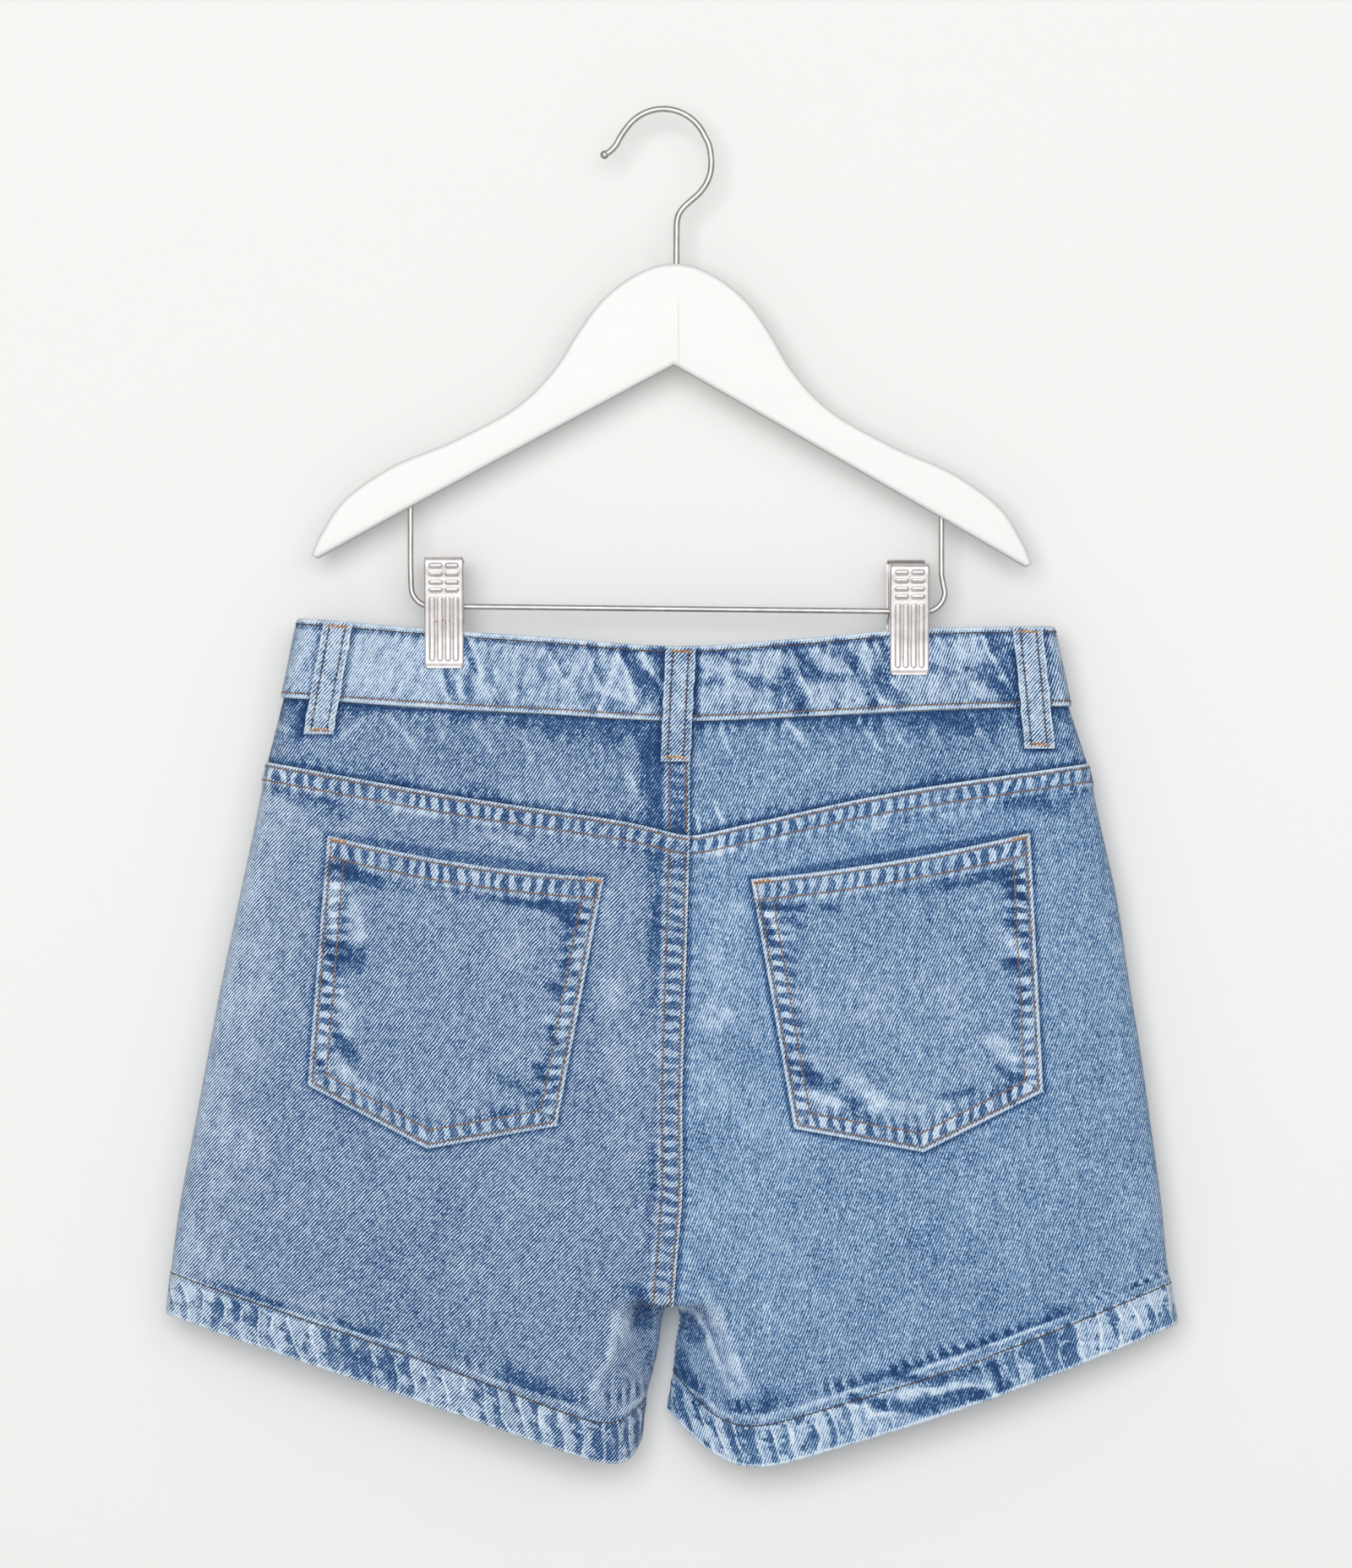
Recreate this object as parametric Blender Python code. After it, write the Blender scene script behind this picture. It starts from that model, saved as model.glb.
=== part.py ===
"""Denim shorts held by the waist on a child's wooden clip hanger.

The hook's inner top is the origin, +Z is up, the back of the shorts faces -Y and the front faces +Y.
Left and right are the wearer's, so the left leg is on the -X side.
Sizes are in millimetres up to new_object(), which turns them into metres.
"""

import math
from collections import namedtuple

import bmesh
import bpy
import numpy as np
from mathutils import Vector
from mathutils.bvhtree import BVHTree

MM = 0.001

# Cloth
DENIM = 1.2  # one layer
SEAM_GAP = 0.3  # between neighbouring pieces
BAND_GAP = 0.45  # between the waistband's foot and the cloth
LAY_GAP = 0.55  # under a piece that is sewn flat on a panel
SEAM_LIFT = 0.8  # how far a felled seam stands proud
YOKE_SEAM_WIDTH = 9.0
CENTRE_SEAM_WIDTH = 13.0
HEM_EXTRA = 1.2  # the second layer inside a hem
HEM_LIFT = 0.4
SIDE_RADIUS = 8.0  # how round the cloth turns at the sides
SEAM_SLOPE = 4.0  # over which a felled seam sinks back to the panel
PINCH_REACH = 0.25  # share of a front panel's length over which it opens out below the clips

# Waistband
BAND_WALL = 3.0
BAND_TAPER = 0.957  # the band's top is this much shorter than its bottom
OVERLAP_UNDER = -18.0  # where the under end stops
OVERLAP_OVER = 14.0  # where the buttoned end stops
OVERLAP_STEP = 3.4  # the buttoned end lies this much further out
OVERLAP_RISE = (-48.0, -26.0)  # x over which it climbs onto the under end
BAND_SIDE = 1.5  # half the depth over which the band's edges pass from the back's height to the front's

# Belt loops
LOOP_WIDTH = 14.0
LOOP_WALL = 1.6
LOOP_BOW = 2.2  # how far a loop stands off at its middle
LOOP_EDGE = 0.5  # how much thinner its rounded edges are

# Pockets, fly and button
POCKET_HEM_DEPTH = 10.0
POCKET_HEM_EXTRA = 0.8
POCKET_EDGE_EXTRA = 0.5  # the turned-in edges
POCKET_EDGE = 0.09  # their share of the pocket's width
FLY_WIDTH = 32.0
FLY_LENGTH = 104.0
FLY_EDGE_X = 4.0
FLY_CURVE = 0.22  # share of its length that is rounded off at the foot
FLY_FOOT = 0.93  # how nearly that curve closes
FLY_WALL = 1.68
BUTTON_SHANK = 3.6
BUTTON_RADIUS = 8.5
BUTTON_HEIGHT = 3.2

# Hanger
HUB_X = 1.5
HANGER_TILT = math.radians(-0.7)
WOOD_WALL = 12.0
WOOD_BEVEL = 3.0
WIRE_RADIUS = 1.25
HOOK_RADIUS = 1.35
HOOK_INNER = 18.6  # inner radius of the hook's bend
HOOK_CENTRE_X = -3.7
HOOK_FOOT_Z = -85.0
HOLE_GAP = 0.3
DRILL_LENGTH = 40.0
BAR_BEND = 8.7  # radius of the bar's bends
BAR_LEFT_TOP = -160.0
BAR_RIGHT_TOP = -165.0
BAR_LEAN = (-0.3, -1.5)  # how far the top of each leg leans to the left
PLATE_WIDTH = 17.4
PLATE_WALL = 0.9
PLATE_FLANGE = 2.4  # how far its long edges are turned in
PLATE_RIM = 0.35  # how far they stand in where the plate grips the cloth
PLATE_TURN = (19.0, 25.0)  # height over which the rim grows to the flange
SPRING_RADIUS = 6.0
SPRING_LENGTH = 10.0

# The outline of the shorts at the sides, from waist to hem.
Outline = namedtuple("Outline", "z left right")
OUTLINE = [
    Outline(-224.0, -165.0, 168.5),
    Outline(-257.4, -171.8, 175.1),
    Outline(-287.8, -179.2, 184.1),
    Outline(-317.4, -185.2, 190.5),
    Outline(-347.4, -191.6, 197.2),
    Outline(-384.9, -199.5, 202.9),
    Outline(-422.4, -206.6, 208.9),
    Outline(-452.4, -212.2, 213.0),
    Outline(-482.4, -217.9, 217.1),
    Outline(-512.4, -222.0, 220.1),
    Outline(-538.0, -224.8, 224.6),
]

# Each leg panel is a set of sections from its seam edge (centre seam, then inseam) out to the side seam.
# v runs from the top edge, 0, to the hem, 1. mid lies halfway out, ridge is where the cloth turns in to the
# inner thigh, and inner lies between the ridge and the seam.
Section = namedtuple("Section", "name v side_z mid ridge inner seam")
LEG_LENGTH = 270.0  # of a back panel, from its top edge to the hem
FORK = 0.815  # v where the centre seam ends and the inseam starts
HEM_LINE = 0.94  # v of the hem's stitching
BACK_LEFT = [
    Section("yoke seam", 0.0, -287.8,
            (-93.3, -15, -303.5), (-22.4, -16, -313.6), (-7.1, -16, -317.0), (8.2, -16, -320.3)),
    Section("upper seat", 0.2, -338.1,
            (-100.7, -18, -358.3), (-25.0, -19.5, -369.5), (-8.6, -20, -371.7), (6.7, -20, -373.2)),
    Section("seat", 0.42, -396.2,
            (-106.9, -20, -417.9), (-27.2, -22.5, -430.9), (-10.8, -23, -433.1), (4.9, -23, -434.6)),
    Section("low seat", 0.62, -450.6,
            (-113.6, -20, -473.8), (-28.6, -23.5, -481.1), (-11.5, -24.5, -483.6), (4.5, -25, -484.7)),
    Section("crotch", 0.72, -482.4,
            (-118.2, -19, -507.4), (-27.2, -22.5, -510.9), (-10.8, -25, -513.7), (1.9, -26, -515.2)),
    Section("crotch edge", 0.755, -493.7,
            (-119.7, -18.5, -518.7), (-24.9, -21.5, -522.9), (-10.8, -22.5, -525.8), (1.1, -24.5, -526.8)),
    Section("under crotch", 0.785, -498.2,
            (-120.0, -18.3, -523.1), (-24.2, -20.5, -528.9), (-11.2, -12, -527.5), (0.6, -12, -528.3)),
    Section("fork", FORK, -502.7,
            (-120.4, -18, -527.6), (-25.0, -20, -535.3), (-11.6, -3, -529.0), (0.0, 4, -527.3)),
    Section("gusset", 0.83, -504.0,
            (-120.5, -17.9, -529.6), (-25.5, -20, -539.5), (-12.8, -4, -533.5), (-2.5, 5, -529.6)),
    Section("thigh", 0.88, -508.7,
            (-121.2, -17.5, -537.7), (-27.6, -19.5, -556.6), (-15.3, -6, -551.3), (-6.4, 5, -550.3)),
    Section("hem line", HEM_LINE, -515.4,
            (-119.4, -17, -547.9), (-29.4, -19, -580.5), (-18.0, -8, -576.2), (-11.5, 5, -571.0)),
    Section("hem", 1.0, -532.3,
            (-121.2, -17, -566.9), (-25.3, -18, -600.0), (-16.1, -8, -595.5), (-13.6, 5, -588.9)),
]
BACK_RIGHT = [
    Section("yoke seam", 0.0, -288.6,
            (95.2, -15, -301.3), (41.1, -16, -313.6), (24.3, -16, -317.3), (8.2, -16, -320.3)),
    Section("upper seat", 0.2, -339.9,
            (100.7, -18, -356.5), (40.3, -19.5, -368.8), (23.5, -20, -371.7), (6.7, -20, -373.2)),
    Section("seat", 0.42, -398.1,
            (108.1, -20, -416.1), (39.1, -22, -430.1), (21.6, -22.5, -432.7), (4.9, -23, -434.6)),
    Section("low seat", 0.62, -452.4,
            (115.5, -20, -473.8), (36.5, -23, -480.4), (20.5, -24.5, -483.3), (4.5, -25, -484.7)),
    Section("crotch", 0.72, -484.3,
            (119.3, -19, -508.2), (31.7, -23, -510.9), (16.0, -25, -514.5), (1.9, -26, -515.2)),
    Section("crotch edge", 0.755, -494.4,
            (120.8, -18.5, -520.1), (26.5, -22.5, -525.1), (13.0, -24, -526.8), (1.1, -24.5, -526.8)),
    Section("under crotch", 0.785, -498.9,
            (121.6, -18.3, -526.1), (24.2, -22, -533.3), (10.8, -15, -530.0), (0.6, -12, -528.3)),
    Section("fork", FORK, -503.4,
            (121.9, -18, -530.6), (24.2, -21.5, -541.7), (10.1, -5, -532.5), (0.0, 4, -527.3)),
    Section("gusset", 0.83, -504.9,
            (122.2, -18, -532.9), (24.9, -21.3, -546.5), (10.3, -4.8, -538.0), (2.6, 5, -530.3)),
    Section("thigh", 0.88, -510.2,
            (123.1, -18, -542.1), (27.6, -20.5, -561.4), (10.9, -4, -553.4), (1.4, 5, -548.6)),
    Section("hem line", HEM_LINE, -516.9,
            (124.9, -18, -553.6), (31.7, -20, -583.0), (12.4, -6, -571.9), (0.3, 5, -561.6)),
    Section("hem", 1.0, -536.8,
            (128.7, -17, -574.6), (34.7, -19, -602.3), (13.1, -8, -592.2), (-1.7, 5, -575.9)),
]
FRONT_LEFT = [
    Section("band seam", 0.0, -259.3,
            (-88.0, 7, -271.5), (-28.0, 9, -280.5), (-12.0, 9.5, -282.5), (2.0, 9.5, -283.0)),
    Section("upper front", 0.2, -318.0,
            (-97.0, 12, -335.0), (-29.0, 13, -345.0), (-12.0, 13, -347.0), (2.0, 13, -348.0)),
    Section("front", 0.42, -385.0,
            (-104.0, 13, -405.0), (-29.0, 14.5, -418.0), (-12.0, 15, -421.0), (2.0, 15, -422.0)),
    Section("low front", 0.62, -444.0,
            (-112.0, 13, -463.0), (-28.0, 15, -474.0), (-12.0, 16, -477.0), (1.5, 16, -478.0)),
    Section("front crotch", 0.74, -478.0,
            (-117.0, 13, -497.0), (-27.0, 15, -507.0), (-11.0, 16, -510.0), (0.7, 15.5, -511.0)),
    Section("front edge", 0.785, -492.0,
            (-118.5, 12.8, -511.0), (-27.0, 14, -520.0), (-11.5, 13, -523.0), (0.3, 12.0, -523.5)),
    Section("fork", FORK, -500.0,
            (-120.0, 12.5, -520.0), (-29.0, 14, -529.0), (-14.0, 11, -529.0), (0.0, 4, -527.3)),
    Section("gusset", 0.83, -502.0,
            (-120.2, 12.3, -523.0), (-31.0, 13.6, -534.0), (-16.0, 11, -533.5), (-2.5, 5, -529.6)),
    Section("front thigh", 0.88, -508.7,
            (-121.0, 12, -532.0), (-36.0, 13, -551.0), (-20.0, 11, -552.0), (-6.4, 5, -550.3)),
    Section("hem line", HEM_LINE, -515.4,
            (-120.0, 12, -543.0), (-40.0, 13, -563.5), (-25.0, 11, -567.5), (-11.5, 5, -571.0)),
    Section("hem", 1.0, -532.3,
            (-121.0, 12, -560.5), (-42.0, 13, -581.0), (-27.5, 11, -585.0), (-13.6, 5, -588.9)),
]
FRONT_RIGHT = [
    Section("band seam", 0.0, -263.2,
            (92.0, 7, -273.5), (32.0, 9, -280.5), (16.0, 9.5, -282.5), (2.0, 9.5, -283.0)),
    Section("upper front", 0.2, -320.0,
            (100.0, 12, -336.0), (33.0, 13, -345.0), (16.0, 13, -347.0), (2.0, 13, -348.0)),
    Section("front", 0.42, -387.0,
            (106.0, 13, -406.0), (33.0, 14.5, -418.0), (16.0, 15, -421.0), (2.0, 15, -422.0)),
    Section("low front", 0.62, -446.0,
            (113.0, 13, -464.0), (32.0, 15, -474.0), (15.0, 16, -477.0), (1.5, 16, -478.0)),
    Section("front crotch", 0.74, -480.0,
            (118.0, 13, -498.0), (30.0, 15, -507.0), (13.0, 16, -510.0), (0.7, 15.5, -511.0)),
    Section("front edge", 0.785, -493.0,
            (120.0, 12.8, -512.0), (29.0, 14, -520.0), (12.5, 13, -523.0), (0.3, 12.0, -523.5)),
    Section("fork", FORK, -501.0,
            (121.0, 12.5, -521.0), (30.0, 14, -530.0), (14.0, 11, -529.0), (0.0, 4, -527.3)),
    Section("gusset", 0.83, -503.0,
            (121.5, 12.3, -523.5), (31.0, 13.6, -534.5), (15.0, 11, -534.0), (2.6, 5, -530.3)),
    Section("front thigh", 0.88, -510.2,
            (122.5, 12, -530.0), (32.0, 13, -547.0), (16.0, 11, -549.0), (1.4, 5, -548.6)),
    Section("hem line", HEM_LINE, -516.9,
            (123.0, 12, -540.0), (32.0, 13, -557.0), (15.0, 11, -560.0), (0.3, 5, -561.6)),
    Section("hem", 1.0, -536.8,
            (124.0, 12, -557.0), (31.0, 13, -571.5), (14.0, 11, -574.0), (-1.7, 5, -575.9)),
]

# The waistband's middle line from above, round from the centre front. It is flat where the clips pinch it.
BandPoint = namedtuple("BandPoint", "x y")
BAND_LINE = [
    BandPoint(2.0, 8.2),
    BandPoint(-14.0, 8.2),
    BandPoint(-30.0, 8.0),
    BandPoint(-55.0, 6.5),
    BandPoint(-78.0, 1.9),
    BandPoint(-90.0, 1.9),
    BandPoint(-103.0, 1.9),
    BandPoint(-116.0, 1.9),
    BandPoint(-128.0, 1.9),
    BandPoint(-148.0, 8.0),
    BandPoint(-164.0, 8.0),
    BandPoint(-171.5, 5.0),
    BandPoint(-172.5, 0.0),
    BandPoint(-171.5, -6.0),
    BandPoint(-164.0, -9.5),
    BandPoint(-148.0, -9.0),
    BandPoint(-128.0, -1.9),
    BandPoint(-116.0, -1.9),
    BandPoint(-103.0, -1.9),
    BandPoint(-90.0, -1.9),
    BandPoint(-78.0, -1.9),
    BandPoint(-55.0, -8.5),
    BandPoint(-28.0, -11.0),
    BandPoint(3.0, -11.8),
    BandPoint(32.0, -11.0),
    BandPoint(60.0, -8.5),
    BandPoint(82.0, -1.9),
    BandPoint(94.0, -1.9),
    BandPoint(107.0, -1.9),
    BandPoint(120.0, -1.9),
    BandPoint(132.0, -1.9),
    BandPoint(152.0, -9.0),
    BandPoint(168.0, -9.5),
    BandPoint(175.5, -6.0),
    BandPoint(176.5, 0.0),
    BandPoint(175.5, 5.0),
    BandPoint(168.0, 8.0),
    BandPoint(152.0, 8.0),
    BandPoint(132.0, 1.9),
    BandPoint(120.0, 1.9),
    BandPoint(107.0, 1.9),
    BandPoint(94.0, 1.9),
    BandPoint(82.0, 1.9),
    BandPoint(60.0, 6.5),
    BandPoint(34.0, 8.0),
    BandPoint(18.0, 8.2),
    BandPoint(2.0, 8.2),
]

# The waistband's edges. The back dips at its middle and the front is cut lower.
BandEdge = namedtuple("BandEdge", "x top bottom")
BAND_EDGES_BACK = [
    BandEdge(-176.0, -224.0, -259.3),
    BandEdge(-110.0, -229.0, -263.9),
    BandEdge(-58.0, -232.6, -266.7),
    BandEdge(3.0, -236.7, -269.9),
    BandEdge(58.0, -233.4, -268.0),
    BandEdge(110.0, -229.1, -265.2),
    BandEdge(180.0, -227.8, -263.2),
]
BAND_EDGES_FRONT = [
    BandEdge(-176.0, -224.0, -259.3),
    BandEdge(-110.0, -234.0, -269.5),
    BandEdge(0.0, -248.0, -283.0),
    BandEdge(110.0, -236.0, -271.5),
    BandEdge(180.0, -227.8, -263.2),
]

# Pocket corners, as x and z on the back panels.
Pocket = namedtuple("Pocket", "name mouth_sag top_left top_right bottom_right point bottom_left")
POCKETS = [
    Pocket("back_pocket_left", 3.2,
           (-152.0, -320.3), (-29.8, -338.9), (-50.7, -448.4), (-107.7, -458.5), (-160.6, -430.6)),
    Pocket("back_pocket_right", 2.4,
           (35.0, -339.7), (158.3, -319.2), (163.9, -433.5), (111.0, -460.0), (54.0, -449.6)),
]

# Belt loops: x at the top and the bottom end, and how far each end lies beyond the band's edges.
Loop = namedtuple("Loop", "name side x_top x_bottom below_top reach")
LOOPS = [
    Loop("belt_loop_back_left", -1, -148.8, -157.4, 0.2, 15.0),
    Loop("belt_loop_back_middle", -1, 3.0, 1.5, 0.2, 18.0),
    Loop("belt_loop_back_right", -1, 157.4, 162.6, 0.2, 18.5),
    Loop("belt_loop_front_left", 1, -66.0, -69.0, 0.2, 12.0),
    Loop("belt_loop_front_right", 1, 70.0, 73.0, 0.2, 12.0),
]

# Half of the hanger's upper edge, from the hub outwards, before it is tilted.
Arm = namedtuple("Arm", "out z")
ARM_TOP = [
    Arm(0.0, -67.2),
    Arm(8.5, -68.4),
    Arm(18.5, -72.9),
    Arm(32.0, -83.6),
    Arm(42.8, -98.2),
    Arm(51.5, -112.6),
    Arm(66.0, -128.6),
    Arm(95.0, -145.8),
    Arm(128.5, -161.0),
    Arm(147.5, -176.0),
    Arm(156.5, -190.5),
]
ARM_TIP = Arm(159.5, -200.5)
ARM_APEX = Arm(0.0, -111.9)

# Centre lines of the hook's wire below its round bend and beyond it, and the centres of the bar's bends.
WirePoint = namedtuple("WirePoint", "x z")
HOOK_CROOK = [
    WirePoint(2.1, -64.5),
    WirePoint(2.2, -52.3),
    WirePoint(2.3, -48.5),
    WirePoint(3.1, -45.2),
    WirePoint(5.1, -42.2),
    WirePoint(8.4, -39.1),
    WirePoint(12.1, -35.8),
    WirePoint(15.0, -32.0),
    WirePoint(16.9, -27.6),
    WirePoint(17.6, -22.8),
    WirePoint(17.3, -18.2),
    WirePoint(16.3, -13.6),
]
HOOK_TIP = [
    WirePoint(-20.8, -7.8),
    WirePoint(-23.0, -11.1),
    WirePoint(-24.9, -14.5),
    WirePoint(-27.4, -17.1),
    WirePoint(-30.1, -18.8),
]
BAR_LEFT_BEND = WirePoint(-106.9, -210.2)
BAR_RIGHT_BEND = WirePoint(112.5, -212.6)

# Clip plates in the Y-Z plane: height above the plate's foot, and distance from the bar's plane.
PlatePoint = namedtuple("PlatePoint", "up out")
PLATE_PATH = [
    PlatePoint(0.0, 4.9),
    PlatePoint(3.0, 4.2),
    PlatePoint(12.0, 4.1),
    PlatePoint(20.0, 5.3),
    PlatePoint(30.0, 7.1),
    PlatePoint(40.0, 8.7),
    PlatePoint(47.0, 9.7),
    PlatePoint(49.0, 9.3),
]
PLATE_LEVELS = np.array([0, 3, 10, 16, 22, 28, 36, 43, 47, 49.0])
Clip = namedtuple("Clip", "name x foot_z front_shift")
CLIPS = [
    Clip("clip_left", -100.9, -246.3, (0.0, -0.5)),
    Clip("clip_right", 105.4, -249.3, (-1.2, 2.2)),
]


# ---------------------------------------------------------------- curves and sheets


def clamped_basis(count, at):
    """Weights of a clamped cubic B-spline with count control points."""
    knots = np.concatenate([np.zeros(3), np.linspace(0, 1, count - 2), np.ones(3)])
    at = np.clip(np.asarray(at, float), 0, 1 - 1e-9)[:, None]
    weights = ((knots[:-1] <= at) & (at < knots[1:])).astype(float)
    for degree in (1, 2, 3):
        size = len(knots) - 1 - degree
        before = knots[degree : degree + size] - knots[:size]
        after = knots[degree + 1 : degree + 1 + size] - knots[1 : size + 1]
        rise = np.where(before > 0, (at - knots[:size]) / np.where(before > 0, before, 1), 0)
        ends = knots[degree + 1 : degree + 1 + size]
        fall = np.where(after > 0, (ends - at) / np.where(after > 0, after, 1), 0)
        weights = rise * weights[:, :size] + fall * weights[:, 1 : size + 1]
    return weights


def bspline(points, at):
    return clamped_basis(len(points), at) @ np.asarray(points, float)


def through(knots, values, at):
    """A smooth curve through the values, with slopes averaged from their neighbours."""
    knots = np.asarray(knots, float)
    values = np.asarray(values, float)
    at = np.clip(np.asarray(at, float), knots[0], knots[-1])
    step = np.diff(knots)
    shape = (-1,) + (1,) * (values.ndim - 1)
    slope = np.diff(values, axis=0) / step.reshape(shape)
    tangent = np.concatenate([slope[:1], slope[:1], slope[1:]])[: len(values)]
    tangent[0] = slope[0]
    tangent[-1] = slope[-1]
    for i in range(1, len(values) - 1):
        tangent[i] = (slope[i - 1] * step[i] + slope[i] * step[i - 1]) / (step[i] + step[i - 1])
    i = np.clip(np.searchsorted(knots, at, side="right") - 1, 0, len(step) - 1)
    h = step[i].reshape(shape)
    t = ((at - knots[i]) / step[i]).reshape(shape)
    return (
        (2 * t**3 - 3 * t**2 + 1) * values[i]
        + (t**3 - 2 * t**2 + t) * h * tangent[i]
        + (3 * t**2 - 2 * t**3) * values[i + 1]
        + (t**3 - t**2) * h * tangent[i + 1]
    )


def smoothstep(low, high, value):
    t = np.clip((np.asarray(value, float) - low) / (high - low), 0, 1)
    return t * t * (3 - 2 * t)


def unit(vectors):
    return vectors / np.maximum(np.linalg.norm(vectors, axis=-1, keepdims=True), 1e-9)


def outline_x(side, z):
    """The shorts' outline at height z: side is -1 on the left and 1 on the right."""
    rows = OUTLINE[::-1]
    return through([row.z for row in rows], [row.left if side < 0 else row.right for row in rows], z)


def band_z(x, y, edge):
    """Height of the waistband's top or bottom edge, at x along its bottom edge and y from back to front."""
    back, front = (
        through([row.x for row in rows], [getattr(row, edge) for row in rows], x)
        for rows in (BAND_EDGES_BACK, BAND_EDGES_FRONT)
    )
    return back + (front - back) * smoothstep(-BAND_SIDE, BAND_SIDE, y)


def loop_z(x, facing, edge):
    """The same at one x, on the back (-1) or on the front (1)."""
    return float(band_z([x], [facing * 2 * BAND_SIDE], edge)[0])


def at_fractions(points, fractions):
    gone = np.concatenate([[0], np.cumsum(np.linalg.norm(np.diff(points, axis=0), axis=1))])
    return np.stack([np.interp(fractions * gone[-1], gone, column) for column in points.T], axis=1)


def smooth_route(points, count):
    """A smooth line through the points, with the knots spaced by their distances."""
    points = np.asarray(points, float)
    gone = np.concatenate([[0], np.cumsum(np.linalg.norm(np.diff(points, axis=0), axis=1))])
    return through(gone, points, np.linspace(0, gone[-1], count))


# ---------------------------------------------------------------- leg panels

# Where a panel's mesh has its columns (seam edge to side seam) and rows (top to hem).
COLUMNS = np.array([0, 0.03, 0.07, 0.12, 0.18, 0.25, 0.33, 0.43, 0.54, 0.66, 0.77, 0.86, 0.92, 0.965, 1])
BACK_ROWS = np.array(
    [0, 0.03, 0.042, 0.11, 0.2, 0.31, 0.42, 0.52, 0.62, 0.68, 0.72, 0.74, 0.755, 0.77, 0.785, 0.8, FORK]
    + [0.83, 0.852, 0.88, 0.91, 0.935, 0.945, 0.972, 1]
)
FRONT_ROWS = np.array(
    [0, 0.035, 0.08, 0.14, 0.2, 0.31, 0.42, 0.52, 0.62, 0.69, 0.74, 0.765, 0.785, 0.8, FORK]
    + [0.83, 0.852, 0.88, 0.91, 0.935, 0.945, 0.972, 1]
)


def seam_edge(sections, v):
    """The panel's inner edge: the centre seam down to the fork, then a corner, then the inseam."""
    knots = [s.v for s in sections]
    seam = [s.seam for s in sections]
    fork = knots.index(FORK)
    above = through(knots[: fork + 1], seam[: fork + 1], v)
    below = through(knots[fork:], seam[fork:], v)
    return np.where(np.asarray(v)[:, None] <= FORK, above, below)


def leg_net(sections, v):
    """Ten control points across the panel for each v, from the seam edge to the side seam."""
    side, facing = np.sign(sections[0].mid[0]), np.sign(sections[0].mid[1])
    knots = [s.v for s in sections]
    seam = seam_edge(sections, v)
    inner = through(knots, [s.inner for s in sections], v)
    ridge = through(knots, [s.ridge for s in sections], v)
    mid = through(knots, [s.mid for s in sections], v)
    side_z = through(knots, [s.side_z for s in sections], v)
    edge = np.stack([outline_x(side, side_z), np.zeros(len(v)), side_z], axis=1)
    below_fork = smoothstep(FORK - 0.02, FORK + 0.02, v)[:, None]
    across = seam + (1 - below_fork) * [side * 4.0, 0, 0] + below_fork * [0, facing * 4.0, 0]
    flat = ridge + 0.3 * (mid - ridge)
    shoulder = mid + 0.6 * (edge - mid)
    shoulder[:, 1] = 0.9 * mid[:, 1]
    turn = edge + 0.12 * (mid - edge)
    turn[:, 1] = facing * SIDE_RADIUS * 1.35
    corner = edge + [0, facing * SIDE_RADIUS * 0.75, 0]
    return np.stack([seam, across, inner, ridge, flat, mid, shoulder, turn, corner, edge], axis=1)


def leg_points(sections, v, u, top=None):
    """Points of the panel's outer face, rows by columns. top, where given, is its first row."""
    net = leg_net(sections, v)
    grid = np.einsum("uc,vck->vuk", clamped_basis(net.shape[1], u), net)
    if top is not None:
        first = np.einsum("uc,vck->vuk", clamped_basis(net.shape[1], u), leg_net(sections, np.zeros(1)))[0]
        grid += (1 - smoothstep(0, PINCH_REACH, v))[:, None, None] * (top - first)[None]
    return grid


def leg_normals(sections, v, u, top_at=None):
    """Outward normals of the same grid."""
    step = 1e-3
    top = top_at(u) if top_at else None
    high, low = np.clip(u + step, 0, 1), np.clip(u - step, 0, 1)
    along_u = leg_points(sections, v, high, top_at(high) if top_at else None) - leg_points(
        sections, v, low, top_at(low) if top_at else None
    )
    down, up = np.clip(v + step, 0, 1), np.clip(v - step, 0, 1)
    along_v = leg_points(sections, down, u, top) - leg_points(sections, up, u, top)
    normal = unit(np.cross(along_u, along_v))
    side, facing = np.sign(sections[0].mid[0]), np.sign(sections[0].mid[1])
    normal *= side * facing
    normal[v == 0, :, 2] = 0
    trunk = v < FORK
    normal[trunk, 0, 0] = 0
    normal[v > FORK, 0] = (-side, 0, 0)
    normal[v == FORK, 0] = (-side, 0, -1)
    normal[:, -1] = (side, 0, 0)
    return unit(normal)


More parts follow.
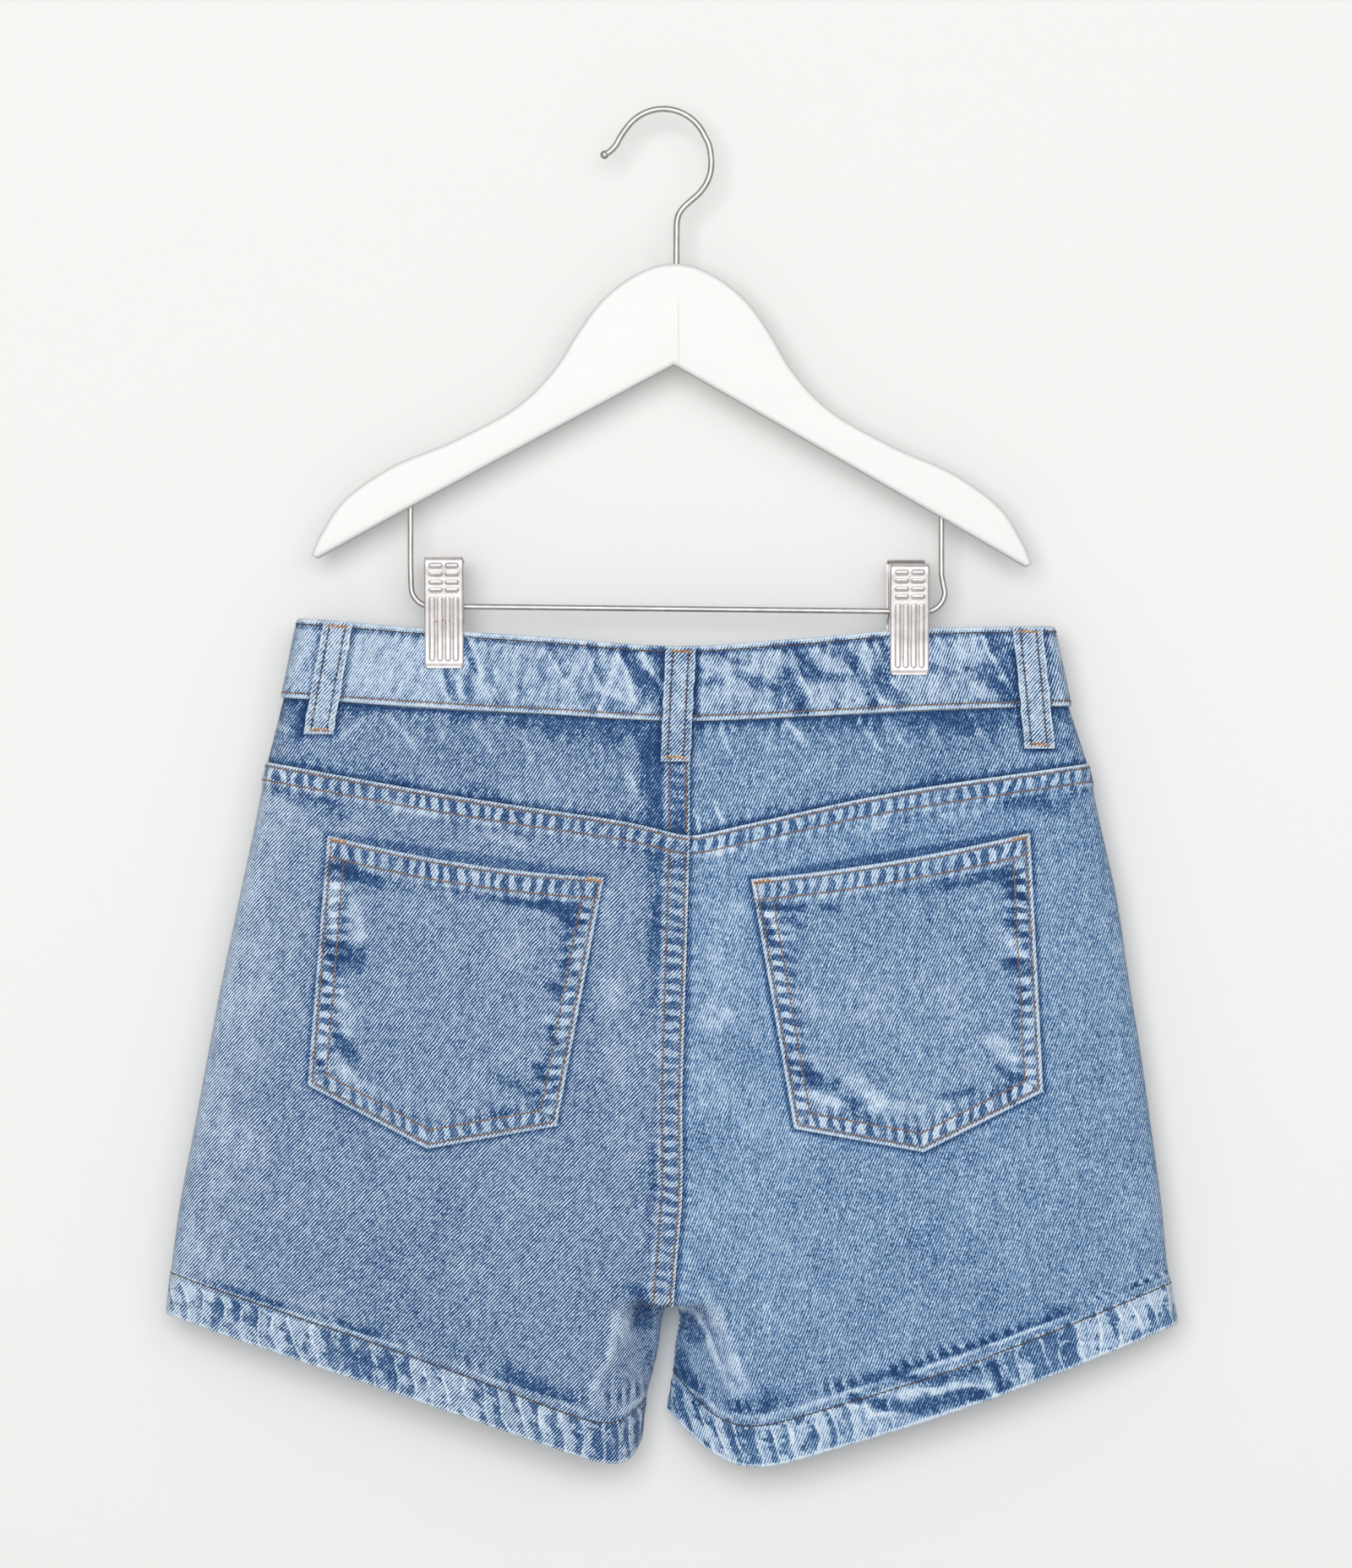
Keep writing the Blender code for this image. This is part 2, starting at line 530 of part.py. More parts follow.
def leg_walls(sections, v, u, felled=False, top_at=None):
    """Outer and inner face of a leg panel, with its raised seams and its hem."""
    side, facing = np.sign(sections[0].mid[0]), np.sign(sections[0].mid[1])
    grid = leg_points(sections, v, u, top_at(u) if top_at else None)
    normal = leg_normals(sections, v, u, top_at)
    from_seam = np.abs(grid[:, :, 0] - grid[:, :1, 0])
    trunk = (v < FORK - 0.05)[:, None]
    lift = HEM_LIFT * smoothstep(HEM_LINE - 0.004, HEM_LINE + 0.004, v)[:, None] + 0 * from_seam
    if top_at is None:
        raised = 1 - smoothstep(YOKE_SEAM_WIDTH, YOKE_SEAM_WIDTH + SEAM_SLOPE, v * LEG_LENGTH)
        lift = np.maximum(lift, SEAM_LIFT * raised[:, None])
    if felled:
        seam = 1 - smoothstep(CENTRE_SEAM_WIDTH, CENTRE_SEAM_WIDTH + SEAM_SLOPE, from_seam)
        lift = np.maximum(lift, trunk * SEAM_LIFT * seam)
    wall = DENIM + HEM_EXTRA * smoothstep(HEM_LINE - 0.004, HEM_LINE + 0.004, v)[:, None]
    grid[v <= FORK, 0, 0] += side * SEAM_GAP / 2
    grid[v >= FORK, 0, 1] += facing * SEAM_GAP / 2
    grid[:, -1, 1] += facing * SEAM_GAP / 2
    if top_at is None:
        grid[0, :, 2] -= SEAM_GAP / 2
    return grid + normal * lift[:, :, None], grid - normal * wall[:, :, None]


# ---------------------------------------------------------------- solids


def new_object(name, vertices, faces, material, smooth=True):
    """A mesh object from millimetre points, with its faces turned outwards."""
    mesh = bpy.data.meshes.new(name)
    mesh.from_pydata([Vector(p) * MM for p in vertices], [], faces)
    work = bmesh.new()
    work.from_mesh(mesh)
    bmesh.ops.recalc_face_normals(work, faces=work.faces)
    work.to_mesh(mesh)
    work.free()
    mesh.materials.append(material)
    if smooth:
        mesh.shade_smooth()
        mesh.set_sharp_from_angle(angle=math.radians(40))
    thing = bpy.data.objects.new(name, mesh)
    bpy.context.scene.collection.objects.link(thing)
    return thing


def walled_sheet(name, outer, inner, material):
    """A closed sheet: a grid of outer points, the matching inner points and a wall round the edge."""
    rows, columns = outer.shape[:2]
    vertices = np.concatenate([outer.reshape(-1, 3), inner.reshape(-1, 3)])
    index = np.arange(rows * columns).reshape(rows, columns)
    back = index + rows * columns
    faces = []
    for r in range(rows - 1):
        for c in range(columns - 1):
            faces.append((index[r, c], index[r, c + 1], index[r + 1, c + 1], index[r + 1, c]))
            faces.append((back[r, c], back[r + 1, c], back[r + 1, c + 1], back[r, c + 1]))
    rim = list(index[0, :-1]) + list(index[:-1, -1]) + list(index[-1, :0:-1]) + list(index[:0:-1, 0])
    for a, b in zip(rim, rim[1:] + rim[:1]):
        faces.append((a, a + rows * columns, b + rows * columns, b))
    return new_object(name, vertices, [tuple(int(i) for i in face) for face in faces], material)


def swept_wire(name, route, radius, material):
    """A round wire along a smooth route, with closed ends."""
    curve = bpy.data.curves.new(name, "CURVE")
    curve.dimensions = "3D"
    curve.bevel_depth = radius * MM
    curve.bevel_resolution = 1
    curve.use_fill_caps = True
    spline = curve.splines.new("POLY")
    spline.points.add(len(route) - 1)
    for point, place in zip(spline.points, route):
        point.co = (*(Vector(place) * MM), 1)
    curve.materials.append(material)
    thing = bpy.data.objects.new(name, curve)
    bpy.context.scene.collection.objects.link(thing)
    return thing


def finish(name, colour, roughness, metallic=0.0):
    material = bpy.data.materials.new(name)
    material.use_nodes = True
    shader = material.node_tree.nodes["Principled BSDF"]
    shader.inputs["Base Color"].default_value = (*colour, 1)
    shader.inputs["Roughness"].default_value = roughness
    shader.inputs["Metallic"].default_value = metallic
    return material


# ---------------------------------------------------------------- waistband


def band_ring(count):
    """The band's middle line along its bottom edge, round from the centre front and back to it."""
    return bspline([(p.x, p.y) for p in BAND_LINE], np.linspace(0, 1, count))


def panel_top(sections, side, facing):
    """A function of u that gives a panel's top row, which follows the band's lower edge."""
    ring = band_ring(600)
    centre = seam_edge(sections, np.zeros(1))[0, 0]
    part = ring[(np.sign(ring[:, 1]) == facing) & ((ring[:, 0] - centre) * side > 0)]
    if (part[0, 0] - part[-1, 0]) * side > 0:
        part = part[::-1]
    widest = ring[np.argmax(ring[:, 0] * side), 0]
    edge = np.concatenate([[[centre, part[0, 1]]], part, [[widest, 0.0]]])
    fine = np.linspace(0, 1, 60)
    own = leg_points(sections, np.zeros(1), fine)[0]
    gone = np.concatenate([[0], np.cumsum(np.linalg.norm(np.diff(own, axis=0), axis=1))])

    def at(u):
        points = at_fractions(edge, np.interp(u, fine, gone / gone[-1]))
        z = band_z(points[:, 0], points[:, 1], "bottom") - BAND_GAP
        y = points[:, 1] + facing * 0.5 * DENIM * smoothstep(0, 4, np.abs(points[:, 1]))
        return np.stack([points[:, 0], y, z], axis=1)

    return at


def build_waistband(material):
    ring = band_ring(82)
    buttoned = (np.arange(len(ring)) < len(ring) / 2) & (ring[:, 1] > 0)
    ring[:, 1] += OVERLAP_STEP * smoothstep(*OVERLAP_RISE, ring[:, 0]) * buttoned
    start = np.array([[OVERLAP_OVER, ring[0, 1]]])
    end = np.array([[OVERLAP_UNDER, ring[-1, 1]]])
    line = np.concatenate([start, ring, end])
    tangent = unit(np.gradient(line, axis=0))
    outward = np.stack([-tangent[:, 1], tangent[:, 0]], axis=1)
    outward *= np.sign(np.sum(outward * (line - [2.0, 0.0])))
    rows = []
    for level in np.linspace(0, 1, 3):
        top = band_z(line[:, 0], line[:, 1], "top")
        bottom = band_z(line[:, 0], line[:, 1], "bottom")
        x = line[:, 0] * (BAND_TAPER + (1 - BAND_TAPER) * level)
        rows.append(np.stack([x, line[:, 1], top + (bottom - top) * level], axis=1))
    middle = np.array(rows)
    push = np.concatenate([outward, np.zeros((len(line), 1))], axis=1)[None] * BAND_WALL / 2
    return walled_sheet("waistband", middle + push, middle - push, material)


# ---------------------------------------------------------------- assembly


def clear_scene():
    for thing in list(bpy.data.objects):
        bpy.data.objects.remove(thing)


def build_yoke(name, sections, side, material):
    """The yoke between the waistband and the back panel."""
    share = np.array([0, 0.12, 0.3, 0.5, 0.7, 0.88, 1])
    bottom = leg_points(sections, np.zeros(1), COLUMNS)[0]
    top = panel_top(sections, side, -1)(COLUMNS)
    grid = []
    for t in share:
        ease = smoothstep(0, 1, t) * 0.6 + 0.4 * t
        row = top + (bottom - top) * t
        row[:, 1] = top[:, 1] + (bottom[:, 1] - top[:, 1]) * ease
        grid.append(row)
    grid = np.array(grid)
    along_u = np.gradient(grid, axis=1)
    along_v = np.gradient(grid, axis=0)
    normal = unit(np.cross(along_u, along_v)) * -side
    normal[[0, -1], :, 2] = 0
    normal[:, 0, 0] = 0
    normal[:, -1] = (side, 0, 0)
    normal = unit(normal)
    lift = np.zeros(grid.shape[:2])
    if side < 0:
        from_seam = np.abs(grid[:, :, 0] - grid[:, :1, 0])
        lift = SEAM_LIFT * (1 - smoothstep(CENTRE_SEAM_WIDTH, CENTRE_SEAM_WIDTH + SEAM_SLOPE, from_seam))
    grid[:, 0, 0] += side * SEAM_GAP / 2
    grid[:, -1, 1] -= SEAM_GAP / 2
    grid[-1, :, 2] += SEAM_GAP / 2
    return walled_sheet(name, grid + normal * lift[:, :, None], grid - normal * DENIM, material)


def surface_of(things):
    """A search tree over the outside of some built pieces."""
    vertices, faces = [], []
    for thing in things:
        base = len(vertices)
        vertices += [v.co.copy() for v in thing.data.vertices]
        faces += [[base + i for i in face.vertices] for face in thing.data.polygons]
    return BVHTree.FromPolygons(vertices, faces)


def outer_y(tree, x, z, facing):
    """How far out the outside lies at x and z, in millimetres."""
    hit = tree.ray_cast(Vector((x * MM, facing * 0.2, z * MM)), Vector((0, -facing, 0)))[0]
    return hit.y / MM


def build_pocket(pocket, tree, material):
    """A patch pocket: five corners, a turned hem along its mouth, laid on the panel."""
    across = np.array([0, 0.05, 0.2, 0.4, 0.6, 0.8, 0.95, 1])
    down = np.array([0, 0.075, 0.1, 0.25, 0.4, 0.55, 0.7, 0.84, 0.95, 1])
    width = pocket.bottom_right[0] - pocket.bottom_left[0]
    point_share = (pocket.point[0] - pocket.bottom_left[0]) / width
    across = np.sort(np.append(across, point_share))
    outer, inner = [], []
    for t in down:
        for_row_outer, for_row_inner = [], []
        for s in across:
            top = np.array(pocket.top_left) + (np.array(pocket.top_right) - pocket.top_left) * s
            top[1] -= pocket.mouth_sag * 4 * s * (1 - s)
            if s <= point_share:
                ends, share = (pocket.bottom_left, pocket.point), s / point_share
            else:
                ends, share = (pocket.point, pocket.bottom_right), (s - point_share) / (1 - point_share)
            low = np.array(ends[0]) + (np.array(ends[1]) - ends[0]) * share
            x, z = top + (low - top) * t
            depth = (top[1] - low[1]) * t
            hem = 1 - smoothstep(POCKET_HEM_DEPTH - 1, POCKET_HEM_DEPTH + 1, depth)
            edge = 1 - smoothstep(0, POCKET_EDGE, min(s, 1 - s, 1 - t))
            wall = DENIM + POCKET_HEM_EXTRA * hem + POCKET_EDGE_EXTRA * edge
            y = outer_y(tree, x, z, -1) - LAY_GAP
            for_row_inner.append((x, y, z))
            for_row_outer.append((x, y - wall, z))
        outer.append(for_row_outer)
        inner.append(for_row_inner)
    return walled_sheet(pocket.name, np.array(outer), np.array(inner), material)


def build_loop(loop, tree, material):
    """A belt loop: a folded strip sewn to the band's top edge and to the cloth below the band."""
    top_z = loop_z(loop.x_top / BAND_TAPER, loop.side, "top") - loop.below_top
    bottom_z = loop_z(loop.x_bottom, loop.side, "bottom") - loop.reach
    outer, inner = [], []
    for t in (0, 0.05, 0.14, 0.3, 0.5, 0.7, 0.86, 0.95, 1):
        for_row_outer, for_row_inner = [], []
        for s in (-0.5, -0.4, 0, 0.4, 0.5):
            x = loop.x_top + (loop.x_bottom - loop.x_top) * t + s * LOOP_WIDTH
            z = top_z + (bottom_z - top_z) * t
            start = outer_y(tree, loop.x_top + s * LOOP_WIDTH, top_z - 3, loop.side)
            stop = outer_y(tree, loop.x_bottom + s * LOOP_WIDTH, bottom_z, loop.side)
            base = start + (stop - start) * t
            bow = 1.5 * LAY_GAP + LOOP_BOW * math.sin(math.pi * t) ** 0.6
            round_off = LOOP_EDGE * (1 - smoothstep(0.0, 0.1, 0.5 - abs(s)))
            y = base + loop.side * bow
            for_row_inner.append((x, y, z))
            for_row_outer.append((x, y + loop.side * (LOOP_WALL - round_off), z))
        outer.append(for_row_outer)
        inner.append(for_row_inner)
    return walled_sheet(loop.name, np.array(outer), np.array(inner), material)


def build_fly(tree, material):
    """The fly's flap, with its rounded foot, lying over the centre front seam."""
    top = loop_z(FLY_EDGE_X - FLY_WIDTH / 2, 1, "bottom") - 1.0
    outer, inner = [], []
    for t in np.linspace(0, 1, 12):
        for_row_outer, for_row_inner = [], []
        z = top - FLY_LENGTH * t
        foot = max(0.0, t - 1 + FLY_CURVE) / FLY_CURVE
        width = FLY_WIDTH * math.sqrt(1 - (foot * FLY_FOOT) ** 2)
        for s in (0, 0.2, 0.4, 0.6, 0.8, 1):
            x = FLY_EDGE_X - width * s
            y = outer_y(tree, x, z, 1) + LAY_GAP
            for_row_inner.append((x, y, z))
            for_row_outer.append((x, y + FLY_WALL, z))
        outer.append(for_row_outer)
        inner.append(for_row_inner)
    return walled_sheet("fly_flap", np.array(outer), np.array(inner), material)


def turned(name, profile, place, steps, material):
    """A turned piece: profile rows are (radius, distance along Y), the first and last at radius 0."""
    vertices, faces = [], []
    for radius, along in profile[1:-1]:
        for k in range(steps):
            a = 2 * math.pi * k / steps
            out, up = radius * math.cos(a), radius * math.sin(a)
            vertices.append((place[0] + out, place[1] + along, place[2] + up))
    ends = [len(vertices), len(vertices) + 1]
    vertices.append((place[0], place[1] + profile[0][1], place[2]))
    vertices.append((place[0], place[1] + profile[-1][1], place[2]))
    rings = len(profile) - 2
    for r in range(rings - 1):
        for k in range(steps):
            n = (k + 1) % steps
            faces.append((r * steps + k, r * steps + n, (r + 1) * steps + n, (r + 1) * steps + k))
    for k in range(steps):
        n = (k + 1) % steps
        faces.append((ends[0], n, k))
        faces.append((ends[1], (rings - 1) * steps + k, (rings - 1) * steps + n))
    return new_object(name, vertices, faces, material)


def build_button(tree, material):
    """The waist button: a short shank, and a round head with a raised rim."""
    x = (OVERLAP_OVER + OVERLAP_UNDER) / 2
    z = (loop_z(x, 1, "top") + loop_z(x, 1, "bottom")) / 2
    base = outer_y(tree, x, z, 1) + SEAM_GAP
    profile = [
        (0, 0.0),
        (BUTTON_SHANK, 0.0),
        (BUTTON_SHANK, 0.8),
        (BUTTON_RADIUS - 0.6, 0.8),
        (BUTTON_RADIUS, 1.5),
        (BUTTON_RADIUS - 0.4, BUTTON_HEIGHT - 0.3),
        (BUTTON_RADIUS - 1.6, BUTTON_HEIGHT),
        (BUTTON_RADIUS - 2.4, BUTTON_HEIGHT - 0.5),
        (0, BUTTON_HEIGHT - 0.4),
    ]
    return turned("waist_button", profile, (x, base, z), 20, material)


def tilted(x, y, z):
    """A point of the level hanger turned about its hub."""
    c, s = math.cos(HANGER_TILT), math.sin(HANGER_TILT)
    up = z - ARM_TOP[0].z
    return (HUB_X + x * c - up * s, y, ARM_TOP[0].z + x * s + up * c)


def build_wood(holes, material):
    """The wooden yoke: one outline sawn from a board, with rounded edges and drilled holes."""
    half_top = [(-ARM_TOP[1].out, ARM_TOP[1].z)] + [(arm.out, arm.z) for arm in ARM_TOP]
    upper = [tuple(point) for point in smooth_route(half_top, 40) if point[0] > 0.5][::2]
    upper = [(0.0, ARM_TOP[0].z)] + upper
    half = upper + [(ARM_TIP.out, ARM_TIP.z + 2.5), (ARM_TIP.out - 1.6, ARM_TIP.z + 0.4)]
    outline = half + [(ARM_APEX.out, ARM_APEX.z)] + [(-x, z) for x, z in half[:0:-1]]
    work = bmesh.new()
    corners = [work.verts.new(Vector(tilted(x, -WOOD_WALL / 2, z)) * MM) for x, z in outline]
    face = work.faces.new(corners)
    moved = bmesh.ops.extrude_face_region(work, geom=[face])["geom"]
    for vertex in moved:
        if isinstance(vertex, bmesh.types.BMVert):
            vertex.co.y = WOOD_WALL / 2 * MM
    bmesh.ops.recalc_face_normals(work, faces=work.faces)
    rims = [e for e in work.edges if abs(e.verts[0].co.y - e.verts[1].co.y) < 1e-6]
    bmesh.ops.bevel(
        work, geom=rims, offset=WOOD_BEVEL * MM, segments=2, profile=0.5, affect="EDGES", clamp_overlap=True
    )
    mesh = bpy.data.meshes.new("hanger_wood")
    work.to_mesh(mesh)
    work.free()
    mesh.materials.append(material)
    thing = bpy.data.objects.new("hanger_wood", mesh)
    bpy.context.scene.collection.objects.link(thing)
    for number, (place, radius, length) in enumerate(holes):
        bit = [(0, 0), (radius, 0), (radius, length), (0, length)]
        cutter = turned(f"drill_{number}", bit, (0, 0, 0), 12, material)
        cutter.rotation_euler = (math.radians(90), 0, 0)
        cutter.location = Vector(place) * MM
        cutter.hide_render = True
        cutter.display_type = "WIRE"
        cut = thing.modifiers.new(f"drill_{number}", "BOOLEAN")
        cut.object = cutter
        cut.operation = "DIFFERENCE"
        cut.solver = "EXACT"
    return thing


def arc(centre, radius, start, stop, count):
    """Points of an arc in the X-Z plane, angles in degrees from +X towards +Z."""
    angles = np.radians(np.linspace(start, stop, count))
    return [(centre[0] + radius * math.cos(a), 0.0, centre[1] + radius * math.sin(a)) for a in angles]


def build_hook(material):
    """The hook: a shank in the wood, a crook, the round bend that hangs on a peg, and a turned-up tip."""
    radius = HOOK_INNER + HOOK_RADIUS
    centre = (HOOK_CENTRE_X, -math.sqrt(HOOK_INNER**2 - HOOK_CENTRE_X**2))
    lower = [(row.x, 0.0, row.z) for row in HOOK_CROOK]
    tip = [(row.x, 0.0, row.z) for row in HOOK_TIP]
    route = smooth_route(lower + arc(centre, radius, 24, 138, 14) + tip, 52)
    shank = np.array([(HOOK_CROOK[0].x, 0.0, HOOK_FOOT_Z)])
    return swept_wire("hanger_hook", np.concatenate([shank, route]), HOOK_RADIUS, material)


def bar_z(x):
    """Height of the bar's straight part."""
    share = (x - BAR_LEFT_BEND.x) / (BAR_RIGHT_BEND.x - BAR_LEFT_BEND.x)
    return (BAR_LEFT_BEND.z + (BAR_RIGHT_BEND.z - BAR_LEFT_BEND.z) * share) - BAR_BEND


def build_bar(material):
    """The bar that the clips slide on, one wire with both ends bent up into the wood."""
    left, right = BAR_LEFT_BEND, BAR_RIGHT_BEND
    left_leg = [(left.x - BAR_BEND + BAR_LEAN[0], 0.0, z) for z in (BAR_LEFT_TOP, BAR_LEFT_TOP - 20)]
    right_leg = [(right.x + BAR_BEND + BAR_LEAN[1], 0.0, z) for z in (BAR_RIGHT_TOP - 20, BAR_RIGHT_TOP)]
    bends = arc((left.x, left.z), BAR_BEND, 180, 270, 7) + arc((right.x, right.z), BAR_BEND, 270, 360, 7)
    return swept_wire("trouser_bar", left_leg + bends + right_leg, WIRE_RADIUS, material)


def build_plate(name, x, foot_z, facing, shift, material):
    """One jaw of a clip: pressed steel with its long edges turned in above the cloth."""
    away = through([p.up for p in PLATE_PATH], [p.out for p in PLATE_PATH], PLATE_LEVELS)
    flange = PLATE_WALL + PLATE_RIM + PLATE_FLANGE * smoothstep(*PLATE_TURN, PLATE_LEVELS)
    half = PLATE_WIDTH / 2
    within = half - PLATE_WALL
    outer, inner = [], []
    for up, out, turn in zip(PLATE_LEVELS, away, flange):
        face = out + PLATE_WALL
        fold = ((half, turn), (half, 0.5), (half - 0.5, 0.0))
        lining = ((within, turn), (within, PLATE_WALL + 0.2), (within - 0.3, PLATE_WALL))
        for row, corners, middle in ((outer, fold, 0.0), (inner, lining, PLATE_WALL)):
            section = [(-a, b) for a, b in corners] + [(0.0, middle)] + list(corners[::-1])
            z = foot_z + shift[1] + up
            row.append([(x + shift[0] + a, facing * (face - b), z) for a, b in section])
    return walled_sheet(name, np.array(outer), np.array(inner), material)


def build_spring(name, x, z, material):
    """The coil spring between the jaws, as one plain sleeve round the bar."""
    hole = WIRE_RADIUS + HOLE_GAP
    end = SPRING_LENGTH / 2
    steps = 16
    vertices, faces = [], []
    rings = [(hole, -end), (SPRING_RADIUS, -end), (SPRING_RADIUS, end), (hole, end)]
    for radius, along in rings:
        for k in range(steps):
            a = 2 * math.pi * k / steps
            vertices.append((x + along, radius * math.cos(a), z + radius * math.sin(a)))
    for r in range(4):
        for k in range(steps):
            n = (k + 1) % steps
            q = (r + 1) % 4
            faces.append((r * steps + k, r * steps + n, q * steps + n, q * steps + k))
    return new_object(name, vertices, faces, material)


def main():
    clear_scene()
    denim = finish("denim", (0.27, 0.42, 0.62), 0.85)
    pale = finish("pale_denim", (0.45, 0.56, 0.70), 0.85)
    paint = finish("white_paint", (0.90, 0.89, 0.87), 0.45)
    steel = finish("steel", (0.62, 0.61, 0.60), 0.3, 1.0)

    band = build_waistband(denim)
    panels = {}
    legs = (("left", -1, BACK_LEFT, FRONT_LEFT), ("right", 1, BACK_RIGHT, FRONT_RIGHT))
    for label, side, back, front in legs:
        walls = leg_walls(back, BACK_ROWS, COLUMNS, felled=side < 0)
        panels["back", label] = walled_sheet(f"back_panel_{label}", *walls, denim)
        walls = leg_walls(front, FRONT_ROWS, COLUMNS, top_at=panel_top(front, side, 1))
        panels["front", label] = walled_sheet(f"front_panel_{label}", *walls, denim)
        panels["yoke", label] = build_yoke(f"back_yoke_{label}", back, side, denim)

    tree = surface_of([band] + list(panels.values()))
    for pocket in POCKETS:
        build_pocket(pocket, tree, denim)
    for loop in LOOPS:
        build_loop(loop, tree, pale)
    build_fly(tree, denim)
    build_button(tree, steel)

    drill = WIRE_RADIUS + HOLE_GAP
    left_leg = BAR_LEFT_BEND.x - BAR_BEND + BAR_LEAN[0]
    right_leg = BAR_RIGHT_BEND.x + BAR_BEND + BAR_LEAN[1]
    holes = [
        ((HOOK_CROOK[0].x, 0, HOOK_FOOT_Z - 1), HOOK_RADIUS + HOLE_GAP, DRILL_LENGTH),
        ((left_leg, 0, BAR_LEFT_TOP + 1 - DRILL_LENGTH), drill, DRILL_LENGTH),
        ((right_leg, 0, BAR_RIGHT_TOP + 1 - DRILL_LENGTH), drill, DRILL_LENGTH),
    ]
    build_wood(holes, paint)
    build_hook(steel)
    build_bar(steel)
    for clip in CLIPS:
        build_plate(f"{clip.name}_back_jaw", clip.x, clip.foot_z, -1, (0, 0), steel)
        build_plate(f"{clip.name}_front_jaw", clip.x, clip.foot_z, 1, clip.front_shift, steel)
        build_spring(f"{clip.name}_spring", clip.x, bar_z(clip.x), steel)


main()
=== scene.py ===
"""Denim shorts held by the waist on a child's wooden clip hanger: the looks round the fixed parts.

+Z is up and the back of the shorts faces -Y. Left and right are the wearer's, so the left leg is at -X.
Sizes are in millimetres, and turn into metres where a mesh is made.
"""

import math
from collections import namedtuple

import bmesh
import bpy
import numpy as np
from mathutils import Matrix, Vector
from mathutils.bvhtree import BVHTree


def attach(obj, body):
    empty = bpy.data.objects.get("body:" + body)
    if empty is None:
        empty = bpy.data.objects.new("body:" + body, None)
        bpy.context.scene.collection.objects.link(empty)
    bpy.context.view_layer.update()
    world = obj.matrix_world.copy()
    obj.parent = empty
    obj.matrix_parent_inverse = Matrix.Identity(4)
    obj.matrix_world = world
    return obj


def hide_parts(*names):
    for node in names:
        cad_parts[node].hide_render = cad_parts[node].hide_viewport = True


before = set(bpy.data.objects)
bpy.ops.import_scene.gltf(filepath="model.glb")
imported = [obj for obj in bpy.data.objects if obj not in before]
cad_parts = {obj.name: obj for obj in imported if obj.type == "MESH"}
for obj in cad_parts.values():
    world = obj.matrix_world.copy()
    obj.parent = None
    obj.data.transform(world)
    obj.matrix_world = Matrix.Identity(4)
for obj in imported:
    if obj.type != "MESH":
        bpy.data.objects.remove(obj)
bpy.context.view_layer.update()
MM = 0.001

# ---------------------------------------------------------------- studio
# A pale wall close behind the hanger and a pale floor below it, a wide soft lamp a little to the left of the camera
# and above it, a weaker one on the right and an even room light. The camera stands 3.2 m away.

CAMERA_PLACE = (1.9, -3200.0, -297.75)
FRAME_HEIGHT = 695.6  # of what the camera sees at the hanger
SENSOR = 36.0
ROOM_LIGHT = 0.36
ROOM_COLOUR = (0.985, 0.98, 0.965, 1)
LAMP_POWER = 192.0
FILL_SHARE = 0.26  # of the key lamp's power
WALL_Y = 20.0
FLOOR_Z = -760.0
STAGE_WIDTH = 2600.0
STAGE_DEPTH = 3000.0
WALL_TOP = 1900.0
WALL_TONE = 0.925
FLOOR_TONE = 0.93


def linked(name, data):
    """A new object in the scene."""
    thing = bpy.data.objects.new(name, data)
    bpy.context.scene.collection.objects.link(thing)
    return thing


camera = linked("camera", bpy.data.cameras.new("camera"))
camera.data.sensor_width = SENSOR
camera.data.lens = SENSOR * -CAMERA_PLACE[1] / FRAME_HEIGHT
camera.location = Vector(CAMERA_PLACE) * MM
camera.rotation_euler = (math.radians(90), 0, 0)
bpy.context.scene.camera = camera
bpy.context.scene.view_settings.view_transform = "Standard"
bpy.context.scene.cycles.denoising_prefilter = "NONE"  # keeps the twill, which is hardly wider than a pixel

room = bpy.data.worlds.new("room")
room.use_nodes = True
room.node_tree.nodes["Background"].inputs["Color"].default_value = ROOM_COLOUR
room.node_tree.nodes["Background"].inputs["Strength"].default_value = ROOM_LIGHT
bpy.context.scene.world = room


def soft_lamp(name, place, aim, size, power):
    lamp = linked(name, bpy.data.lights.new(name, "AREA"))
    lamp.data.shape = "DISK"
    lamp.data.size = size
    lamp.data.energy = power
    lamp.location = place
    lamp.rotation_mode = "QUATERNION"
    lamp.rotation_quaternion = (Vector(place) - Vector(aim)).to_track_quat("Z", "Y")


soft_lamp("key_lamp", (-0.9, -6.0, 0.7), (0, 0, -0.4), 4.2, LAMP_POWER)
soft_lamp("fill_lamp", (2.0, -5.4, 1.2), (0, 0, -0.5), 3.4, LAMP_POWER * FILL_SHARE)


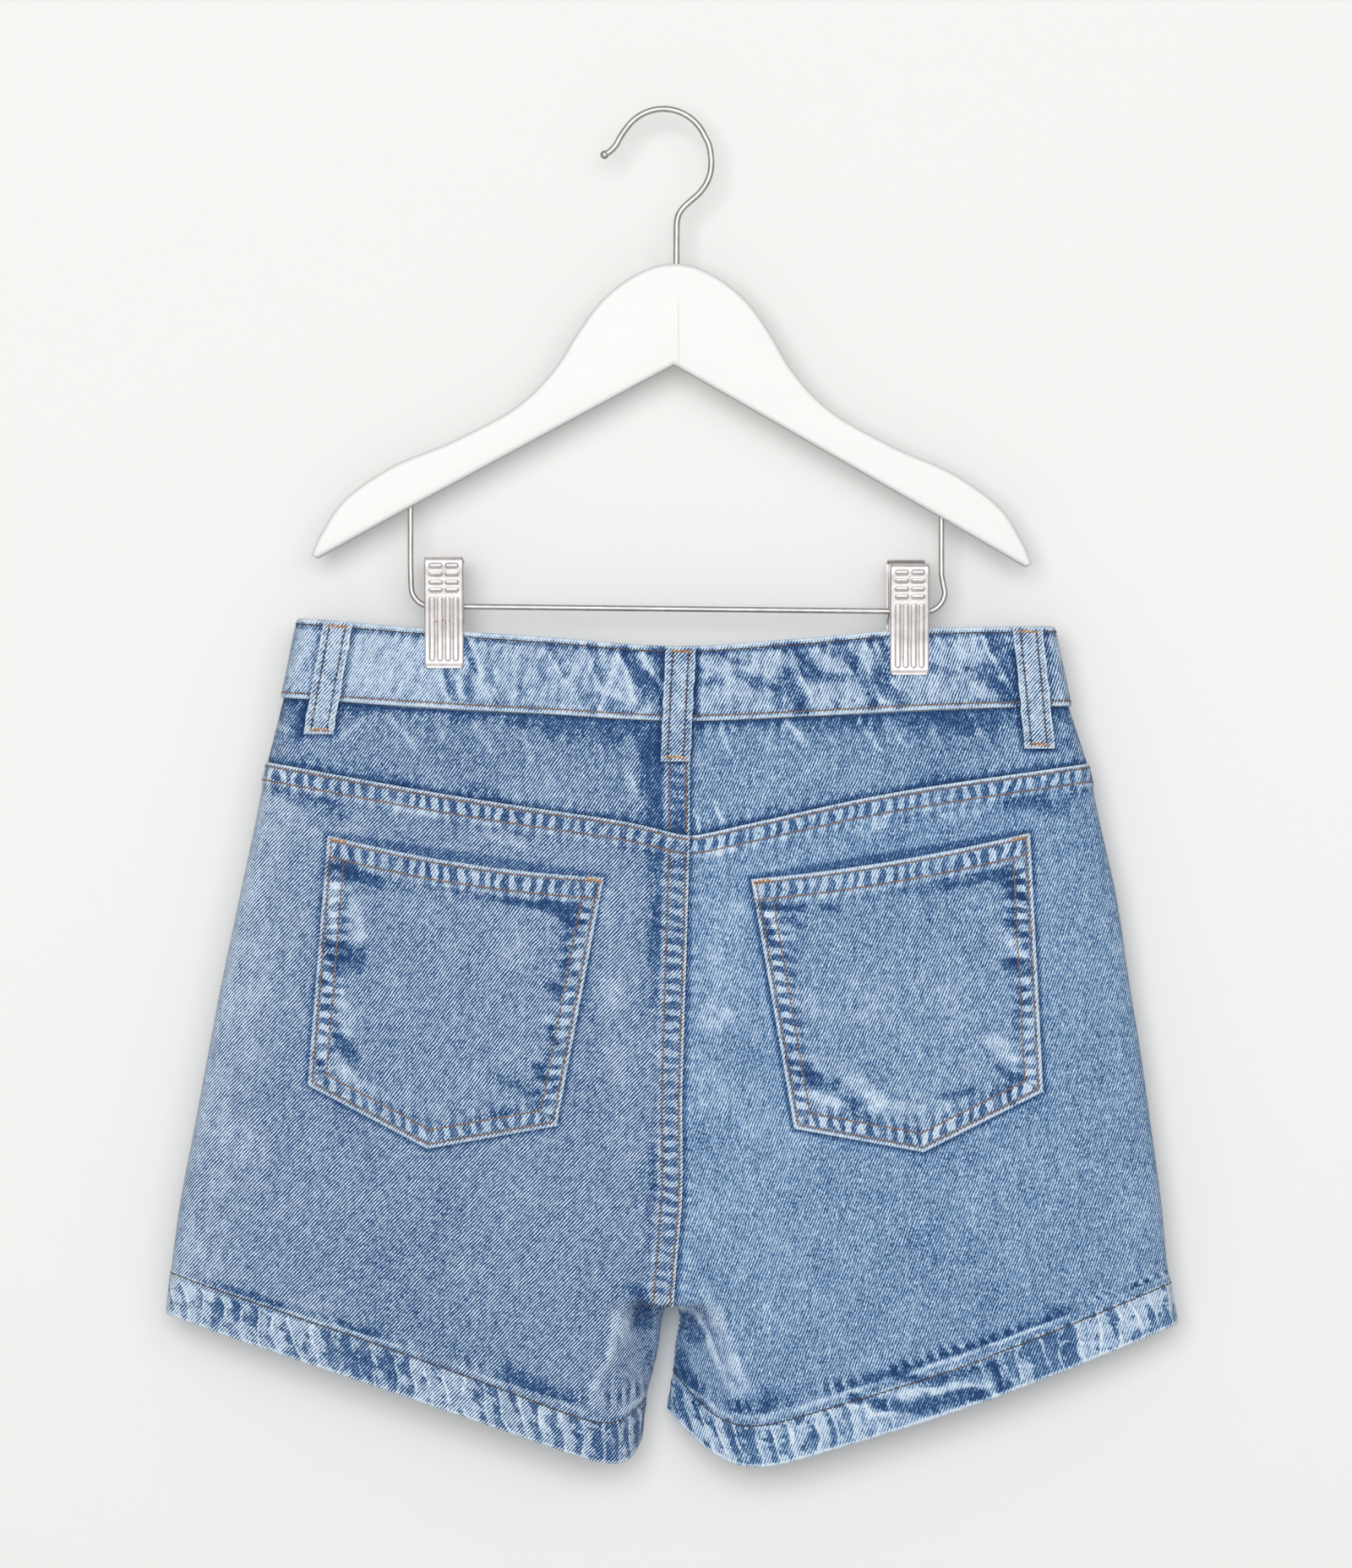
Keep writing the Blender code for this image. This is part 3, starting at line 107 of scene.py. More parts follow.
def stage_sheet(name, corners, tone, one_sided):
    """A flat pale surface. A one-sided one is clear from behind, and light passes through it."""
    mesh = bpy.data.meshes.new(name)
    mesh.from_pydata([Vector(c) * MM for c in corners], [], [(0, 1, 2, 3)])
    paint = bpy.data.materials.new(name)
    paint.use_nodes = True
    shader = paint.node_tree.nodes["Principled BSDF"]
    shader.inputs["Base Color"].default_value = (tone, tone * 0.997, tone * 0.985, 1)
    shader.inputs["Roughness"].default_value = 0.9
    shader.inputs["Specular IOR Level"].default_value = 0.2
    thing = linked(name, mesh)
    if one_sided:
        tree = paint.node_tree
        side, clear, mix = (tree.nodes.new(f"ShaderNode{kind}") for kind in
                            ("NewGeometry", "BsdfTransparent", "MixShader"))
        tree.links.new(side.outputs["Backfacing"], mix.inputs[0])
        tree.links.new(shader.outputs[0], mix.inputs[1])
        tree.links.new(clear.outputs[0], mix.inputs[2])
        tree.links.new(mix.outputs[0], tree.nodes["Material Output"].inputs["Surface"])
        thing.visible_shadow = thing.visible_diffuse = thing.visible_glossy = False
        thing.visible_transmission = False
    mesh.materials.append(paint)


left, right = -STAGE_WIDTH, STAGE_WIDTH
meeting = [(left, WALL_Y, FLOOR_Z), (right, WALL_Y, FLOOR_Z)]
stage_sheet("wall", meeting + [(right, WALL_Y, WALL_TOP), (left, WALL_Y, WALL_TOP)], WALL_TONE, True)
near_edge = [(left, -STAGE_DEPTH, FLOOR_Z), (right, -STAGE_DEPTH, FLOOR_Z)]
stage_sheet("floor", near_edge + meeting[::-1], FLOOR_TONE, False)

# ---------------------------------------------------------------- hanger: wooden arms
# One flat piece of beech sawn to a wide bow, with its edges rounded over, sprayed with satin white lacquer.
# It is glued up from two halves, and the joint shows as a hair line down the hub.

HUB_X = 1.5
HANGER_TILT = math.radians(-0.7)
WOOD_WALL = 12.0
WOOD_BEVEL = 3.4
Arm = namedtuple("Arm", "out z")
ARM_TOP = [Arm(*row) for row in (
    (0, -67.2), (8.5, -68.4), (18.5, -72.9), (32, -83.6), (42.8, -98.2), (51.5, -112.6), (66, -128.6), (95, -145.8),
    (128.5, -161), (147.5, -176), (156.5, -190.5),
)]
ARM_TIP = Arm(159.5, -200.5)
ARM_APEX = Arm(0.0, -111.9)
LACQUER = (0.895, 0.887, 0.875)


class Field:
    """A socket of a material that adds and multiplies like a number."""

    def __init__(self, finish, socket):
        self.finish = finish
        self.socket = socket

    def maths(self, operation, first, second=0.0, clamp=False):
        settings = {"operation": operation, "use_clamp": clamp}
        return self.finish.node("ShaderNodeMath", settings, {0: first, 1: second})

    def __add__(self, other):
        return self.maths("ADD", self, other)

    def __sub__(self, other):
        return self.maths("SUBTRACT", self, other)

    def __rsub__(self, other):
        return self.maths("SUBTRACT", other, self)

    def __mul__(self, other):
        return self.maths("MULTIPLY", self, other)

    def __truediv__(self, other):
        return self.maths("DIVIDE", self, other)

    def __pow__(self, other):
        return self.maths("POWER", self, other)

    __radd__ = __add__
    __rmul__ = __mul__

    def clamped(self):
        return self.maths("ADD", self, 0.0, clamp=True)

    def cosine(self):
        return self.maths("COSINE", self)

    def sine(self):
        return self.maths("SINE", self)

    def between(self, low, high):
        """0 below low, 1 above high, smooth between them."""
        settings = {"interpolation_type": "SMOOTHSTEP"}
        return self.finish.node("ShaderNodeMapRange", settings, {"Value": self, "From Min": low, "From Max": high})


class Finish:
    """A material made of nodes round one Principled shader."""

    def __init__(self, name, **constants):
        self.material = bpy.data.materials.new(name)
        self.material.use_nodes = True
        self.tree = self.material.node_tree
        self.shader = self.tree.nodes["Principled BSDF"]
        for socket, value in constants.items():
            self.shader.inputs[socket.replace("_", " ")].default_value = value

    def node(self, kind, settings=None, sockets=None, output=0):
        """Any node: its settings are made first, then its sockets take their values or links."""
        made = self.tree.nodes.new(kind)
        for key, value in (settings or {}).items():
            if key == "stops":
                while len(made.color_ramp.elements) < len(value):
                    made.color_ramp.elements.new(0.5)
                for stop, (place, colour) in zip(made.color_ramp.elements, value):
                    stop.position = place
                    stop.color = (*colour, 1)
            else:
                setattr(made, key, value)
        for key, value in (sockets or {}).items():
            self.set(made.inputs[key], value)
        return Field(self, made.outputs[output])

    def set(self, socket, value):
        if isinstance(value, Field):
            self.tree.links.new(value.socket, socket)
        elif hasattr(socket.default_value, "__len__") and len(value) < len(socket.default_value):
            socket.default_value = (*value, 1)
        else:
            socket.default_value = value

    def shows(self, **sockets):
        for socket, value in sockets.items():
            self.set(self.shader.inputs[socket.replace("_", " ")], value)

    def attribute(self, name, output="Fac"):
        return self.node("ShaderNodeAttribute", {"attribute_name": name}, output=output)

    def place(self):
        """Object coordinates in millimetres."""
        spot = self.node("ShaderNodeTexCoord", output="Object")
        return self.node("ShaderNodeVectorMath", {"operation": "SCALE"}, {0: spot, "Scale": 1 / MM})

    def split(self, vector):
        made = self.tree.nodes.new("ShaderNodeSeparateXYZ")
        self.set(made.inputs[0], vector)
        return [Field(self, made.outputs[i]) for i in range(3)]

    def joined(self, x, y, z=0.0):
        return self.node("ShaderNodeCombineXYZ", None, {0: x, 1: y, 2: z})

    def noise(self, vector, scale, detail=2.0, roughness=0.5):
        """Soft noise from 0 to 1."""
        sockets = {"Vector": vector, "Scale": scale, "Detail": detail, "Roughness": roughness}
        return self.node("ShaderNodeTexNoise", {"noise_dimensions": "3D"}, sockets)

    def cloud(self, first, second, layer, detail=2.0, roughness=0.5):
        """Soft noise over two lengths. Each layer number gives other clouds."""
        return self.noise(self.joined(first, second, layer), 1.0, detail, roughness)

    def ramp(self, value, stops):
        return self.node("ShaderNodeValToRGB", {"stops": stops}, {"Fac": value})

    def blend(self, factor, first, second):
        settings = {"data_type": "RGBA"}
        return self.node("ShaderNodeMix", settings, {0: factor, 6: first, 7: second}, output=2)

    def bump(self, height, distance, strength=1.0):
        self.shows(Normal=self.node("ShaderNodeBump", None, {"Height": height, "Distance": distance * MM,
                                                             "Strength": strength}))


def deselect():
    if bpy.context.mode != "OBJECT":
        bpy.ops.object.mode_set(mode="OBJECT")
    bpy.ops.object.select_all(action="DESELECT")


def pick(thing):
    deselect()
    thing.select_set(True)
    bpy.context.view_layer.objects.active = thing


def settle(thing):
    """Applies the modifiers and the place of a finished piece."""
    pick(thing)
    if thing.type != "MESH":
        bpy.ops.object.convert(target="MESH")
        thing = bpy.context.object
    for modifier in list(thing.modifiers):
        bpy.ops.object.modifier_apply(modifier=modifier.name)
    bpy.ops.object.transform_apply(location=True, rotation=True, scale=True)
    bpy.ops.object.mode_set(mode="EDIT")
    bpy.ops.mesh.select_all(action="SELECT")
    bpy.ops.mesh.remove_doubles(threshold=0.00001)
    bpy.ops.mesh.normals_make_consistent(inside=False)
    bpy.ops.object.mode_set(mode="OBJECT")
    return thing


def fit(thing, finish, slot, *nodes):
    """A piece takes its finish and its place under the root, and hides the plain solids that it stands for. Its slot
    is not used.
    """
    thing.data.materials.clear()
    thing.data.materials.append(finish.material)
    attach(thing, "root")
    if nodes:
        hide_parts(*nodes)
    return thing


def through(knots, values, at):
    """A smooth curve through the values, with slopes averaged from their neighbours."""
    knots = np.asarray(knots, float)
    values = np.asarray(values, float)
    at = np.clip(np.asarray(at, float), knots[0], knots[-1])
    step = np.diff(knots)
    shape = (-1,) + (1,) * (values.ndim - 1)
    slope = np.diff(values, axis=0) / step.reshape(shape)
    tangent = np.concatenate([slope[:1], slope[:1], slope[1:]])[: len(values)]
    tangent[0] = slope[0]
    tangent[-1] = slope[-1]
    for i in range(1, len(values) - 1):
        tangent[i] = (slope[i - 1] * step[i] + slope[i] * step[i - 1]) / (step[i] + step[i - 1])
    i = np.clip(np.searchsorted(knots, at, side="right") - 1, 0, len(step) - 1)
    h = step[i].reshape(shape)
    t = ((at - knots[i]) / step[i]).reshape(shape)
    return (
        (2 * t**3 - 3 * t**2 + 1) * values[i]
        + (t**3 - 2 * t**2 + t) * h * tangent[i]
        + (3 * t**2 - 2 * t**3) * values[i + 1]
        + (t**3 - t**2) * h * tangent[i + 1]
    )


def smooth_route(points, count):
    """A smooth line through the points, with the knots spaced by their distances."""
    points = np.asarray(points, float)
    gone = np.concatenate([[0], np.cumsum(np.linalg.norm(np.diff(points, axis=0), axis=1))])
    return through(gone, points, np.linspace(0, gone[-1], count))


def tilted(x, y, z):
    """A point of the level hanger turned about its hub."""
    c, s = math.cos(HANGER_TILT), math.sin(HANGER_TILT)
    up = z - ARM_TOP[0].z
    return (HUB_X + x * c - up * s, y, ARM_TOP[0].z + x * s + up * c)


half_top = [(-ARM_TOP[1].out, ARM_TOP[1].z)] + [(arm.out, arm.z) for arm in ARM_TOP]
half = [(0.0, ARM_TOP[0].z)] + [tuple(p) for p in smooth_route(half_top, 90) if p[0] > 0.5]
half += [(ARM_TIP.out, ARM_TIP.z + 2.5), (ARM_TIP.out - 1.6, ARM_TIP.z + 0.4)]
half += [(ARM_TIP.out * t, ARM_TIP.z + (ARM_APEX.z - ARM_TIP.z) * (1 - t)) for t in (0.75, 0.5, 0.25)]
outline = half + [(ARM_APEX.out, ARM_APEX.z)] + [(-x, z) for x, z in half[:0:-1]]

deselect()
bpy.ops.mesh.primitive_circle_add(vertices=len(outline), radius=0.1, fill_type="NGON")
arms = bpy.context.object
arms.name = "wooden_arms"
for vertex, (x, z) in zip(arms.data.vertices, outline):
    vertex.co = Vector(tilted(x, -WOOD_WALL / 2, z)) * MM
bpy.ops.object.mode_set(mode="EDIT")
bpy.ops.mesh.select_all(action="SELECT")
bpy.ops.mesh.extrude_region_move(TRANSFORM_OT_translate={"value": (0, WOOD_WALL * MM, 0)})
bpy.ops.object.mode_set(mode="OBJECT")
rounding = arms.modifiers.new("rounded_over", "BEVEL")
rounding.width = WOOD_BEVEL * MM
rounding.segments = 5
rounding.limit_method = "ANGLE"
rounding.angle_limit = math.radians(60)
arms = settle(arms)
bpy.ops.object.shade_smooth_by_angle(angle=math.radians(35))

lacquer = Finish("white_lacquer", Roughness=0.42, Coat_Weight=0.25, Coat_Roughness=0.3)
spot = lacquer.place()
x, y, z = lacquer.split(spot)
grain = lacquer.noise(lacquer.joined(x * 0.02, y * 0.4, z * 0.4), 1.0, 4.0, 0.6)
brushed = lacquer.noise(spot, 0.35, 3.0, 0.6)
from_hub = (x - HUB_X - 1.2) + (z + 67) * 0.011
joint = (1 - (from_hub * from_hub).between(0.0, 0.11)) * (1 - z.between(-90, -80))
tone = lacquer.ramp(grain * 0.6 + brushed * 0.4, [(0.25, tuple(c * 0.972 for c in LACQUER)), (0.75, LACQUER)])
tone = lacquer.blend(joint * 0.30, tone, (0.62, 0.60, 0.56))
lacquer.shows(Base_Color=tone, Roughness=0.36 + brushed * 0.14)
lacquer.bump(grain * 0.5 + brushed * 0.2 - joint * 2.0, 0.12, 0.5)
fit(arms, lacquer, "white_paint", "hanger_wood")

# ---------------------------------------------------------------- hanger: hook
# Nickel-plated spring wire, bent round a mandrel: a straight shank screwed into the hub, a crook, the round
# bend that hangs on a peg, and a turned-up end with a small ball.

WIRE_RADIUS = 1.25
HOOK_RADIUS = 1.35
HOOK_INNER = 18.6
HOOK_CENTRE_X = -3.7
HOOK_FOOT_Z = -85.0
BALL_RADIUS = 1.9
WirePoint = namedtuple("WirePoint", "x z")
HOOK_CROOK = [WirePoint(*row) for row in (
    (2.1, -64.5), (2.2, -52.3), (2.3, -48.5), (3.1, -45.2), (5.1, -42.2), (8.4, -39.1), (12.1, -35.8), (15, -32),
    (16.9, -27.6), (17.6, -22.8), (17.3, -18.2), (16.3, -13.6),
)]
HOOK_TIP = [WirePoint(*row) for row in (
    (-20.8, -7.8), (-23, -11.1), (-24.9, -14.5), (-27.4, -17.1), (-30.1, -18.8),
)]
NICKEL = [(0.30, (0.50, 0.485, 0.47)), (0.70, (0.80, 0.78, 0.76))]


def plated(name, stops, roughness):
    """Nickel plate on drawn or pressed steel: fine scratches, dull patches and a little tarnish."""
    finish = Finish(name, Metallic=1.0)
    spot = finish.place()
    cloudy = finish.noise(spot, 0.22, 4.0, 0.65)
    scratched = finish.noise(spot, 2.6, 2.0, 0.7)
    finish.shows(Base_Color=finish.ramp(cloudy * 0.7 + scratched * 0.3, stops),
                 Roughness=roughness + cloudy * 0.16 + scratched * 0.06)
    finish.bump(scratched, 0.02, 0.4)
    return finish


def arc(centre, radius, start, stop, count):
    """Points of an arc in the X-Z plane, angles in degrees from +X towards +Z."""
    angles = np.radians(np.linspace(start, stop, count))
    return [(centre[0] + radius * math.cos(a), 0.0, centre[1] + radius * math.sin(a)) for a in angles]


def drawn_wire(name, route, radius):
    """A round wire along a route, with rounded ends."""
    curve = bpy.data.curves.new(name, "CURVE")
    curve.dimensions = "3D"
    curve.bevel_depth = radius * MM
    curve.bevel_resolution = 4
    curve.use_fill_caps = True
    spline = curve.splines.new("POLY")
    spline.points.add(len(route) - 1)
    for point, place in zip(spline.points, route):
        point.co = (*(Vector(place) * MM), 1)
    wire = settle(linked(name, curve))
    bpy.ops.object.shade_smooth()
    return wire


bright_wire = plated("nickel_wire", NICKEL, 0.36)
bend = HOOK_INNER + HOOK_RADIUS
centre = (HOOK_CENTRE_X, -math.sqrt(HOOK_INNER**2 - HOOK_CENTRE_X**2))
lower = [(row.x, 0.0, row.z) for row in HOOK_CROOK]
tip = [(row.x, 0.0, row.z) for row in HOOK_TIP]
route = smooth_route(lower + arc(centre, bend, 24, 138, 20) + tip, 150)
shank = np.array([(HOOK_CROOK[0].x, 0.0, z) for z in np.linspace(HOOK_FOOT_Z, HOOK_CROOK[0].z - 1, 12)])
hook = drawn_wire("hook_wire", np.concatenate([shank, route]), HOOK_RADIUS)
deselect()
bpy.ops.mesh.primitive_uv_sphere_add(segments=20, ring_count=12, radius=BALL_RADIUS * MM,
                                     location=Vector((HOOK_TIP[-1].x + 0.3, 0, HOOK_TIP[-1].z + 0.2)) * MM)
settle(bpy.context.object)
hook.select_set(True)
bpy.context.view_layer.objects.active = hook
bpy.ops.object.join()
bpy.ops.object.shade_smooth()
fit(hook, bright_wire, "steel", "hanger_hook")

# ---------------------------------------------------------------- hanger: bar
# The same wire, a little thinner: one length with both ends bent up and pushed into the arms.

BAR_BEND = 8.7
BAR_LEFT_TOP = -160.0
BAR_RIGHT_TOP = -165.0
BAR_LEAN = (-0.3, -1.5)
BAR_LEFT_BEND = WirePoint(-106.9, -210.2)
BAR_RIGHT_BEND = WirePoint(112.5, -212.6)


def bar_z(x):
    """Height of the bar's straight part."""
    share = (x - BAR_LEFT_BEND.x) / (BAR_RIGHT_BEND.x - BAR_LEFT_BEND.x)
    return (BAR_LEFT_BEND.z + (BAR_RIGHT_BEND.z - BAR_LEFT_BEND.z) * share) - BAR_BEND


left, right = BAR_LEFT_BEND, BAR_RIGHT_BEND
left_leg = [(left.x - BAR_BEND + BAR_LEAN[0], 0.0, z) for z in np.linspace(BAR_LEFT_TOP, BAR_LEFT_TOP - 40, 6)]
right_leg = [(right.x + BAR_BEND + BAR_LEAN[1], 0.0, z) for z in np.linspace(BAR_RIGHT_TOP - 40, BAR_RIGHT_TOP, 6)]
bends = arc((left.x, left.z), BAR_BEND, 180, 270, 14) + arc((right.x, right.z), BAR_BEND, 270, 360, 14)
bar = drawn_wire("bar_wire", left_leg + bends + right_leg, WIRE_RADIUS)
fit(bar, bright_wire, "steel", "trouser_bar")

# ---------------------------------------------------------------- hanger: clips
# Two spring clips that slide on the bar. Each jaw is a pressed strip of nickel-plated steel with its long edges
# turned in: two columns of pill-shaped grips above, four flutes below, and a flat lip that bites the cloth.

PLATE_WIDTH = 17.4
PLATE_HEIGHT = 49.0
PLATE_WALL = 0.9
PLATE_FLANGE = 2.4
PLATE_RIM = 0.35
PLATE_TURN = (19.0, 25.0)
PILL_ROWS = (45.2, 41.6, 38.0, 34.6)  # height above the foot
PILL_SIZE = (6.3, 2.3)
PILL_APART = 3.55
FLUTE_SPAN = (3.0, 31.6)
FLUTES = (-5.2, -1.75, 1.75, 5.2)
FLUTE_WIDTH = 3.0
EMBOSS = 0.75
STRIP_STEEL = 0.6
BEND_RADIUS = 0.9
CORNER_CUT = 0.07  # of the width, at each corner
FOOT_TURN = 1.0
COIL_RADIUS = 5.2
COIL_WIRE = 0.65
COIL_TURNS = 5.5
COIL_LENGTH = 9.0
PlatePoint = namedtuple("PlatePoint", "up out")
PLATE_PATH = [PlatePoint(*row) for row in (
    (0, 4.9), (3, 4.2), (12, 4.1), (20, 5.3), (30, 7.1), (40, 8.7), (47, 9.7), (49, 9.3),
)]
Clip = namedtuple("Clip", "name x foot_z front_shift")
CLIPS = [Clip("clip_left", -100.9, -246.3, (0.0, -0.5)), Clip("clip_right", 105.4, -249.3, (-1.2, 2.2))]
RUST = (0.33, 0.13, 0.04)
Speck = namedtuple("Speck", "x z wide")
RUST_SPECKS = [
    Speck(-104.3, -225.8, 0.5), Speck(-101.2, -225.3, 0.6), Speck(-98.4, -225.4, 0.5), Speck(-100.1, -226.1, 0.3),
]


def smoothstep(low, high, value):
    t = np.clip((np.asarray(value, float) - low) / (high - low), 0, 1)
    return t * t * (3 - 2 * t)


def pressed_relief(a, up):
    """How far the stamp has raised the plate at a across and up from the foot."""
    relief = np.zeros_like(a)
    for row in PILL_ROWS:
        for middle in (-PILL_APART, PILL_APART):
            run = np.maximum(np.abs(a - middle) - (PILL_SIZE[0] - PILL_SIZE[1]) / 2, 0)
            away = np.hypot(run, up - row) / (PILL_SIZE[1] / 2)
            relief = np.maximum(relief, 1 - smoothstep(0.35, 1.12, away))
    low, high = FLUTE_SPAN
    for middle in FLUTES:
        beyond = np.maximum(np.maximum(low + 1.2 - up, up - high + 1.2), 0)
        away = np.hypot(a - middle, beyond) / (FLUTE_WIDTH / 2)
        relief = np.maximum(relief, 1 - smoothstep(0.3, 1.15, away))
    return EMBOSS * relief


def jaw(name, x, foot_z, facing, shift):
    """One jaw: a grid as wide as the flat blank, pressed, with its edges folded in, then given its wall."""
    across, along = 74, 128
    deselect()
    bpy.ops.mesh.primitive_grid_add(x_subdivisions=across, y_subdivisions=along, size=1.0)
    plate = bpy.context.object
    plate.name = name
    points = np.array([v.co for v in plate.data.vertices])
    share, up = points[:, 0] * 2, (points[:, 1] + 0.5) * PLATE_HEIGHT
    turn = PLATE_RIM + PLATE_WALL + PLATE_FLANGE * smoothstep(*PLATE_TURN, up)
    flat = PLATE_WIDTH / 2 - BEND_RADIUS
    bent = flat + BEND_RADIUS * math.pi / 2
    run = np.abs(share) * (bent + np.maximum(turn - BEND_RADIUS, 0.05))
    angle = np.clip((run - flat) / BEND_RADIUS, 0, math.pi / 2)
    a = np.sign(share) * (np.minimum(run, flat) + BEND_RADIUS * np.sin(angle))
    sink = BEND_RADIUS * (1 - np.cos(angle)) + np.maximum(run - bent, 0)
    face = through([p.up for p in PLATE_PATH], [p.out for p in PLATE_PATH], up) + PLATE_WALL
    lifted = pressed_relief(a, up) * (run < flat)
    round_foot = FOOT_TURN * (1 - smoothstep(0, 2.6, up)) + 0.5 * smoothstep(PLATE_HEIGHT - 1.6, PLATE_HEIGHT, up)
    a = a * (1 - CORNER_CUT * (1 - smoothstep(-0.2, 1.3, np.minimum(up, PLATE_HEIGHT - up))))
    y = facing * (face - sink - round_foot + lifted * 0.8 - 0.2)
    z = foot_z + shift[1] + up
    for vertex, place in zip(plate.data.vertices, np.stack([x + shift[0] + a, y, z], axis=1)):
        vertex.co = Vector(place) * MM
    if facing > 0:
        plate.data.flip_normals()
    thick = plate.modifiers.new("wall", "SOLIDIFY")
    thick.thickness = STRIP_STEEL * MM
    thick.offset = -1.0
    plate = settle(plate)
    bpy.ops.object.shade_smooth_by_angle(angle=math.radians(50))
    return plate


def coil(name, x, z):
    """The spring between the jaws, wound round the bar."""
    turns = np.linspace(0, 2 * math.pi * COIL_TURNS, 130)
    run = (np.linspace(0, 1, len(turns)) - 0.5) * COIL_LENGTH
    route = np.stack([x + run, COIL_RADIUS * np.cos(turns), z + COIL_RADIUS * np.sin(turns)], axis=1)
    return drawn_wire(name, route, COIL_WIRE)


PLATE_TONES = [(0.30, (0.62, 0.585, 0.58)), (0.72, (0.90, 0.865, 0.86))]
pressed = plated("nickel_plate", PLATE_TONES, 0.42)
rusted = plated("nickel_plate_spotted", PLATE_TONES, 0.42)
spot = rusted.place()
x, y, z = rusted.split(spot)
speck = 0.0
for row in RUST_SPECKS:
    dx, dz = (x - row.x) / row.wide, (z - row.z) / 0.35
    speck = speck + (1 - (dx * dx + dz * dz).between(0.4, 1.5))
speck = (speck * rusted.noise(spot, 1.6, 3.0, 0.7).between(0.3, 0.55)).clamped()
plain = Field(rusted, rusted.shader.inputs["Base Color"].links[0].from_socket)
rusted.shows(Base_Color=rusted.blend(speck, plain, RUST), Metallic=1 - speck * 0.8)

for clip in CLIPS:
    for side_name, facing, shift in (("back", -1, (0, 0)), ("front", 1, clip.front_shift)):
        plate = jaw(f"{clip.name}_{side_name}_plate", clip.x, clip.foot_z, facing, shift)
        finish = rusted if (clip.name, facing) == ("clip_left", -1) else pressed
        fit(plate, finish, "steel", f"{clip.name}_{side_name}_jaw")
    spring = coil(f"{clip.name}_coil", clip.x, bar_z(clip.x))
    fit(spring, bright_wire, "steel", f"{clip.name}_spring")

# ---------------------------------------------------------------- shorts: leg panels
# Four panels of washed indigo denim, right-hand twill with a pale weft, two for the back and two for the front.
# The back ones are felled to the yokes and down the centre seam, and each leg ends in a turned, double hem.

DENIM = 1.2
SEAM_GAP = 0.3
BAND_GAP = 0.45
SEAM_LIFT = 0.8
YOKE_SEAM_WIDTH = 9.0
CENTRE_SEAM_WIDTH = 13.0
YOKE_ROWS = (1.9, 8.3)  # of stitches, from the folded edge
CENTRE_ROWS = (1.7, 9.2)
HEM_DEPTH = 18.5
HEM_EXTRA = 1.2
HEM_LIFT = 0.4
SIDE_RADIUS = 8.0
SEAM_SLOPE = 4.0
PINCH_REACH = 0.25
BAND_TAPER = 0.957
BAND_SIDE = 1.5
LEG_LENGTH = 270.0
FORK = 0.815
HEM_LINE = 0.94
TWILL_PITCH = 1.17
STITCH = 3.1
THREAD_WIDTH = 0.72
THREADS = {"tan": (144, 106, 80), "brown": (82, 68, 62), "orange": (200, 132, 58)}
Ring = namedtuple("Ring", "along size")
STITCH_RINGS = [Ring(-0.49, 0.3), Ring(-0.36, 0.85), Ring(0.0, 1.0), Ring(0.36, 0.85), Ring(0.49, 0.3)]
STITCH_SIDES = 5
STITCH_DIP = 0.28
# Shades of the washed cloth, from bare weft to full indigo.
INDIGO = [(0.0, (227, 239, 250)), (0.25, (173, 200, 228)), (0.5, (120, 154, 193)), (0.75, (68, 107, 151)),
          (1.0, (32, 63, 109))]
BASE = 0.47  # shade of plain cloth
TONE = 0.445  # its place among the colours of INDIGO
PUCKER = 2.85  # mm of seam to a block, light or dark

Outline = namedtuple("Outline", "z left right")
OUTLINE = [Outline(*row) for row in (
    (-224, -165, 168.5), (-257.4, -171.8, 175.1), (-287.8, -179.2, 184.1), (-317.4, -185.2, 190.5),
    (-347.4, -191.6, 197.2), (-384.9, -199.5, 202.9), (-422.4, -206.6, 208.9), (-452.4, -212.2, 213),
    (-482.4, -217.9, 217.1), (-512.4, -222, 220.1), (-538, -224.8, 224.6),
)]
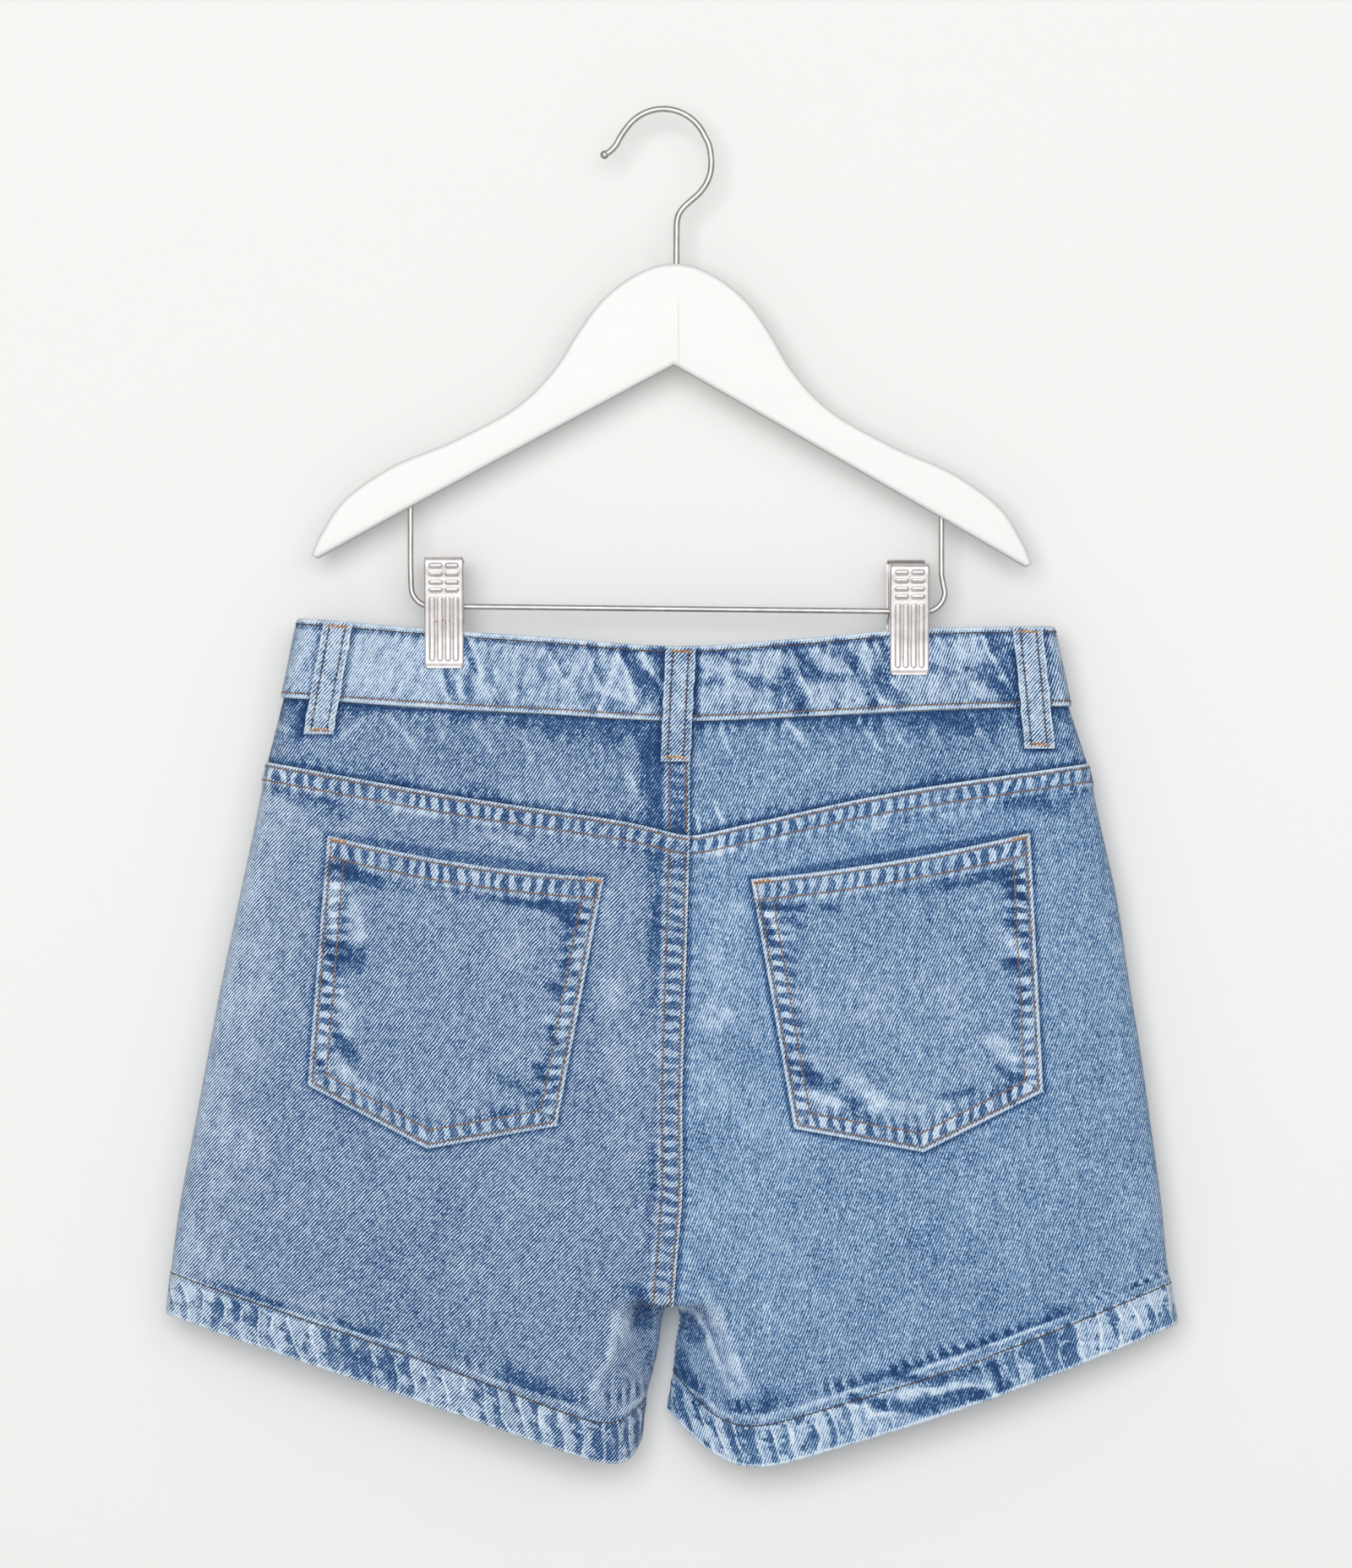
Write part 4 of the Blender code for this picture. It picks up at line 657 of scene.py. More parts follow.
# From the top down (v 0) to the hem (v 1), each with its side seam's height and four points across the panel.
Section = namedtuple("Section", "v side_z mid ridge inner seam")
BACK_LEFT = [Section(*row) for row in (
    (0, -287.8, (-93.3, -15, -303.5), (-22.4, -16, -313.6), (-7.1, -16, -317), (8.2, -16, -320.3)),
    (0.2, -338.1, (-100.7, -18, -358.3), (-25, -19.5, -369.5), (-8.6, -20, -371.7), (6.7, -20, -373.2)),
    (0.42, -396.2, (-106.9, -20, -417.9), (-27.2, -22.5, -430.9), (-10.8, -23, -433.1), (4.9, -23, -434.6)),
    (0.62, -450.6, (-113.6, -20, -473.8), (-28.6, -23.5, -481.1), (-11.5, -24.5, -483.6), (4.5, -25, -484.7)),
    (0.72, -482.4, (-118.2, -19, -507.4), (-27.2, -22.5, -510.9), (-10.8, -25, -513.7), (1.9, -26, -515.2)),
    (0.755, -493.7, (-119.7, -18.5, -518.7), (-24.9, -21.5, -522.9), (-10.8, -22.5, -525.8), (1.1, -24.5, -526.8)),
    (0.785, -498.2, (-120, -18.3, -523.1), (-24.2, -20.5, -528.9), (-11.2, -12, -527.5), (0.6, -12, -528.3)),
    (FORK, -502.7, (-120.4, -18, -527.6), (-25, -20, -535.3), (-11.6, -3, -529), (0, 4, -527.3)),
    (0.83, -504, (-120.5, -17.9, -529.6), (-25.5, -20, -539.5), (-12.8, -4, -533.5), (-2.5, 5, -529.6)),
    (0.88, -508.7, (-121.2, -17.5, -537.7), (-27.6, -19.5, -556.6), (-15.3, -6, -551.3), (-6.4, 5, -550.3)),
    (HEM_LINE, -515.4, (-119.4, -17, -547.9), (-29.4, -19, -580.5), (-18, -8, -576.2), (-11.5, 5, -571)),
    (1, -532.3, (-121.2, -17, -566.9), (-25.3, -18, -600), (-16.1, -8, -595.5), (-13.6, 5, -588.9)),
)]
BACK_RIGHT = [Section(*row) for row in (
    (0, -288.6, (95.2, -15, -301.3), (41.1, -16, -313.6), (24.3, -16, -317.3), (8.2, -16, -320.3)),
    (0.2, -339.9, (100.7, -18, -356.5), (40.3, -19.5, -368.8), (23.5, -20, -371.7), (6.7, -20, -373.2)),
    (0.42, -398.1, (108.1, -20, -416.1), (39.1, -22, -430.1), (21.6, -22.5, -432.7), (4.9, -23, -434.6)),
    (0.62, -452.4, (115.5, -20, -473.8), (36.5, -23, -480.4), (20.5, -24.5, -483.3), (4.5, -25, -484.7)),
    (0.72, -484.3, (119.3, -19, -508.2), (31.7, -23, -510.9), (16, -25, -514.5), (1.9, -26, -515.2)),
    (0.755, -494.4, (120.8, -18.5, -520.1), (26.5, -22.5, -525.1), (13, -24, -526.8), (1.1, -24.5, -526.8)),
    (0.785, -498.9, (121.6, -18.3, -526.1), (24.2, -22, -533.3), (10.8, -15, -530), (0.6, -12, -528.3)),
    (FORK, -503.4, (121.9, -18, -530.6), (24.2, -21.5, -541.7), (10.1, -5, -532.5), (0, 4, -527.3)),
    (0.83, -504.9, (122.2, -18, -532.9), (24.9, -21.3, -546.5), (10.3, -4.8, -538), (2.6, 5, -530.3)),
    (0.88, -510.2, (123.1, -18, -542.1), (27.6, -20.5, -561.4), (10.9, -4, -553.4), (1.4, 5, -548.6)),
    (HEM_LINE, -516.9, (124.9, -18, -553.6), (31.7, -20, -583), (12.4, -6, -571.9), (0.3, 5, -561.6)),
    (1, -536.8, (128.7, -17, -574.6), (34.7, -19, -602.3), (13.1, -8, -592.2), (-1.7, 5, -575.9)),
)]
FRONT_LEFT = [Section(*row) for row in (
    (0, -259.3, (-88, 7, -271.5), (-28, 9, -280.5), (-12, 9.5, -282.5), (2, 9.5, -283)),
    (0.2, -318, (-97, 12, -335), (-29, 13, -345), (-12, 13, -347), (2, 13, -348)),
    (0.42, -385, (-104, 13, -405), (-29, 14.5, -418), (-12, 15, -421), (2, 15, -422)),
    (0.62, -444, (-112, 13, -463), (-28, 15, -474), (-12, 16, -477), (1.5, 16, -478)),
    (0.74, -478, (-117, 13, -497), (-27, 15, -507), (-11, 16, -510), (0.7, 15.5, -511)),
    (0.785, -492, (-118.5, 12.8, -511), (-27, 14, -520), (-11.5, 13, -523), (0.3, 12, -523.5)),
    (FORK, -500, (-120, 12.5, -520), (-29, 14, -529), (-14, 11, -529), (0, 4, -527.3)),
    (0.83, -502, (-120.2, 12.3, -523), (-31, 13.6, -534), (-16, 11, -533.5), (-2.5, 5, -529.6)),
    (0.88, -508.7, (-121, 12, -532), (-36, 13, -551), (-20, 11, -552), (-6.4, 5, -550.3)),
    (HEM_LINE, -515.4, (-120, 12, -543), (-40, 13, -563.5), (-25, 11, -567.5), (-11.5, 5, -571)),
    (1, -532.3, (-121, 12, -560.5), (-42, 13, -581), (-27.5, 11, -585), (-13.6, 5, -588.9)),
)]
FRONT_RIGHT = [Section(*row) for row in (
    (0, -263.2, (92, 7, -273.5), (32, 9, -280.5), (16, 9.5, -282.5), (2, 9.5, -283)),
    (0.2, -320, (100, 12, -336), (33, 13, -345), (16, 13, -347), (2, 13, -348)),
    (0.42, -387, (106, 13, -406), (33, 14.5, -418), (16, 15, -421), (2, 15, -422)),
    (0.62, -446, (113, 13, -464), (32, 15, -474), (15, 16, -477), (1.5, 16, -478)),
    (0.74, -480, (118, 13, -498), (30, 15, -507), (13, 16, -510), (0.7, 15.5, -511)),
    (0.785, -493, (120, 12.8, -512), (29, 14, -520), (12.5, 13, -523), (0.3, 12, -523.5)),
    (FORK, -501, (121, 12.5, -521), (30, 14, -530), (14, 11, -529), (0, 4, -527.3)),
    (0.83, -503, (121.5, 12.3, -523.5), (31, 13.6, -534.5), (15, 11, -534), (2.6, 5, -530.3)),
    (0.88, -510.2, (122.5, 12, -530), (32, 13, -547), (16, 11, -549), (1.4, 5, -548.6)),
    (HEM_LINE, -516.9, (123, 12, -540), (32, 13, -557), (15, 11, -560), (0.3, 5, -561.6)),
    (1, -536.8, (124, 12, -557), (31, 13, -571.5), (14, 11, -574), (-1.7, 5, -575.9)),
)]
BandPoint = namedtuple("BandPoint", "x y")
BAND_LINE = [BandPoint(*row) for row in (
    (2, 8.2), (-14, 8.2), (-30, 8), (-55, 6.5), (-78, 1.9), (-90, 1.9), (-103, 1.9), (-116, 1.9), (-128, 1.9),
    (-148, 8), (-164, 8), (-171.5, 5), (-172.5, 0), (-171.5, -6), (-164, -9.5), (-148, -9), (-128, -1.9),
    (-116, -1.9), (-103, -1.9), (-90, -1.9), (-78, -1.9), (-55, -8.5), (-28, -11), (3, -11.8), (32, -11), (60, -8.5),
    (82, -1.9), (94, -1.9), (107, -1.9), (120, -1.9), (132, -1.9), (152, -9), (168, -9.5), (175.5, -6), (176.5, 0),
    (175.5, 5), (168, 8), (152, 8), (132, 1.9), (120, 1.9), (107, 1.9), (94, 1.9), (82, 1.9), (60, 6.5), (34, 8),
    (18, 8.2), (2, 8.2),
)]
# The belt loops and the pockets are placed here, because the cloth beside them is darker: unfaded cloth, with a
# painted shadow line along their edges.
LOOP_WIDTH = 13.2
Loop = namedtuple("Loop", "name side x_top x_bottom below_top reach")
LOOPS = [
    Loop("belt_loop_back_left", -1, -147.3, -156.3, 0.2, 15.0),
    Loop("belt_loop_back_middle", -1, 4.1, 1.6, 0.2, 18.0),
    Loop("belt_loop_back_right", -1, 157.4, 162.6, 0.2, 18.5),
    Loop("belt_loop_front_left", 1, -66.0, -69.0, 0.2, 12.0),
    Loop("belt_loop_front_right", 1, 70.0, 73.0, 0.2, 12.0),
]
Pocket = namedtuple("Pocket", "name mouth_sag top_left top_right bottom_right point bottom_left")
POCKETS = [
    Pocket("back_pocket_left", 3.2,
           (-152.0, -320.3), (-29.8, -338.9), (-50.7, -448.4), (-107.7, -458.5), (-160.6, -430.6)),
    Pocket("back_pocket_right", 2.4,
           (35.0, -339.7), (158.3, -319.2), (163.9, -433.5), (111.0, -460.0), (54.0, -449.6)),
]
BandEdge = namedtuple("BandEdge", "x top bottom")
BAND_EDGES_BACK = [BandEdge(*row) for row in (
    (-176, -224, -259.3), (-110, -229, -263.9), (-58, -232.6, -266.7), (3, -236.7, -269.9), (58, -233.4, -268),
    (110, -229.1, -265.2), (180, -227.8, -263.2),
)]
BAND_EDGES_FRONT = [BandEdge(*row) for row in (
    (-176, -224, -259.3), (-110, -234, -269.5), (0, -248, -283), (110, -236, -271.5), (180, -227.8, -263.2),
)]
# A crease, a wash mark or a patch of painted shade: its two ends, its width, how far it stands up, and how much
# darker it is.
Mark = namedtuple("Mark", "x0 z0 x1 z1 width lift shade")
# By the crotch, the sunken and darker marks are painted shade under its fold.
LEG_MARKS_LEFT = [Mark(*row) for row in (
    (-31, -347, -25.5, -392, 6, 0.9, -0.1), (-27, -392, -21, -440.5, 6.5, 0.8, -0.08),
    (-7, -328.5, -9.5, -392, 3.5, -0.5, 0.14), (-18.5, -522.5, -21, -541, 3.2, 0.8, -0.16),
    (-24.5, -531.5, -27, -548.5, 2.2, 0.7, -0.22), (-27, -548.5, -34, -563.5, 2.2, 0.6, -0.2),
    (-34, -563.5, -32, -574, 1.6, 0.4, -0.2), (-16, -522.5, -13, -533.5, 5, -0.9, 0.34),
    (-13, -533.5, -10, -556, 3, -0.3, 0.12), (-173.5, -298.5, -162, -306, 3.2, 0, 0.26),
    (-155.5, -306, -147, -313, 2.6, 0, 0.2), (-125, -307, -102.5, -311.5, 2.4, 0.1, -0.2),
    (-87.5, -316.5, -65, -325, 2.6, 0.1, -0.2),
)]
# By the crotch, the sunken and darker marks are painted shade under its fold and on the inner thigh.
LEG_MARKS_RIGHT = [Mark(*row) for row in (
    (28.5, -354.5, 19, -399.5, 6.5, 0.8, -0.1), (19, -399.5, 16, -436.5, 6.5, 0.7, -0.08),
    (4, -529, 11.5, -532, 1.6, 0.7, -0.3), (11.5, -532, 16, -544, 1.4, 0.6, -0.28),
    (16, -544, 28.5, -568, 1.6, 0.5, -0.22), (14.5, -521, 21.5, -535, 3.4, 0.9, -0.2),
    (21.5, -535, 28.5, -555, 3.4, 0.9, -0.18), (28.5, -555, 37, -573, 3.4, 0.8, -0.18),
    (6.5, -535, 10, -541, 4.6, -0.9, 0.28), (2, -537.5, 3, -559.5, 2.2, -0.3, 0.16),
    (4, -552, 11.5, -571, 2.4, -0.3, 0.18), (11.5, -571, 16, -578.5, 2, -0.2, 0.2),
    (17.5, -328.5, 26.5, -327, 2, 0.1, -0.24), (80, -319, 95, -315, 2, 0.1, -0.22),
    (121, -312, 136, -310.5, 1.8, 0.1, -0.2), (151, -304, 174, -309, 4, 0, 0.2),
)]
HEM_FOLD_MARKS = [Mark(*row) for row in (
    (78.5, -568, 91.5, -571, 1.7, -0.4, 0.5), (91.5, -571.5, 114, -574, 2.6, -0.5, 0.55),
    (102.5, -567, 125, -563.5, 1.4, 0.5, -0.36), (99, -558.5, 117.5, -562, 1.8, -0.3, 0.44),
    (117.5, -560.5, 136, -555.5, 1.6, -0.2, 0.4), (81, -571.5, 87.5, -576, 1, 0.5, -0.42),
    (87.5, -576, 99, -575.5, 1, 0.4, -0.36), (125, -563.5, 139, -563.5, 1.2, 0.6, -0.4),
    (139, -563.5, 143.5, -568.5, 1.1, 0.6, -0.42), (110, -571.5, 132.5, -567, 2.8, -0.6, 0.56),
    (132.5, -566, 140, -568.5, 2.4, -0.5, 0.5), (142, -553, 146.5, -563.5, 2.6, -0.3, 0.44),
    (146.5, -563.5, 151, -566.5, 2.4, -0.2, 0.36),
)]


def clamped_basis(count, at):
    """Weights of a clamped cubic B-spline with count control points."""
    knots = np.concatenate([np.zeros(3), np.linspace(0, 1, count - 2), np.ones(3)])
    at = np.clip(np.asarray(at, float), 0, 1 - 1e-9)[:, None]
    weights = ((knots[:-1] <= at) & (at < knots[1:])).astype(float)
    for degree in (1, 2, 3):
        size = len(knots) - 1 - degree
        before = knots[degree : degree + size] - knots[:size]
        after = knots[degree + 1 : degree + 1 + size] - knots[1 : size + 1]
        rise = np.where(before > 0, (at - knots[:size]) / np.where(before > 0, before, 1), 0)
        ends = knots[degree + 1 : degree + 1 + size]
        fall = np.where(after > 0, (ends - at) / np.where(after > 0, after, 1), 0)
        weights = rise * weights[:, :size] + fall * weights[:, 1 : size + 1]
    return weights


def unit(vectors):
    return vectors / np.maximum(np.linalg.norm(vectors, axis=-1, keepdims=True), 1e-9)


def outline_x(side, z):
    rows = OUTLINE[::-1]
    return through([row.z for row in rows], [row.left if side < 0 else row.right for row in rows], z)


def band_z(x, y, edge):
    """Height of the waistband's top or bottom edge, at x along its bottom edge and y from back to front."""
    back, front = (
        through([row.x for row in rows], [getattr(row, edge) for row in rows], x)
        for rows in (BAND_EDGES_BACK, BAND_EDGES_FRONT)
    )
    return back + (front - back) * smoothstep(-BAND_SIDE, BAND_SIDE, y)


def run_across(grid):
    """Distance gone along each row of a grid, seen from above."""
    step = np.hypot(*(np.diff(grid[:, :, i], axis=1) for i in (0, 1)))
    return np.concatenate([np.zeros((len(grid), 1)), np.cumsum(step, axis=1)], axis=1)


def across_grid(grid):
    """Unit vectors square to a grid of points."""
    return unit(np.cross(np.gradient(grid, axis=1), np.gradient(grid, axis=0)))


def along_run(points, gone, at):
    """Points, or other rows of three numbers, taken at distances along a line."""
    return np.stack([np.interp(at, gone, points[:, i]) for i in range(points.shape[1])], axis=1)


def run_of(points):
    """Distance gone along a line at each of its points."""
    return np.concatenate([[0], np.cumsum(np.linalg.norm(np.diff(points, axis=0), axis=1))])


def band_ring(count):
    """The band's middle line along its bottom edge, round from the centre front and back to it."""
    return clamped_basis(len(BAND_LINE), np.linspace(0, 1, count)) @ np.array([(p.x, p.y) for p in BAND_LINE])


def seam_edge(sections, v):
    knots = [s.v for s in sections]
    seam = [s.seam for s in sections]
    fork = knots.index(FORK)
    above = through(knots[: fork + 1], seam[: fork + 1], v)
    below = through(knots[fork:], seam[fork:], v)
    return np.where(np.asarray(v)[:, None] <= FORK, above, below)


def leg_net(sections, v):
    """Ten control points across the panel for each v, from the seam edge to the side seam."""
    side, facing = np.sign(sections[0].mid[0]), np.sign(sections[0].mid[1])
    knots = [s.v for s in sections]
    seam = seam_edge(sections, v)
    parts = ("inner", "ridge", "mid", "side_z")
    inner, ridge, mid, side_z = (through(knots, [getattr(s, part) for s in sections], v) for part in parts)
    edge = np.stack([outline_x(side, side_z), np.zeros(len(v)), side_z], axis=1)
    below_fork = smoothstep(FORK - 0.02, FORK + 0.02, v)[:, None]
    across = seam + (1 - below_fork) * [side * 4.0, 0, 0] + below_fork * [0, facing * 4.0, 0]
    flat = ridge + 0.3 * (mid - ridge)
    shoulder = mid + 0.6 * (edge - mid)
    shoulder[:, 1] = 0.9 * mid[:, 1]
    turn = edge + 0.12 * (mid - edge)
    turn[:, 1] = facing * SIDE_RADIUS * 1.35
    corner = edge + [0, facing * SIDE_RADIUS * 0.75, 0]
    return np.stack([seam, across, inner, ridge, flat, mid, shoulder, turn, corner, edge], axis=1)


def leg_points(sections, v, u, top=None):
    """Points of the panel's outer face, rows by columns. top, where given, is its first row."""
    net = leg_net(sections, v)
    grid = np.einsum("uc,vck->vuk", clamped_basis(net.shape[1], u), net)
    if top is not None:
        first = leg_points(sections, np.zeros(1), u)[0]
        grid += (1 - smoothstep(0, PINCH_REACH, v))[:, None, None] * (top - first)[None]
    return grid


def panel_top(sections, side, facing):
    """A function of u that gives a panel's top row, which follows the band's lower edge."""
    ring = band_ring(600)
    centre = seam_edge(sections, np.zeros(1))[0, 0]
    part = ring[(np.sign(ring[:, 1]) == facing) & ((ring[:, 0] - centre) * side > 0)]
    if (part[0, 0] - part[-1, 0]) * side > 0:
        part = part[::-1]
    widest = ring[np.argmax(ring[:, 0] * side), 0]
    edge = np.concatenate([[[centre, part[0, 1]]], part, [[widest, 0.0]]])
    fine = np.linspace(0, 1, 60)
    gone = run_of(leg_points(sections, np.zeros(1), fine)[0])
    edge_run = run_of(edge)

    def at(u):
        points = along_run(edge, edge_run, np.interp(u, fine, gone / gone[-1]) * edge_run[-1])
        z = band_z(points[:, 0], points[:, 1], "bottom") - BAND_GAP
        y = points[:, 1] + facing * 0.5 * DENIM * smoothstep(0, 4, np.abs(points[:, 1]))
        return np.stack([points[:, 0], y, z], axis=1)

    return at


def grain(x, y, seed):
    """Soft noise from -1 to 1 on a grid of unit cells."""
    table = np.random.RandomState(seed).rand(97, 97) * 2 - 1
    x, y = np.broadcast_arrays(np.asarray(x, float), np.asarray(y, float))
    i, j = np.floor(x).astype(int), np.floor(y).astype(int)
    fx, fy = x - i, y - j
    fx, fy = fx * fx * (3 - 2 * fx), fy * fy * (3 - 2 * fy)
    near = table[i % 97, j % 97] * (1 - fx) + table[(i + 1) % 97, j % 97] * fx
    far = table[i % 97, (j + 1) % 97] * (1 - fx) + table[(i + 1) % 97, (j + 1) % 97] * fx
    return near * (1 - fy) + far * fy


def hump(distance, width):
    return np.exp(-((distance / width) ** 2))


def fingers(away, reach, along, seed):
    """A fade from a seam that ends in ragged fingers."""
    end = reach * (1 + 0.5 * grain(along / 2.3, away / 12, seed) + 0.35 * grain(along / 7, 0, seed + 1))
    return (1 - smoothstep(0.25 * end, 1.25 * end, away)) * smoothstep(-0.5, 0.3, away)


def from_line(x, z, a, b):
    """Distance of x and z from the line through a and b, positive on the left of the way from a to b."""
    way = unit(np.array(b, float) - a)
    return (x - a[0]) * -way[1] + (z - a[1]) * way[0]


def beside(x, z, *shapes):
    """Distance of x and z from the nearest of some flat shapes, whose corners run anticlockwise."""
    return np.min([np.max([-from_line(x, z, a, b) for a, b in zip(shape, shape[1:] + shape[:1])], axis=0)
                   for shape in shapes], axis=0)


def loop_z(x, facing, edge):
    """Height of the band's edge at one x, on the back (-1) or on the front (1)."""
    return float(band_z([x], [facing * 2 * BAND_SIDE], edge)[0])


def loop_ends(loop):
    """Heights of a belt loop's two ends."""
    return (loop_z(loop.x_top / BAND_TAPER, loop.side, "top") - loop.below_top,
            loop_z(loop.x_bottom, loop.side, "bottom") - loop.reach)


def pocket_outline(pocket):
    """A pocket's five corners, anticlockwise from the left end of its mouth."""
    return [pocket.top_left, pocket.bottom_left, pocket.point, pocket.bottom_right, pocket.top_right]


def loop_shapes(side):
    shapes = []
    for loop in (loop for loop in LOOPS if loop.side == side):
        top, bottom = loop_ends(loop)
        shapes.append([(loop.x_top - LOOP_WIDTH / 2, top), (loop.x_bottom - LOOP_WIDTH / 2, bottom),
                       (loop.x_bottom + LOOP_WIDTH / 2, bottom), (loop.x_top + LOOP_WIDTH / 2, top)])
    return shapes


def roped(along, away, pitch, slant, seed):
    """Slanted ridges (up to 1) and hollows (down to -1) that a seam or hem takes on in the wash, unevenly spaced."""
    phase = (along + slant * away) / pitch + 0.7 * grain(along / (2.2 * pitch), away / (4 * pitch), seed)
    cell = np.floor(phase)
    part = phase - cell
    strength = 0.62 + 0.38 * grain(cell + 0.5, 0.5, seed + 1)
    return strength * (hump(part - 0.22, 0.13) - 0.9 * hump(part - 0.58, 0.2))


def worn(x, z, seed):
    """The cloudy, uneven fading of the whole cloth."""
    return (0.03 * grain(x / 55, z / 70, seed) + 0.045 * grain(x / 17, z / 23, seed + 1)
            + 0.05 * grain(x / 6, z / 8, seed + 2) + 0.06 * grain(x / 2.6, z / 4.4, seed + 3))


def marked(x, z, marks, seed):
    """Lift and shade of the marks at x and z, with ragged edges."""
    x = x + 0.9 * grain(x / 4.5, z / 4.5, seed) + 0.35 * grain(x / 1.6, z / 1.6, seed + 1)
    z = z + 0.9 * grain(x / 4.5, z / 4.5, seed + 2)
    lift, shade = np.zeros_like(x), np.zeros_like(x)
    patchy = 0.85 + 0.3 * grain(x / 2.4, z / 2.4, seed + 3)
    for mark in marks:
        reach = 3 * mark.width + 2
        box = ((x > min(mark.x0, mark.x1) - reach) & (x < max(mark.x0, mark.x1) + reach)
               & (z > min(mark.z0, mark.z1) - reach) & (z < max(mark.z0, mark.z1) + reach))
        if not box.any():
            continue
        px, pz = x[box] - mark.x0, z[box] - mark.z0
        dx, dz = mark.x1 - mark.x0, mark.z1 - mark.z0
        share = np.clip((px * dx + pz * dz) / max(dx * dx + dz * dz, 1e-6), 0, 1)
        away = np.hypot(px - share * dx, pz - share * dz)
        lift[box] += mark.lift * hump(away, mark.width)
        shade[box] += mark.shade * (1 - smoothstep(0.45 * mark.width, 1.6 * mark.width, away)) * patchy[box]
    return lift, 0.48 * np.tanh(shade / 0.48)


def doubled(width, away):
    """1 where the layers of a seam lie on each other, sloping to 0 beside them."""
    return 1 - smoothstep(width, width + SEAM_SLOPE, away)


def felled(along, away, rows, seed, slant=0.2):
    """Lift, shade and puckers of a felled seam: its folded edge at away 0, then its two rows of stitches."""
    first, last = rows
    body = smoothstep(first + 0.1, first + 0.8, away) * (1 - smoothstep(last - 0.7, last, away))
    beyond = smoothstep(last, last + 0.5, away) * (1 - smoothstep(last + 0.5, last + 9, away))
    row = hump(away - first, 0.55) + hump(away - last, 0.55)
    strip = hump(away - last - 1.5, 1.1) * (0.6 + 0.6 * grain(along / 3.0, away / 3, seed + 3))
    fade = fingers(away - last - 2.4, 5.0, along, seed + 4) * (0.5 + 0.9 * grain(along / 26, 0, seed + 5)).clip(0, 1)
    lift = 0.15 * hump(away - 0.2, 1.1) - 0.34 * row + 0.10 * strip
    shade = 0.06 * row - 0.20 * strip + 0.20 * fade
    return lift, shade, ((along + slant * away) / PUCKER, away, body + 0.5 * beyond, 0 * body)


def hemmed(along, below, edge, slant, seed):
    """Lift, shade and roping of a hem: below is the distance under its stitching, and edge that to its fold."""
    rope = roped(along, below, 7.6, slant, seed)
    depth = smoothstep(0.4, 2.0, below)
    uneven = 0.55 + 0.5 * grain(along / 2.5, 0, seed + 2) + 0.9 * grain(along / 15, 0, seed + 6)
    above = hump(below + 1.9 + 0.9 * grain(along / 5, 0, seed + 7), 1.3) * uneven.clip(0, 1.2)
    high = fingers(-below - 3.0, 7.0, along, seed + 4) * (0.45 + 1.3 * grain(along / 17, 0, seed + 5)).clip(0, 1)
    row = hump(below, 0.6)
    lift = 0.30 * rope * depth - 0.3 * row + 0.15 * above
    shade = -0.06 * rope * depth - 0.10 * depth - 0.26 * above + 0.28 * high + 0.06 * row
    roping = depth * (1 - 0.25 * smoothstep(9, 17, below))
    puckers = hump(below + 6.2, 2.8) * (0.6 + 1.1 * grain(along / 10, 0, seed + 8)).clip(0, 1)
    return lift, shade, ((along + slant * below) / PUCKER, below, 0.8 * puckers, roping)


def strongest(*seams):
    """The seam that tells most at each point: the run along it, the distance from it, its puckers and its roping."""
    strength = np.array([np.maximum(seam[2], seam[3]) + 0 * seam[0] for seam in seams])
    ranked = np.sort(strength, axis=0)
    lead = (ranked[-1] - ranked[-2]) / np.maximum(ranked[-1], 1e-6) if len(seams) > 1 else 1.0
    first = np.argmax(strength, axis=0)
    run, away, puckers, roping = (np.choose(first, [seam[i] + 0 * seam[0] for seam in seams]) for i in range(4))
    return run, away, puckers * lead, roping * lead


